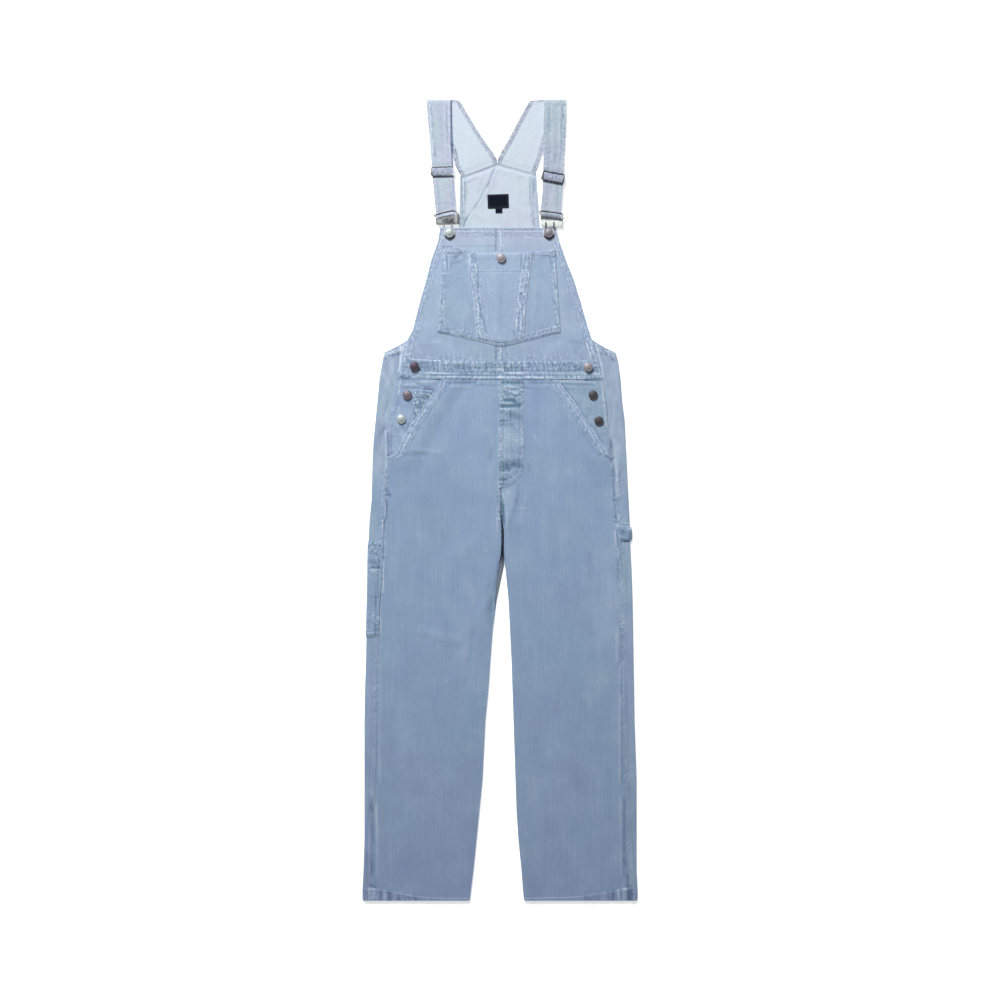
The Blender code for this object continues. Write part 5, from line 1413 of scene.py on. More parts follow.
def make_pocket_centre():
    down = places((0, 0.14, 0.009), (0.14, 1, 0.0135))
    right, left = centre_sides(down)
    parts = places((0, 0.16, 0.011), (0.16, 0.84, 0.022), (0.84, 1, 0.011))
    x = right[:, None] + (left - right)[:, None] * parts[None, :]
    foot = np.interp(x, (-47, -24, 2, 22, 47), (331.5, 326.0, 321.5, 323.5, 331.0))
    y = CENTRE_TOP + (foot - CENTRE_TOP) * down[:, None]
    look = Surface(x, y)
    rows = CENTRE_TOP + (CENTRE_FOOT - CENTRE_TOP) * down
    look.band(np.stack((right, rows), 1), BAND_WIDTH["centre"], lines=0.42, ropes=0.12, crinkle=0.9, seed=131)
    look.band(np.stack((left, rows), 1)[::-1], BAND_WIDTH["centre"], lines=0.42, ropes=0.12,
              crinkle=0.9, seed=132)
    look.row([(-62, CROSS_ROW_Y), (58, CROSS_ROW_Y)], line=0.25, ropes=0.15, pace=8.0, seed=133)
    look.marks(CENTRE_MARKS)
    soft = 0.4 * noise2(x / 20, y / 30, 134) + 0.2 * noise2(x / 9, y / 10, 135)
    look.add(0.35 * soft, 0.08 * soft + 0.04 * noise2(x / 4, y / 9, 136) + 0.065, 0.10)
    look.teal = look.teal - 0.2
    edge = np.minimum(np.minimum(x - right[:, None], left[:, None] - x), np.minimum(y - foot, CENTRE_TOP - y))
    under = rest_on(["bib_pocket"], x, y, bib_top(x, y) + DENIM + 0.45)
    lay_flat("bib_pocket_centre", look, under, 0.85 * thinned(x, y, edge, 137, least=0.12), ["bib_pocket"],
             wash=0.20 + 0.20 * smooth((y - 480) / 40))


make_bib_pocket()
make_pocket_centre()

# %% [markdown]
# ## Waistband
# The waistband crosses the garment over the lower edge of the bib and the upper edge of the legs.
# It is sewn down along both edges, and shrinking in the wash has drawn it into upright ridges.

# %% Waistband
# The dark rows (-197, 251) to (-181, 250.5) and (171, 248.4) to (205, 247.8) paint the shadow under the
# band's lower edge.
WAIST_MARKS = (
    (-175, 275, -140, 272, 6.0, -0.5, -0.28), (-108, 272, -60, 270, 6.5, -0.5, -0.32),
    (-30, 276, -10, 274, 5.0, -0.4, -0.2), (-197, 251, -181, 250.5, 3.2, -0.7, -0.7),
    (-178, 287, -120, 284.5, 1.6, 0.4, 0.55), (-118, 280, -40, 280, 1.3, 0.3, 0.4),
    (-170, 262, -104, 259, 1.5, 0.4, 0.55), (-118, 252, 0, 250.5, 1.4, 0.3, 0.38),
    (-138, 255.3, -4, 254.6, 1.2, -0.5, -0.6), (-136, 262, -4, 261.6, 1.0, -0.3, -0.4),
    (-4, 268, 6, 266, 3.0, 0.5, 0.6), (-5, 251.5, 7, 251, 2.0, 0.5, 0.65),
    (-9, 262, -8, 250, 1.6, -0.4, -0.6), (8.6, 286, 9, 262, 1.3, -0.4, -0.55),
    (9, 260.5, 42, 259.6, 1.4, 0.4, 0.7), (10, 255, 120, 255, 1.2, -0.5, -0.65),
    (10, 250.6, 180, 248.6, 1.6, 0.4, 0.48), (10, 264.6, 200, 264, 1.5, -0.5, -0.5),
    (10, 261, 180, 261.6, 1.3, 0.3, 0.42), (171, 248.4, 205, 247.8, 2.4, -0.5, -0.55),
    (60, 276, 110, 272, 5.0, -0.4, -0.18), (120, 276, 160, 272, 5.0, -0.3, -0.12),
    (150, 268, 170, 266, 2.0, -0.5, -0.45), (-160, 268, -154, 262, 2.0, -0.4, -0.4))


def waistband_edges(across):
    return (np.interp(across, (0, 0.15, 0.5, 1), (290.5, 286, 283, 285.5)),
            np.interp(across, (0, 0.5, 1), (249, 247.5, 248)))


def make_waistband():
    downs, across = np.meshgrid(np.linspace(0, 1, 30), np.linspace(0, 1, 290), indexing="ij")
    top_y, bottom_y = waistband_edges(across)
    y = top_y + (bottom_y - top_y) * downs
    start, end = side_edge("right", y), side_edge("left", y)
    x = start + (end - start) * across
    look = Surface(x, y)
    ridges = rope(x + 0.15 * y, 11.0, 141) + 0.55 * rope(x - 0.3 * y, 5.5, 142)
    reach = bump((downs - 0.28) / 0.32)
    low = bump((downs - 0.95) / 0.10)
    top_line = bump((downs - 0.05) / 0.035)
    mottle = noise2(x / 5, y / 5, 148) + 0.7 * noise2(x / 12, y / 8, 149)
    look.add(0.55 * ridges * reach + 0.3 * top_line + 0.35 * low * ridges + 0.2 * mottle,
             0.34 * ridges * reach - 0.10 * reach + (0.24 + 0.40 * ridges) * top_line + 0.14 * low * ridges
             + 0.17 * mottle + 0.04, 0.85)
    look.teal = look.teal + 0.30
    rows = bump((downs - 0.62) / 0.03) + bump((downs - 0.80) / 0.03)
    pale = bump((downs - 0.70) / 0.035) + bump((downs - 0.89) / 0.035)
    worn = 0.6 + 0.4 * noise1(x / 7, 144)
    look.add(0.2 * pale - 0.25 * rows, (0.20 * pale - 0.24 * rows) * worn)
    look.marks(WAIST_MARKS)
    ends = bump((x - start) / 3) + bump((x - end) / 3)
    look.add(0.3 * ends, 0.65 * ends * (0.6 + 0.4 * noise1(y / 5, 146)))
    below = ["leg_front_right", "leg_front_left", "bib_front_right", "bib_front_left", "side_front_right",
             "side_front_left", "coin_pocket", "fly"]
    under = rest_on(below, x, y, waistband_base(x) + 0.2, sink=1.5)
    edge = np.minimum(downs, 1 - downs) * 36
    lay_flat("waistband", look, under, 0.9 * thinned(x, y, edge, 147, least=0.10, reach=5.0),
             ["leg_front_right", "leg_front_left"], wash=0.10)


make_waistband()

# %% [markdown]
# ## Back bib and straps
# Above the bib the inside of the back shows, where the pale weft faces up. The straps grow out of
# the back bib in a V, fold over at the shoulders and come down the front with their blue face up.
# Their hems are turned, and the turned edges look a little darker than the pale inside.

# %% Back bib
BACK_CREASE = (
    (-7, 675.5), (-15, 659.5), (-22, 641.5), (-31, 625.5), (-41, 605.5), (-57, 583.5), (-68, 565.5),
    (-72, 553.5))
BACK_MARKS = (
    (-76, 652, -75, 556, 1.1, -0.4, -0.55), (-70, 644, -69, 604, 1.1, -0.4, -0.6),
    (-73, 648, -73, 604, 1.1, 0.3, 0.2), (-66.5, 640, -66, 618, 1.0, -0.3, -0.3),
    (60, 654, 61, 610, 1.2, -0.4, -0.7), (61, 610, 67, 556, 1.2, -0.3, -0.6),
    (66, 652, 67, 616, 1.1, -0.4, -0.65), (69.5, 650, 70, 622, 1.0, -0.3, -0.4),
    (63.4, 652, 64, 622, 1.0, 0.2, 0.18), (-21, 641, -24, 633, 2.2, -0.4, -0.4),
    (-67, 570, -68, 566, 2.0, -0.4, -0.4), (-45, 598, -50, 590, 2.0, -0.3, -0.25),
    (38, 651, 54, 655, 1.0, -0.3, -0.35), (22, 662, 40, 655, 1.2, -0.2, -0.22),
    (-66, 640, -48, 648, 3.0, -0.4, -0.12), (-36, 644, -42, 620, 4.0, -0.4, -0.12),
    (-28, 640, -34, 626, 2.0, -0.3, -0.14), (10, 655, 40, 640, 6.0, -0.3, -0.06),
    (-24, 612, -28, 606, 2.0, -0.2, -0.14), (20, 600, 50, 580, 7.0, 0.3, 0.05),
    # The last row, (4, 677) to (64, 660), is painted light that pales a shadow line along the top seam.
    (-46, 570, -30, 560, 6.0, -0.3, -0.08), (4, 677, 64, 660, 2.4, 0.3, 0.4))


def back_top_path():
    """Upper edge of the back bib, from its left corner to the right one, a little inside."""
    across = np.array(BACK_BIB_TOP["across"])[::-1]
    return np.stack((-80.5 + 153 * across, np.array(BACK_BIB_TOP["y"], float)[::-1] - 5.0), 1)


def make_bib_back():
    down = places((0, 0.06, 0.005), (0.06, 0.34, 0.007), (0.34, 1, 0.03))
    across = places((0, 0.12, 0.010), (0.12, 0.88, 0.014), (0.88, 1, 0.010))
    downs, acrosses = np.meshgrid(down, across, indexing="ij")
    level = 660 - 358 * downs
    start, end = (at(BACK_BIB_SIDES["y"], BACK_BIB_SIDES[side], level) for side in SIDES)
    x = start + (end - start) * acrosses
    top = np.interp(acrosses, BACK_BIB_TOP["across"], BACK_BIB_TOP["y"])
    y = top + (BACK_WAIST_Y + 2 * GAP - top) * downs
    look = Surface(x, y)
    shows = smooth((y - 545) / 12)
    ys = np.linspace(652, 480, 20)
    for side in SIDES:
        edge = np.stack((at(BACK_BIB_SIDES["y"], BACK_BIB_SIDES[side], ys), ys), 1)
        look.band(edge[::-sign_of(side)], BAND_WIDTH["back_side"], lift=0.5, lines=0.22, ropes=0.1,
                  crinkle=0.35, seed=151, on=shows)
    look.row(back_top_path(), depth=0.2, line=0.2, ropes=0.1, pace=9.0, reach=3.0, crinkle=0.3, seed=153,
             on=shows)
    # The crease is painted dark in its trough and pale on the ridge beside it: painted shade and painted
    # highlight on a real fold.
    d, s = seam_frame(x, y, BACK_CREASE)
    uneven = 0.75 + 0.25 * noise1(s / 16, 157)
    look.add((0.9 * bump((d - 3.2) / 2.4) - 0.8 * bump(d / 1.7)) * uneven,
             (0.20 * bump((d - 3.6) / 2.2) - 0.72 * bump(d / 1.9)) * uneven, 0.0, shows * smooth((s - 2) / 8))
    look.marks(BACK_MARKS, on=shows)
    look.add(0.2 * noise2(x / 14, y / 22, 155), 0.05 * noise2(x / 10, y / 16, 156) - 0.02, 0.08 * shows)
    inset_sides = np.minimum(x - start, end - x)
    look.add(0.0, -0.16 * smooth((13 - inset_sides) / 2) * shows)
    from_top = np.broadcast_to(top, x.shape) - y
    thick = DENIM - 0.75 * (1 - smooth((from_top - 8) / 6))
    lay_flat("bib_back", look, 0.0, thick, [], pale=(0.93, 1.0), wash=0.3)


make_bib_back()


# %% Straps
STRAP_FOLD_STEPS = 9
STRAP_END_RISE = 0.8
ROLL_RISE = 3.6                       # the strap's end rises over the clasp's bar
ROLL_END = {"right": 8.5, "left": 14.5}
SLIDER = {"right": (664.0, 2.0), "left": (652.0, -11.5)}
CLASP_BAR = {"right": ((-131, 575.5), (-115, 581.5), (-93, 585.5), (-87, 581.5)),
             "left": ((80, 584.5), (96, 583.5), (112, 581.5), (124, 578.5))}
STRAP_MARKS = {
    "right": (
        # The first two rows paint the shadow beside the strap's inner edge.
        (-98.4, 802, -97.2, 715, 1.7, -0.4, -1.0), (-97.2, 715, -94.6, 672, 1.4, -0.4, -1.25),
        (-137, 788, -136, 776, 1.3, -0.2, -0.35), (-134, 762, -133, 752, 1.4, -0.2, -0.35),
        (-135, 740, -134, 730, 1.3, -0.2, -0.3), (-131, 712, -130, 694, 1.6, -0.2, -0.4),
        (-107, 770, -106, 740, 1.5, -0.2, -0.22), (-134, 725, -133, 700, 1.2, 0.2, 0.22),
        (-105, 795, -104, 720, 1.3, -0.2, -0.14), (-101, 800, -100, 740, 1.6, 0.2, 0.14),
        (-138, 790, -135, 700, 4.0, 0.3, 0.1), (-92.5, 650, -92, 596, 2.0, -0.4, -0.28),
        (-117, 800, -116, 710, 5.0, -0.3, -0.1), (-116, 640, -112, 596, 4.0, 0.3, 0.1)),
    "left": (
        (87, 802, 86, 700, 1.6, 0.3, 0.22), (103, 795, 104, 690, 1.4, 0.2, 0.16),
        (99, 790, 100, 700, 2.0, -0.3, -0.18), (112, 745, 111, 690, 1.3, -0.2, -0.16),
        (118, 790, 120, 700, 1.4, 0.2, 0.16), (122, 770, 124, 690, 1.6, -0.2, -0.14),
        (129, 780, 130, 690, 2.0, -0.3, -0.1), (92, 770, 94, 700, 3.0, -0.3, -0.08),
        (108, 640, 104, 600, 3.0, 0.2, 0.08), (115, 636, 114, 600, 1.4, -0.3, -0.16),
        (90, 640, 88, 600, 2.0, -0.2, -0.1), (124, 796, 127, 768, 1.4, -0.2, -0.35),
        (129, 792, 130, 770, 1.0, 0.2, 0.25), (99, 740, 98, 715, 1.4, 0.2, 0.18),
        (111, 700, 110, 680, 1.6, -0.2, -0.3)),
}
STRAP_PATCHES = {
    "right": (
        (-130, 770, 14, 50, -0.06, 0.9), (-108, 700, 14, 40, 0.0, -0.5), (-115, 620, 7, 36, 0.04, 0.7),
        (-132, 640, 8, 40, 0.0, -0.6), (-98, 620, 5, 40, 0.0, -0.4), (-126, 690, 10, 30, 0.0, 0.3)),
    "left": (
        (108, 750, 26, 70, -0.04, 0.7), (97, 620, 12, 30, 0.0, -0.5), (112, 640, 10, 40, 0.0, 0.2),
        (103, 612, 26, 30, 0.07, 0.0)),
}


def between(rows, step):
    """Fills in rows of points so that none is further than step from the next."""
    filled = [np.array(rows[0], float)]
    for a, b in zip(rows, rows[1:]):
        a, b = np.array(a, float), np.array(b, float)
        count = max(1, round(max(np.hypot(*(a - b)[:2]), np.hypot(*(a - b)[2:])) / step))
        filled += [a + (b - a) * k / count for k in range(1, count + 1)]
    return filled


def bar_y(side, x):
    points = CLASP_BAR[side]
    return np.interp(x, [p[0] for p in points], [p[1] for p in points])


def strap_sections(side, radius):
    """Rows across a strap, from the V at the back over the shoulder to the clasp.

    Each row has its two ends, its rise, the way that its outer face points, 1 on the front part,
    and how far it lies along the end that is rolled under.
    """
    back = between(STRAP_BACK[side], 2.6)
    lead = (back[1] - back[0]).reshape(2, 2)
    lead /= np.linalg.norm(lead, axis=1)[:, None]
    back = [back[0] - 4.0 * lead.ravel()] + back
    front = between(STRAP_FRONT[side], 2.0)
    span = STRAP_FRONT[side][0][1] - STRAP_FRONT[side][-1][1]
    sections = [(row, 0.0, 0.0, -1.0, 0, 0.0) for row in back]
    for k in range(1, STRAP_FOLD_STEPS):
        part = k / STRAP_FOLD_STEPS
        angle = math.radians(-90 + 180 * part)
        row = back[-1] + (front[0] - back[-1]) * smooth(2 * part)
        row[1] = row[3] = STRAP_FOLD_Y - radius
        sections.append((row, 0.0, math.cos(angle), math.sin(angle), 1 if part > 0.5 else 0, 0.0))
    sections += [(row, STRAP_END_RISE * float(smooth((front[0][1] - row[1]) / span)), 0.0, 1.0, 1, 0.0)
                 for row in front]
    sections += [(front[-1], STRAP_END_RISE, 0.0, 1.0, 1, part) for part in np.linspace(0, 1, 15)[1:]]
    columns = (np.array([section[k] for section in sections], float)[:, None] for k in range(1, 6))
    return np.array([section[0] for section in sections]), *columns


def make_strap(side):
    turn = sign_of(side)
    radius = STRAP_CLOTH + GAP
    rows, rise, out_y, out_z, on_front, tail = strap_sections(side, radius)
    parts = places((0, 0.2, 0.022), (0.2, 0.8, 0.035), (0.8, 1, 0.022))
    x = rows[:, 0:1] + (rows[:, 2:3] - rows[:, 0:1]) * parts[None, :]
    y = rows[:, 1:2] + (rows[:, 3:4] - rows[:, 1:2]) * parts[None, :]
    width = np.hypot(rows[:, 2] - rows[:, 0], rows[:, 3] - rows[:, 1])[:, None]
    steps = np.hypot(np.diff(rows[:, 0::2].mean(1)), np.diff(rows[:, 1::2].mean(1)))
    run = np.concatenate(([0], np.cumsum(steps)))[:, None] + np.zeros_like(x)
    across = parts[None, :] * width
    from_side = np.minimum(across, width - across)
    y = y + (bar_y(side, x) - ROLL_END[side] - y) * tail
    low = on_front * (y < 600)
    past_bar = bar_y(side, x) - 1.5 - y
    under_roll = smooth((past_bar - ROLL_END[side] + 6.5) / 3.0) * low
    roll = low * ROLL_RISE * smooth(past_bar / 5.5) * (1 - 0.30 * under_roll)
    lap = (1 - on_front) * (1 - smooth((run - 5.0) / 9.0))

    front_look = Surface(x, y)
    hem = smooth((11.5 - from_side) / 1.2)
    ridges = rope(run + 0.5 * from_side, 12.0, 161 + turn)
    row_line = bump((from_side - 8.5) / 1.1)
    broken = 0.6 + 0.4 * noise1(run / 8 + turn * 30, 168)
    soft = 0.5 * noise2(across / 16, run / 30, 163 + turn) + 0.25 * noise2(across / 7, run / 9, 164)
    front_look.add(0.14 * hem * ridges + 0.25 * hem + 0.45 * soft - 0.3 * row_line,
                   0.10 * ridges * hem + 0.16 * bump(from_side / 1.8) - 0.28 * row_line * broken
                   + 0.20 * bump((from_side - 5.5) / 1.4) * broken + 0.12 * soft
                   + (-0.01 if side == "right" else -0.17),
                   0.22 + 0.4 * bump((x - STRAP_FRONT[side][0][0] + turn * 4) / 5))
    front_look.marks(STRAP_MARKS[side])
    front_look.patches(STRAP_PATCHES[side])
    middle_y, tilt = SLIDER[side]
    slide = (y - middle_y) - math.tan(math.radians(tilt)) * (x - turn * 109)
    hump = on_front * (1.3 * bump(slide / 7.0) - 0.6 * bump((np.abs(slide) - 12.0) / 2.6))
    inside_frame = smooth((8.5 - np.abs(slide)) / 1.5)
    # Painted shade: the cloth inside the slide's frame is darker, with a dark line just outside its wires.
    front_look.add(hump, -0.12 * inside_frame - 0.25 * bump((np.abs(slide) - 11.0) / 2.0), 0.8 * inside_frame)
    front_look.teal = front_look.teal - 0.6 * inside_frame
    bar = low * bump(past_bar / 2.0)
    # Painted shade where the strap runs under the clasp's bar.
    front_look.add(0.0, -0.35 * bar + 0.05 * (roll > 0.5), 0.5 * smooth(roll))
    front_look.add(-0.3 * low)
    neck_hem = smooth((9.0 - from_side) / 1.0)
    inner_wear = (1 - on_front) * (-0.14 * neck_hem - 0.22 * bump((from_side - 9.2) / 1.1) * broken
                                   + 0.12 * bump(from_side / 1.5) + 0.10 * ridges * hem)
    if side == "right":             # painted shadow of the front part on the back part along its inner edge
        beside = x - at([row[3] for row in STRAP_FRONT[side]], [row[2] for row in STRAP_FRONT[side]], y)
        inner_wear = inner_wear - (1 - on_front) * bump((beside - 0.9) / 1.1) * smooth((y - 668) / 12)
    inner_teal = (0.5 if side == "right" else 0.15) - 0.7 * neck_hem
    inner_height = (1 - on_front) * (0.5 * neck_hem + 0.3 * soft + 0.12 * ridges * hem)
    outside_z = radius + out_z * radius + rise + on_front * front_look.height + roll + 0.65 * lap
    outside = np.stack((x, y + out_y * radius, outside_z), -1)
    inner_reach = radius - STRAP_CLOTH
    inside_z = (radius + out_z * inner_reach + rise + inner_height * (1 - lap) + on_front * 0.8 * hump
                - 0.5 * lap)
    inside_z = np.where(roll > 0, np.maximum(inside_z, outside[:, :, 2] - 1.3), inside_z)
    inside = np.stack((x, y + out_y * inner_reach, inside_z), -1)
    front_look.wear = front_look.wear * on_front
    # Painted shade on the strap's end where it rolls over the clasp's bar and turns under, most on the left
    # clasp, and inside the slide's frame.
    rolled = smooth((past_bar - 1.0) / 3.0) * low
    by_roll, by_turn = (0.42, 0.34) if side == "left" else (0.05, 0.05)
    outer_shade = by_roll * rolled + by_turn * under_roll
    outer_shade = outer_shade + (0.14 if side == "right" else 0.06) * inside_frame * on_front
    lay("strap_" + side, outside, inside, ["bib_back_cloth"], front_look,
        wash=0.92 if side == "right" else 1.0, shade=(outer_shade, 0.19 * (1 - on_front) * neck_hem),
        inner_wear=inner_wear,
        inner_crinkle=(1 - on_front) * (0.12 + 0.75 * neck_hem), inner_teal=inner_teal, held="folded",
        size=STRAP_FLAT, grain=np.stack((across + (300 if side == "left" else 0), run), -1))


for side in SIDES:
    make_strap(side)

# %% [markdown]
# ## Tool pocket, hammer loop and label
# A carpenter's tool pocket and a hammer loop are sewn to the wrapped back of the legs. They are
# laid on the same turned section as the back itself, a little further out. The woven label and its
# size tab are left bare.

# %% Wrapped pieces
WRAPPED_MARKS = {
    "tool_pocket": (
        (-257, -78, -246, -90, 1.6, -0.6, -0.6), (-251, -88, -236, -90, 1.4, 0.5, 0.5),
        (-255, -97, -245, -104, 1.8, -0.6, -0.6), (-240, -84, -234, -100, 1.6, -0.5, -0.45),
        # (-256, -129) to (-241, -129) paints the shadow under the flap's lower edge.
        (-256, -129, -241, -129, 1.6, -0.7, -0.85), (-241.6, -110, -241.6, -130, 1.5, -0.6, -0.85),
        (-256, -116, -246, -124, 4.0, -0.5, -0.4), (-258, -133.5, -242, -133.5, 1.4, 0.4, 0.4),
        (-251, -240, -250, -266, 2.0, -0.6, -0.6), (-244.6, -236, -244.6, -258, 1.4, -0.5, -0.5),
        (-254, -250, -253, -252, 2.0, 0.5, 0.55), (-248, -238, -246, -240, 1.8, 0.4, 0.45),
        (-242, -232, -242, -260, 1.3, 0.3, 0.4), (-248, -160, -249, -206, 1.2, -0.3, -0.4),
        (-258, -188, -242, -189, 1.4, -0.3, -0.3), (-262, -265.4, -243, -265.8, 1.3, 0.2, 0.55),
        (-258, -136, -244, -138, 3.0, 0.3, 0.3), (-244, -128, -244, -190, 1.5, -0.3, -0.45),
        (-248, -186, -248, -264, 1.3, -0.3, -0.5), (-240, -196, -241, -262, 1.3, 0.3, 0.3)),
    "hammer_loop": (
        (246, -56, 262, -70, 6.0, -0.5, -0.5), (248, -77, 259, -78, 2.4, -0.6, -0.9),
        (243, -57, 244, -76, 1.6, -0.5, -0.6), (246, -52, 262, -53, 1.4, 0.5, 0.3),
        (244, -50, 262, -50, 3.0, 0.0, -0.22), (252, -62, 257, -66, 2.0, 0.4, 0.4),
        (250, -75, 253, -75.6, 3.0, -0.4, -0.6)),
}


def make_wrapped(name, side, top, bottom, bulge, end_gap, seed):
    turn = sign_of(side)
    ys = places((top, bottom, 1.4))
    turn_x = leg_x(side + "_outer", ys) - turn * FOLD_RADIUS
    end = back_strip_edge(side, ys) + turn * end_gap
    swell = bulge * np.sqrt(np.clip(1 - ((2 * ys - top - bottom) / (top - bottom)) ** 2, 0, 1))
    share = 0.25 + 0.75 * smooth(np.minimum(top - ys, ys - bottom) / 6)
    faces = []
    for thick in (DENIM * share, 0.0):
        radius = FOLD_RADIUS + GAP + 0.1 + thick
        xs, zs = [], []
        for degrees in np.linspace(0, 90, 7):
            c, s = math.cos(math.radians(degrees)), math.sin(math.radians(degrees))
            xs.append(turn_x + turn * (radius + swell) * c)
            zs.append(FOLD_RADIUS + (radius + swell / 2) * s)
        for part in np.linspace(0, 1, 20)[1:]:
            xs.append(turn_x + (end - turn_x) * part)
            zs.append(FOLD_RADIUS + radius + swell / 2 * (1 - float(smooth(part))))
        faces.append((np.stack(xs, 1), np.stack(zs, 1)))
    x, z = faces[0]
    y = np.repeat(ys[:, None], x.shape[1], 1)
    look = Surface(x, y)
    spans = ((300, 200, top), (200, 300, bottom))
    upper, lower = ([(turn * a, v), (turn * b, v)][::turn] for a, b, v in spans)
    look.band(upper, 11.0, lines=0.5, ropes=0.3, pace=7.0, seed=seed)
    look.band(lower, 9.0, lines=0.4, ropes=0.3, pace=7.0, seed=seed + 1)
    look.marks(WRAPPED_MARKS[name])
    calm = smooth((np.abs(y - top) - 60) / 20) * smooth((y - bottom - 40) / 20)
    rough = noise2(x / 5, y / 7, seed + 2)
    look.add(0.2 * rough * (1 - calm), 0.14 * rough * (1 - 0.7 * calm), 0.6 - 0.5 * calm)
    look.height = np.maximum(look.height, -0.5 * DENIM * share[:, None])
    outside = np.stack((x, y, z + look.height * smooth((z - FOLD_RADIUS) / 2)), -1)
    inside = np.stack((faces[1][0], y, faces[1][1]), -1)
    lay(name, outside, inside, ["leg_back_" + side + "_cloth"], look, wash=0.05)


make_wrapped("tool_pocket", "right", -76.0, -267.0, 0.0, 0.5, 171)
make_wrapped("hammer_loop", "left", -46.0, -77.0, 3.0, 0.5, 175)


# %% Label
LABEL_PITCH = 0.0007       # metres between the woven label's lines


def make_label_cloth():
    made, tree, shader = new_material("navy_woven_label")
    place = node(tree, "ShaderNodeUVMap", uv_map="grain").outputs[0]
    weave = node(tree, "ShaderNodeTexWave", wave_type="BANDS", bands_direction="Y")
    set_inputs(weave, {"Scale": BANDS_PER_UNIT / LABEL_PITCH})
    link(tree, place, weave.inputs["Vector"])
    fleck = node(tree, "ShaderNodeTexNoise", noise_dimensions="2D")
    set_inputs(fleck, {"Scale": 900.0})
    link(tree, place, fleck.inputs["Vector"])
    thread = mix_colour(tree, maths(tree, "MULTIPLY", weave.outputs[1], 0.35), (0.004, 0.006, 0.012, 1),
                        (0.010, 0.014, 0.026, 1))
    flecked = maths(tree, "MULTIPLY", fleck.outputs[0], 0.15)
    thread = mix_colour(tree, flecked, thread, (0.03, 0.035, 0.055, 1))
    thread = mix_colour(tree, attribute(tree, "wear"), thread, (0.16, 0.19, 0.25, 1))
    link(tree, thread, shader.inputs["Base Color"])
    set_inputs(shader, {"Roughness": 0.9, "Specular IOR Level": 0.04})
    add_relief(tree, shader, weave.outputs[1], 0.3, 0.0002)
    return made


LABEL_CLOTH = make_label_cloth()


def make_label(name, width, height, centre, tilt):
    c, s = math.cos(math.radians(tilt)), math.sin(math.radians(tilt))
    u, v = np.meshgrid(np.linspace(-0.5, 0.5, 40), np.linspace(0.5, -0.5, 26))
    x, y = u * width, v * height
    look = Surface(centre[0] + x * c - y * s, centre[1] + x * s + y * c)
    border = np.maximum(np.abs(u) * width - width / 2 + 2.6, np.abs(v) * height - height / 2 + 2.6)
    look.add(0.06 * noise2(x / 5, y / 5, 181), 0.25 * bump(border / 0.45) * (width > 20))
    lay_flat(name, look, DENIM + GAP + 0.25 + 0.5 * np.abs(v) ** 3, 0.8, ["bib_back"],
             size=(width * MM, max(height, 12.0) * MM))
    CLOTH_PIECES[name].data.materials.clear()
    CLOTH_PIECES[name].data.materials.append(LABEL_CLOTH)


make_label("label", 42.0, 27.5, (-3.8, 604.0), 2.0)
make_label("size_tab", 13.5, 8.5, (-2.3, 585.0), 2.0)

# %% [markdown]
# ## Metal
# The buttons are antique copper, darkened in the hollows and bright where hands rub them. The two
# under the clasps and the lower one of the right side are silver. Each button takes a lighter or
# darker copy of its metal, as painted light for how brightly that button reflects. The slides and
# the clasps share one nickel, and the left clasp's loop a purple one; their brightness is painted
# point by point, painted shade where the light does not fall and painted reflections where it does.

# %% Metal materials
def make_metal(name, bright, dark, roughness, patina=0.5):
    made, tree, shader = new_material(name)
    cloud = object_noise(tree, 260.0, 4.0)
    raised = maths(tree, "SUBTRACT", node(tree, "ShaderNodeNewGeometry").outputs["Pointiness"], 0.48)
    worn = maths(tree, "MULTIPLY", raised, 5.0, clamp=True)
    cover = maths(tree, "MULTIPLY", maths(tree, "SUBTRACT", 1.0, worn), patina)
    blotches = maths(tree, "MULTIPLY", maths(tree, "SUBTRACT", cloud, 0.5), 0.8)
    cover = maths(tree, "ADD", cover, blotches, clamp=True)
    link(tree, mix_colour(tree, cover, bright, dark), shader.inputs["Base Color"])
    set_inputs(shader, {"Metallic": 1.0})
    rough = maths(tree, "ADD", maths(tree, "MULTIPLY", cloud, 0.25), roughness - 0.12)
    link(tree, rough, shader.inputs["Roughness"])
    return made


# Lighter and darker copies of the copper and of the silver: painted light, each for how brightly one button
# reflects.
COPPER = make_metal("antique_copper", (0.40, 0.345, 0.37, 1), (0.105, 0.090, 0.110, 1), 0.50)
COPPER_DARK = make_metal("dark_copper", (0.19, 0.145, 0.185, 1), (0.056, 0.044, 0.064, 1), 0.52)
COPPER_BLACK = make_metal("darkest_copper", (0.19, 0.172, 0.176, 1), (0.045, 0.048, 0.056, 1), 0.50)
COPPER_PALE = make_metal("pale_copper", (0.64, 0.58, 0.62, 1), (0.245, 0.215, 0.245, 1), 0.50)
PEWTER = make_metal("bare_silver", (0.74, 0.82, 0.81, 1), (0.34, 0.42, 0.41, 1), 0.48, patina=0.32)
PEWTER_DARKER = make_metal("darker_silver", (0.45, 0.43, 0.47, 1), (0.15, 0.125, 0.17, 1), 0.50, patina=0.40)


def make_clasp_metal(name, bright, dark):
    """Nickel with painted light: each point says how bright it is, from painted shade to painted reflections,
    with uneven patches.
    """
    made, tree, shader = new_material(name)
    cloud = object_noise(tree, 240.0)
    patches = maths(tree, "MULTIPLY", maths(tree, "SUBTRACT", cloud, 0.5), 0.7)
    shine = maths(tree, "ADD", attribute(tree, "shine"), patches, clamp=True)
    link(tree, mix_colour(tree, shine, dark, bright), shader.inputs["Base Color"])
    set_inputs(shader, {"Metallic": 0.30, "Roughness": 0.42, "Specular IOR Level": 0.5})
    return made


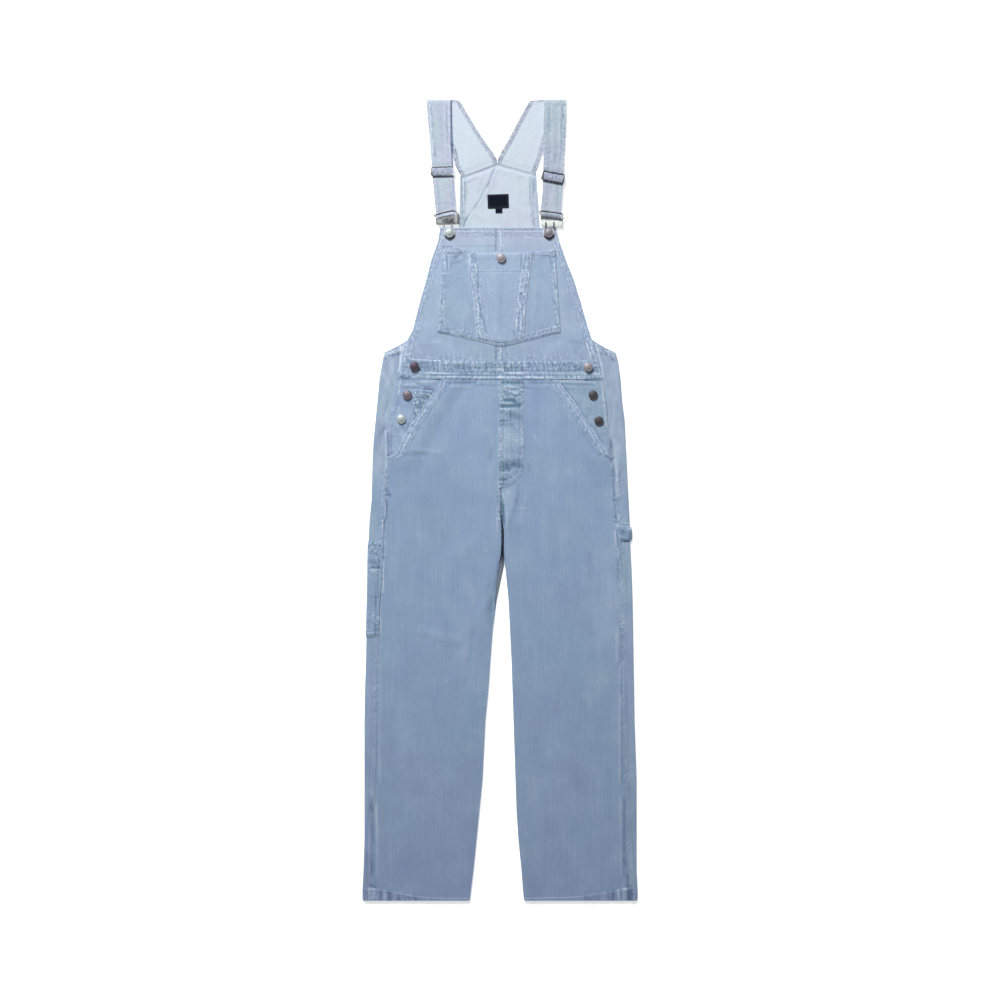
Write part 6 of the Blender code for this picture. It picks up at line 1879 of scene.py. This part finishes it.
CLASP_METAL = make_clasp_metal("nickel_with_painted_shading", (0.86, 0.91, 0.88, 1), (0.018, 0.024, 0.042, 1))
PURPLE_METAL = make_clasp_metal("purple_nickel_with_painted_shading", (0.84, 0.86, 0.83, 1), (0.036, 0.012, 0.042, 1))


# %% [markdown]
# ### Buttons
# A shank button is stamped from sheet metal: a stem, a rolled rim and a domed cap with a shallow
# ring. All of that is one profile turned about the button's axis.

# %% Buttons
BUTTONS = {
    "button_waist_right": (-171, 273.5, COPPER_DARK), "button_waist_left": (176, 272, COPPER_PALE),
    "button_side_right_upper": (-185, 216.5, COPPER), "button_side_right_lower": (-197.5, 168, PEWTER),
    "button_side_left_upper": (186, 216.5, COPPER_BLACK),
    "button_side_left_lower": (197.5, 164.5, COPPER_BLACK),
    "button_bib_pocket": (2, 490, COPPER_PALE),
    "button_bib_right": (-101, 540, PEWTER), "button_bib_left": (97.5, 540, PEWTER_DARKER),
}
BUTTON_SIDES = 48
STEM = 1.4
BIB_STEM = 3.4                  # the loop of the clasp hooks round this longer stem


def turned_piece(name, profile, centre, z, material, tilt):
    """Turns a profile of (radius, height) about a nearly upright axis, in millimetres."""
    sides = BUTTON_SIDES
    points, faces = [], []
    count = len(profile)
    angles = np.linspace(0, 2 * math.pi, sides, endpoint=False)
    for radius, height in profile:
        for a in angles:
            px, py = radius * math.cos(a), radius * math.sin(a)
            points.append((centre[0] + px, centre[1] + py, z + height + px * tilt[0] + py * tilt[1]))
    for i in range(count - 1):
        for k in range(sides):
            n = (k + 1) % sides
            faces.append((i * sides + k, i * sides + n, (i + 1) * sides + n, (i + 1) * sides + k))
    low, high = len(points), len(points) + 1
    points.append((centre[0], centre[1], z + profile[0][1]))
    points.append((centre[0], centre[1], z + profile[-1][1] + 0.02))
    faces += [(low, (k + 1) % sides, k) for k in range(sides)]
    last = (count - 1) * sides
    faces += [(high, last + k, last + (k + 1) % sides) for k in range(sides)]
    mesh = bpy.data.meshes.new(name)
    mesh.from_pydata(to_frame(points).tolist(), [], faces)
    mesh.shade_smooth()
    mesh.set_sharp_from_angle(angle=math.radians(55))
    piece = new_object(name, mesh)
    piece.data.materials.append(material)
    return piece


def button_profile(stem):
    radius = BUTTON_RADIUS
    profile = [(3.4, 0.0), (3.2, stem * 0.5), (3.6, stem), (radius - 1.6, stem + 0.1)]
    for degrees in range(-80, 91, 17):
        profile.append((radius - 0.75 + 0.75 * math.cos(math.radians(degrees)),
                        stem + 0.85 + 0.75 * math.sin(math.radians(degrees))))
    profile += [(radius - 1.5, stem + 1.45), (radius - 2.1, stem + 1.4)]
    for part in np.linspace(0.74, 0.03, 9):
        profile.append((radius * part, stem + 1.45 + 0.70 * math.cos(part * math.pi / 1.62)))
    return profile


def make_button(name, x, y, metal):
    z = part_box(name)[0][2] / MM
    stem = BIB_STEM if name in ("button_bib_right", "button_bib_left") else STEM
    piece = turned_piece(name + "_metal", button_profile(stem), (x, y), z, metal,
                         tilt=(0.03 * math.sin(x), 0.03 * math.cos(y)))
    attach(piece, BODY)
    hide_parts(name)


for name, (x, y, metal) in BUTTONS.items():
    make_button(name, x, y, metal)
print("buttons:", len(BUTTONS))

# %% [markdown]
# ### Slides and clasps
# A slide is a frame of wire. A clasp has a bar that the strap runs under, a plate that the strap's
# end is folded round, and a loop of wire that hooks under the bib button.

# %% Slides and clasps
WIRE_SIDES = 12
CORNER_STEPS = 6


def wire(points, radius, closed):
    """Points and faces of a round wire bent along a path, in millimetres."""
    sides = WIRE_SIDES
    path = np.asarray(points, float)
    count = len(path)
    ahead, behind = np.roll(path, -1, 0), np.roll(path, 1, 0)
    if not closed:
        ahead[-1], behind[0] = path[-1], path[0]
    along = ahead - behind
    along /= np.linalg.norm(along, axis=1)[:, None]
    across = np.cross((0, 0, 1.0), along)
    across /= np.linalg.norm(across, axis=1)[:, None]
    up = np.cross(along, across)
    verts, faces = [], []
    radius = np.broadcast_to(radius, (count,))
    for i in range(count):
        for k in range(sides):
            a = 2 * math.pi * k / sides
            verts.append(path[i] + (across[i] * math.cos(a) + up[i] * math.sin(a)) * radius[i])
    for i in range(count if closed else count - 1):
        for k in range(sides):
            j, n = (i + 1) % count, (k + 1) % sides
            faces.append((i * sides + k, i * sides + n, j * sides + n, j * sides + k))
    if not closed:
        faces.append(tuple(range(sides))[::-1])
        faces.append(tuple((count - 1) * sides + k for k in range(sides)))
    return [tuple(v) for v in verts], faces


def round_rectangle(width, height, corner):
    points = []
    for quarter, (sx, sy) in enumerate(((1, 1), (-1, 1), (-1, -1), (1, -1))):
        for k in range(CORNER_STEPS + 1):
            a = math.radians(90 * quarter + 90 * k / CORNER_STEPS)
            points.append((sx * (width / 2 - corner) + corner * math.cos(a),
                           sy * (height / 2 - corner) + corner * math.sin(a)))
    return points


def turned_path(points, degrees, centre, z):
    c, s = math.cos(math.radians(degrees)), math.sin(math.radians(degrees))
    return [(centre[0] + x * c - y * s, centre[1] + x * s + y * c, z) for x, y in points]


def metal_object(name, shapes, material, replaces, shine):
    """Joins closed shapes, each (points, faces) in millimetres; shine gives each point's painted brightness,
    which stands in for light and shade.
    """
    verts, faces = [], []
    for points, quads in shapes:
        base = len(verts)
        verts += to_frame(points).tolist()
        faces += [tuple(base + i for i in face) for face in quads]
    mesh = bpy.data.meshes.new(name)
    mesh.from_pydata(verts, [], faces)
    mesh.shade_smooth()
    mesh.set_sharp_from_angle(angle=math.radians(50))
    every = np.concatenate([np.asarray(points, float) for points, _ in shapes])
    layer = mesh.attributes.new("shine", "FLOAT", "POINT")
    layer.data.foreach_set("value", np.clip(shine(every[:, 0], every[:, 1]), 0, 1).astype(np.float32))
    piece = new_object(name, mesh)
    piece.data.materials.append(material)
    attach(piece, BODY)
    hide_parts(replaces)
    return piece


def strap_middle(side, y):
    rows = STRAP_FRONT[side]
    ys = [(row[1] + row[3]) / 2 for row in rows]
    outer, inner = at(ys, [row[0] for row in rows], y), at(ys, [row[2] for row in rows], y)
    return float(outer + inner) / 2, float(abs(outer - inner))


def strap_top(side, y):
    front = STRAP_FRONT[side]
    part = smooth((front[0][1] - y) / (front[0][1] - front[-1][1]))
    return 2 * STRAP_CLOTH + 2 * GAP + STRAP_END_RISE * float(part)


def make_slider(side):
    middle_y, tilt = SLIDER[side]
    middle, width = strap_middle(side, middle_y)
    z = strap_top(side, middle_y) + GAP + 1.5
    outline = turned_path(round_rectangle(width + 2.0, 18.5, 3.0), tilt, (middle, middle_y), z)
    slope = math.tan(math.radians(tilt))
    lower = smooth(0.5 - (np.array([py - middle_y - slope * (px - middle) for px, py, _ in outline])) / 8)
    thin, thick = (0.8, 1.5) if side == "right" else (1.1, 2.0)
    radius = thin + (thick - thin) * lower
    half = width / 2 + 1.0

    def shine(x, y):
        """Painted shade on the lower bar; a painted highlight on the right slide's inner end, but for one
        spot.
        """
        u, v = (x - middle) / half, y - middle_y - slope * (x - middle)
        upper = smooth(0.5 + v / 8)
        uneven = 0.06 * noise1(x / 4, 191)
        if side == "right":
            end = smooth((u - 0.86) / 0.08)
            return 0.42 * upper * (1 - end) + end * (0.95 - 0.95 * bump((v - 1.5) / 2.6)) + uneven
        return 0.10 * upper + 0.45 * bump(u / 0.07) * (1 - upper) + 0.30 * bump((u + 1) / 0.06) + uneven

    metal_object("slider_" + side + "_wire", [wire(outline, radius, True)], CLASP_METAL, "slider_" + side,
                 shine)


def plate_shape(width, height, low, high, degrees, centre):
    """A rounded bar: one arched section drawn along its length, smaller at both ends."""
    points, faces = [], []
    arch = [(-0.5, 0.1), (-0.5, 0.35), (-0.46, 0.62), (-0.38, 0.82), (-0.25, 0.94), (-0.1, 1.0), (0.1, 1.0),
            (0.25, 0.94), (0.38, 0.82), (0.46, 0.62), (0.5, 0.35), (0.5, 0.1), (0.44, 0.0), (-0.44, 0.0)]
    ends = [(0.0, 0.55), (0.006, 0.78), (0.02, 0.92), (0.05, 1.0)]
    along = ends + [(part, 1.0) for part in np.linspace(0.1, 0.9, 9)] + [(1 - a, b) for a, b in ends[::-1]]
    for part, size in along:
        flat = [((part - 0.5) * width, v * height * size) for v, _ in arch]
        level = [low + (high - low) * (0.5 + (h - 0.5) * size) for _, h in arch]
        points += [(px, py, z) for (px, py, _), z in zip(turned_path(flat, degrees, centre, 0), level)]
    count = len(arch)
    for i in range(len(along) - 1):
        for k in range(count):
            n = (k + 1) % count
            faces.append((i * count + k, (i + 1) * count + k, (i + 1) * count + n, i * count + n))
    faces.append(tuple(range(count)))
    faces.append(tuple((len(along) - 1) * count + k for k in range(count))[::-1])
    return points, faces


def smooth_path(points, per=6):
    """A round path through a few points."""
    path = np.asarray(points, float)
    padded = np.concatenate((path[:1] * 2 - path[1:2], path, path[-1:] * 2 - path[-2:-1]))
    out = []
    for i in range(1, len(padded) - 2):
        p0, p1, p2, p3 = padded[i - 1:i + 3]
        for t in np.linspace(0, 1, per, endpoint=False):
            out.append(0.5 * (2 * p1 + (p2 - p0) * t + (2 * p0 - 5 * p1 + 4 * p2 - p3) * t * t
                              + (3 * p1 - p0 - 3 * p2 + p3) * t ** 3))
    out.append(path[-1])
    return out


CLASPS = {                      # plate: centre, width, height and turn; then the two wires of the neck
    "right": {"centre": (-105.5, 567.0), "width": 46.0, "height": 20.5, "turn": 2.5, "neck": (-112.0, -96.0)},
    "left": {"centre": (103.5, 560.5), "width": 44.0, "height": 18.0, "turn": -3.5, "neck": (91.5, 107.5)},
}
LOOP_SHAPE = ((-9.2, 6.0), (-9.8, 0.0), (-9.0, -4.6), (-5.8, -8.6), (-1.8, -11.2), (0.0, -11.6),
              (1.8, -11.2), (5.8, -8.6), (9.0, -4.6), (9.8, 0.0), (9.2, 6.0))


def plate_shine(side, x, y):
    """Painted reflections: the right plate is dark and light only near its ends; the left one is bright,
    darker towards its top.
    """
    shape = CLASPS[side]
    u, v = (x - shape["centre"][0]) / shape["width"] + 0.5, (y - shape["centre"][1]) / shape["height"]
    if side == "left":
        return 1.0 - 0.75 * smooth((v - 0.12) / 0.25) - 0.25 * bump((u - 0.98) / 0.05)
    light = 0.28 * bump((u - 0.15) / 0.14) * bump((v + 0.25) / 0.25) + 0.40 * bump((u - 0.89) / 0.025)
    return (0.25 + light - 0.12 * bump((u - 0.60) / 0.24) + 0.30 * smooth((-0.40 - v) / 0.08)
            - 0.2 * smooth((u - 0.94) / 0.03))


def loop_shine(side, y):
    """Painted reflections: necks and the lower arc are dark; the sides of the loop are bright."""
    _, button_y, _ = BUTTONS["button_bib_" + side]
    rise = y - button_y
    dark_neck = 0.45 if side == "right" else 1.0
    return (0.80 * smooth((rise + 6) / 4) * (1 - dark_neck * smooth((rise - 8) / 4)) + 0.02
            - 0.4 * bump((rise - 14) / 2.0))


def bow_shine(x, y):
    return 0.25 + 0.12 * noise1(x / 5, 193)


def make_buckle(side):
    shape = CLASPS[side]
    button_x, button_y, _ = BUTTONS["button_bib_" + side]
    low_z = float(bib_top(button_x, button_y)) + 0.5 + GAP + 0.4
    plate = plate_shape(shape["width"], shape["height"], low_z, low_z + 2.5, shape["turn"], shape["centre"])
    top_z = strap_top(side, 583) + 1.3
    reach = shape["width"] / 2 - 1
    ends = turned_path([(-reach, 4), (reach, 4)], shape["turn"], shape["centre"], low_z + 1.2)
    bar = [(px, py, top_z) for px, py in CLASP_BAR[side]]
    bow = [ends[0], (ends[0][0] - 1.0, (ends[0][1] + bar[0][1]) / 2, (low_z + 1.2 + top_z) / 2)] + bar
    bow += [(ends[1][0] + 1.0, (ends[1][1] + bar[-1][1]) / 2, (low_z + 1.2 + top_z) / 2), ends[1]]
    left, right = shape["neck"]
    neck_z = low_z + (1.2 if side == "right" else 3.2)
    neck_y = shape["centre"][1] - (7 if side == "right" else -1)
    loop = [(left, neck_y, neck_z), (left, button_y + 13, neck_z)]
    loop += [(button_x + px, button_y + py, low_z + 0.9) for px, py in LOOP_SHAPE]
    loop += [(right, button_y + 13, neck_z), (right, neck_y, neck_z)]
    metal_object("buckle_" + side + "_plate", [plate], CLASP_METAL, "buckle_" + side,
                 lambda x, y: plate_shine(side, x, y))
    metal_object("buckle_" + side + "_bow", [wire(smooth_path(bow, 4), 1.05, False)], CLASP_METAL,
                 "buckle_" + side, bow_shine)
    metal_object("buckle_" + side + "_loop", [wire(smooth_path(loop, 5), 1.25, False)],
                 CLASP_METAL if side == "right" else PURPLE_METAL, "buckle_" + side,
                 lambda x, y: loop_shine(side, y))


for side in SIDES:
    make_slider(side)
    make_buckle(side)
print("slides and clasps made")

# %% [markdown]
# ## Stitches
# Topstitching is what holds every band down. Geometry Nodes lay it: a path is cut into points one
# stitch apart, and a small thread capsule is put on each, turned along the path. The paths are
# first dropped onto the cloth, so the thread follows each pucker.

# %% Stitch tree
STITCH_PITCH = 3.5
THREAD_RADIUS = 0.42
THREAD_SINK = 0.1
PATH_STEP = 2.0


def make_thread():
    made, tree, shader = new_material("pale_blue_thread")
    set_inputs(shader, {"Base Color": (0.40, 0.50, 0.66, 1), "Roughness": 0.7})
    twist = object_noise(tree, 900.0)
    link(tree, mix_colour(tree, twist, (0.28, 0.37, 0.52, 1), (0.52, 0.62, 0.76, 1)),
         shader.inputs["Base Color"])
    return made


THREAD = make_thread()


def stitch_mesh():
    """One stitch: a short capsule along X with five sides, in metres."""
    half, radius, sides = 1.35, THREAD_RADIUS, 5
    rings = ((-half, 0.35), (-half * 0.55, 1.0), (half * 0.55, 1.0), (half, 0.35))
    points = [(x * MM, radius * r * math.cos(2 * math.pi * k / sides) * MM,
               radius * r * math.sin(2 * math.pi * k / sides) * MM) for x, r in rings for k in range(sides)]
    faces = [(i + k, i + sides + k, i + sides + (k + 1) % sides, i + (k + 1) % sides)
             for i in (0, sides, 2 * sides) for k in range(sides)]
    faces += [tuple(range(sides)), tuple(range(15, 20))[::-1]]
    mesh = bpy.data.meshes.new("one_stitch")
    mesh.from_pydata(points, [], faces)
    return mesh


def stitch_tree():
    tree = bpy.data.node_groups.new("lay_stitches", "GeometryNodeTree")
    for label, kind in (("Paths", "Geometry"), ("Pitch", "Float"), ("Stitch", "Object"),
                        ("Thread", "Material"), ("Seed", "Int")):
        tree.interface.new_socket(label, in_out="INPUT", socket_type="NodeSocket" + kind)
    tree.interface.new_socket("Stitches", in_out="OUTPUT", socket_type="NodeSocketGeometry")
    take, give = tree.nodes.new("NodeGroupInput"), tree.nodes.new("NodeGroupOutput")
    curve = tree.nodes.new("GeometryNodeMeshToCurve")
    cut = tree.nodes.new("GeometryNodeCurveToPoints")
    cut.mode = "LENGTH"
    put = tree.nodes.new("GeometryNodeInstanceOnPoints")
    info = tree.nodes.new("GeometryNodeObjectInfo")
    aim = tree.nodes.new("FunctionNodeAlignRotationToVector")
    aim.axis = "X"
    jitter = tree.nodes.new("FunctionNodeRandomValue")
    jitter.data_type = "FLOAT"
    jitter.inputs[2].default_value = 0.85
    jitter.inputs[3].default_value = 1.1
    real = tree.nodes.new("GeometryNodeRealizeInstances")
    paint = tree.nodes.new("GeometryNodeSetMaterial")
    for a, out, b, into in (
            (take, "Paths", curve, "Mesh"), (curve, "Curve", cut, "Curve"), (take, "Pitch", cut, "Length"),
            (cut, "Points", put, "Points"), (cut, "Tangent", aim, "Vector"),
            (aim, "Rotation", put, "Rotation"), (take, "Stitch", info, "Object"),
            (info, "Geometry", put, "Instance"), (take, "Seed", jitter, "Seed"),
            (jitter, 1, put, "Scale"), (put, "Instances", real, "Geometry"),
            (real, "Geometry", paint, "Geometry"),
            (take, "Thread", paint, "Material"), (paint, "Geometry", give, "Stitches")):
        tree.links.new(a.outputs[out], b.inputs[into])
    return tree


STITCH_TREE = stitch_tree()
STITCH_SHAPE = bpy.data.objects.new("stitch_shape", stitch_mesh())


def drop(search, points):
    """Drops a path onto the cloth; points that miss it end the run."""
    runs, run = [], []
    for x, y in points:
        hit = search.ray_cast(Vector((x * MM, (y - MIDDLE_Y) * MM, 0.05)), DOWN)[0]
        if hit is None:
            if len(run) > 1:
                runs.append(run)
            run = []
        else:
            run.append((hit.x, hit.y, hit.z + (THREAD_RADIUS - THREAD_SINK) * 0.5 * MM))
    if len(run) > 1:
        runs.append(run)
    return runs


def fine_path(points):
    points = np.asarray(points, float)
    out = [points[0]]
    for a, b in zip(points[:-1], points[1:]):
        count = max(1, int(round(float(np.hypot(*(b - a))) / PATH_STEP)))
        out += [a + (b - a) * k / count for k in range(1, count + 1)]
    return out


def inset(points, distance):
    """The same path moved to its left."""
    points = np.asarray(points, float)
    along = np.gradient(points, axis=0)
    along /= np.linalg.norm(along, axis=1)[:, None]
    return points + distance * np.stack((-along[:, 1], along[:, 0]), 1)


def sew(name, on, paths, seed):
    """Lays stitches along paths on the named pieces and makes them one plain mesh."""
    search = cloth_tree(*on)
    verts, edges = [], []
    for path in paths:
        for run in drop(search, fine_path(path)):
            base = len(verts)
            verts += run
            edges += [(base + i, base + i + 1) for i in range(len(run) - 1)]
    mesh = bpy.data.meshes.new(name + "_paths")
    mesh.from_pydata(verts, edges, [])
    host = new_object(name + "_paths", mesh)
    modifier = host.modifiers.new("stitches", "NODES")
    modifier.node_group = STITCH_TREE
    ids = {item.name: item.identifier for item in STITCH_TREE.interface.items_tree if item.in_out == "INPUT"}
    modifier[ids["Pitch"]] = STITCH_PITCH * MM
    modifier[ids["Stitch"]] = STITCH_SHAPE
    modifier[ids["Thread"]] = THREAD
    modifier[ids["Seed"]] = seed
    depsgraph = bpy.context.evaluated_depsgraph_get()
    made = bpy.data.meshes.new_from_object(host.evaluated_get(depsgraph))
    bpy.data.objects.remove(host)
    made.name = name
    made.shade_smooth()
    if not made.materials:
        made.materials.append(THREAD)
    piece = new_object(name, made)
    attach(piece, BODY)
    print(name, len(made.polygons), "faces")
    return piece


# %% [markdown]
# The rows of stitches are named by the seam that they hold. Each double row is the band's own edge
# moved in twice.

# %% Stitch rows
def double(path, width):
    return [inset(path, 0.25 * width), inset(path, 0.75 * width)]


def leg_rows(side):
    turn = sign_of(side)
    mouth = np.array([(front_edge(side, v), v) for v in np.linspace(246, 96, 40)])[::-turn]
    placket = np.array([(side_edge(side, v), v) for v in np.linspace(246, 100, 30)])[::-turn]
    rows = double(seam_path(side, 70, HEM_Y, offset=SEAM_GAP)[::turn], SEAM_WIDTH)
    rows += double(mouth, BAND_WIDTH["mouth"])
    part = np.linspace(0, 1, 40)
    outer, inner = leg_x(side + "_outer", HEM_Y), leg_x(side + "_inner", HEM_Y)
    xs = outer - turn * 3 + (inner - outer + turn * 5) * part
    rows.append(np.stack((xs, HEM_Y + np.interp(part, *HEM_LINE[side])), 1))
    return rows + double(placket, BAND_WIDTH["placket"])


for side in SIDES:
    pieces = ["leg_front_" + side, "leg_back_" + side, "side_front_" + side]
    sew("stitches_leg_" + side, pieces, leg_rows(side), 3)


def bib_rows():
    rows = []
    for side in SIDES:
        ys = np.linspace(549, 292, 40)
        edge = np.stack((bib_edge(side, ys), ys), 1)[::-sign_of(side)]
        rows += double(edge, BAND_WIDTH["bib_side"])
    rows += double([(117.0, BIB_TOP_Y), (-124.0, BIB_TOP_Y)], BAND_WIDTH["bib_top"])
    return rows + double([(BIB_SEAM_X, 548.0), (BIB_SEAM_X, 290.0)], BAND_WIDTH["bib_seam"])


def pocket_rows():
    return [row for rim in pocket_rims() for row in double(*rim)]


def centre_rows():
    down = np.linspace(0, 1, 20)
    ys = CENTRE_TOP + (CENTRE_FOOT - CENTRE_TOP) * down
    right, left = (np.stack((edge, ys), 1) for edge in centre_sides(down))
    rows = double(right, BAND_WIDTH["centre"]) + double(left[::-1], BAND_WIDTH["centre"])
    return rows + [[(-60, CROSS_ROW_Y), (56, CROSS_ROW_Y)]]


def waist_rows():
    rows = []
    for part in (0.05, 0.62, 0.80):
        across = np.linspace(0.01, 0.99, 80)
        top_y, bottom_y = waistband_edges(across)
        y = top_y + (bottom_y - top_y) * part
        start, end = side_edge("right", y), side_edge("left", y)
        rows.append(np.stack((start + (end - start) * across, y), 1))
    return rows


def fly_rows():
    ys = np.linspace(FLY_TOP - 1, FLY_END + 2, 60)
    right = np.stack((fly_edge(ys), ys), 1)
    edge = [(FLY_LEFT, v) for v in np.linspace(FLY_TOP, FLY_END, 20)]
    rows = double(edge, BAND_WIDTH["fly"]) + double(right[::-1], BAND_WIDTH["fly"])
    return rows + [[(20.0, 190.0), (20.0, 80.0)]]


def coin_rows():
    return (double([(-133, COIN_TOP), (-172, COIN_TOP)], BAND_WIDTH["coin_top"])
            + double([(COIN_SIDE, 222), (COIN_SIDE, 172)], BAND_WIDTH["coin_side"]))


def back_rows():
    ys = np.linspace(648, 556, 20)
    right, left = (np.stack((at(BACK_BIB_SIDES["y"], BACK_BIB_SIDES[side], ys), ys), 1) for side in SIDES)
    rows = double(right, BAND_WIDTH["back_side"]) + double(left[::-1], BAND_WIDTH["back_side"])
    return rows + [back_top_path()]


def strap_rows(side):
    rows = []
    for part in (0.2, 0.8):
        rows.append([(row[0] + (row[2] - row[0]) * part, row[1] + (row[3] - row[1]) * part)
                     for row in between(STRAP_FRONT[side], 6.0)])
    for column in (0, 2):
        line = np.array([(row[column], row[column + 1]) for row in between(STRAP_BACK[side], 6.0)])
        rows.append(inset(line, 8.2 if (column == 0) == (side == "left") else -8.2))
    return rows


ROWS = {"bib": (("bib_front_right", "bib_front_left"), bib_rows),
        "bib_pocket": (("bib_pocket",), pocket_rows),
        "pocket_centre": (("bib_pocket_centre",), centre_rows),
        "waistband": (("waistband",), waist_rows),
        "fly": (("fly",), fly_rows),
        "coin_pocket": (("coin_pocket",), coin_rows),
        "back_bib": (("bib_back",), back_rows)}
for seed, (name, (on, rows)) in enumerate(ROWS.items()):
    sew("stitches_" + name, on, rows(), 4 + seed)
for side in SIDES:
    sew("stitches_strap_" + side, ["strap_" + side], strap_rows(side), 11)

# %% [markdown]
# ## Finish
# The box of the dressed model is kept beside the box of the solids, so that any growth shows.

# %% Finish
{"cad": [list(corner) for corner in CAD_BOX], "visual": [list(corner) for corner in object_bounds()]}
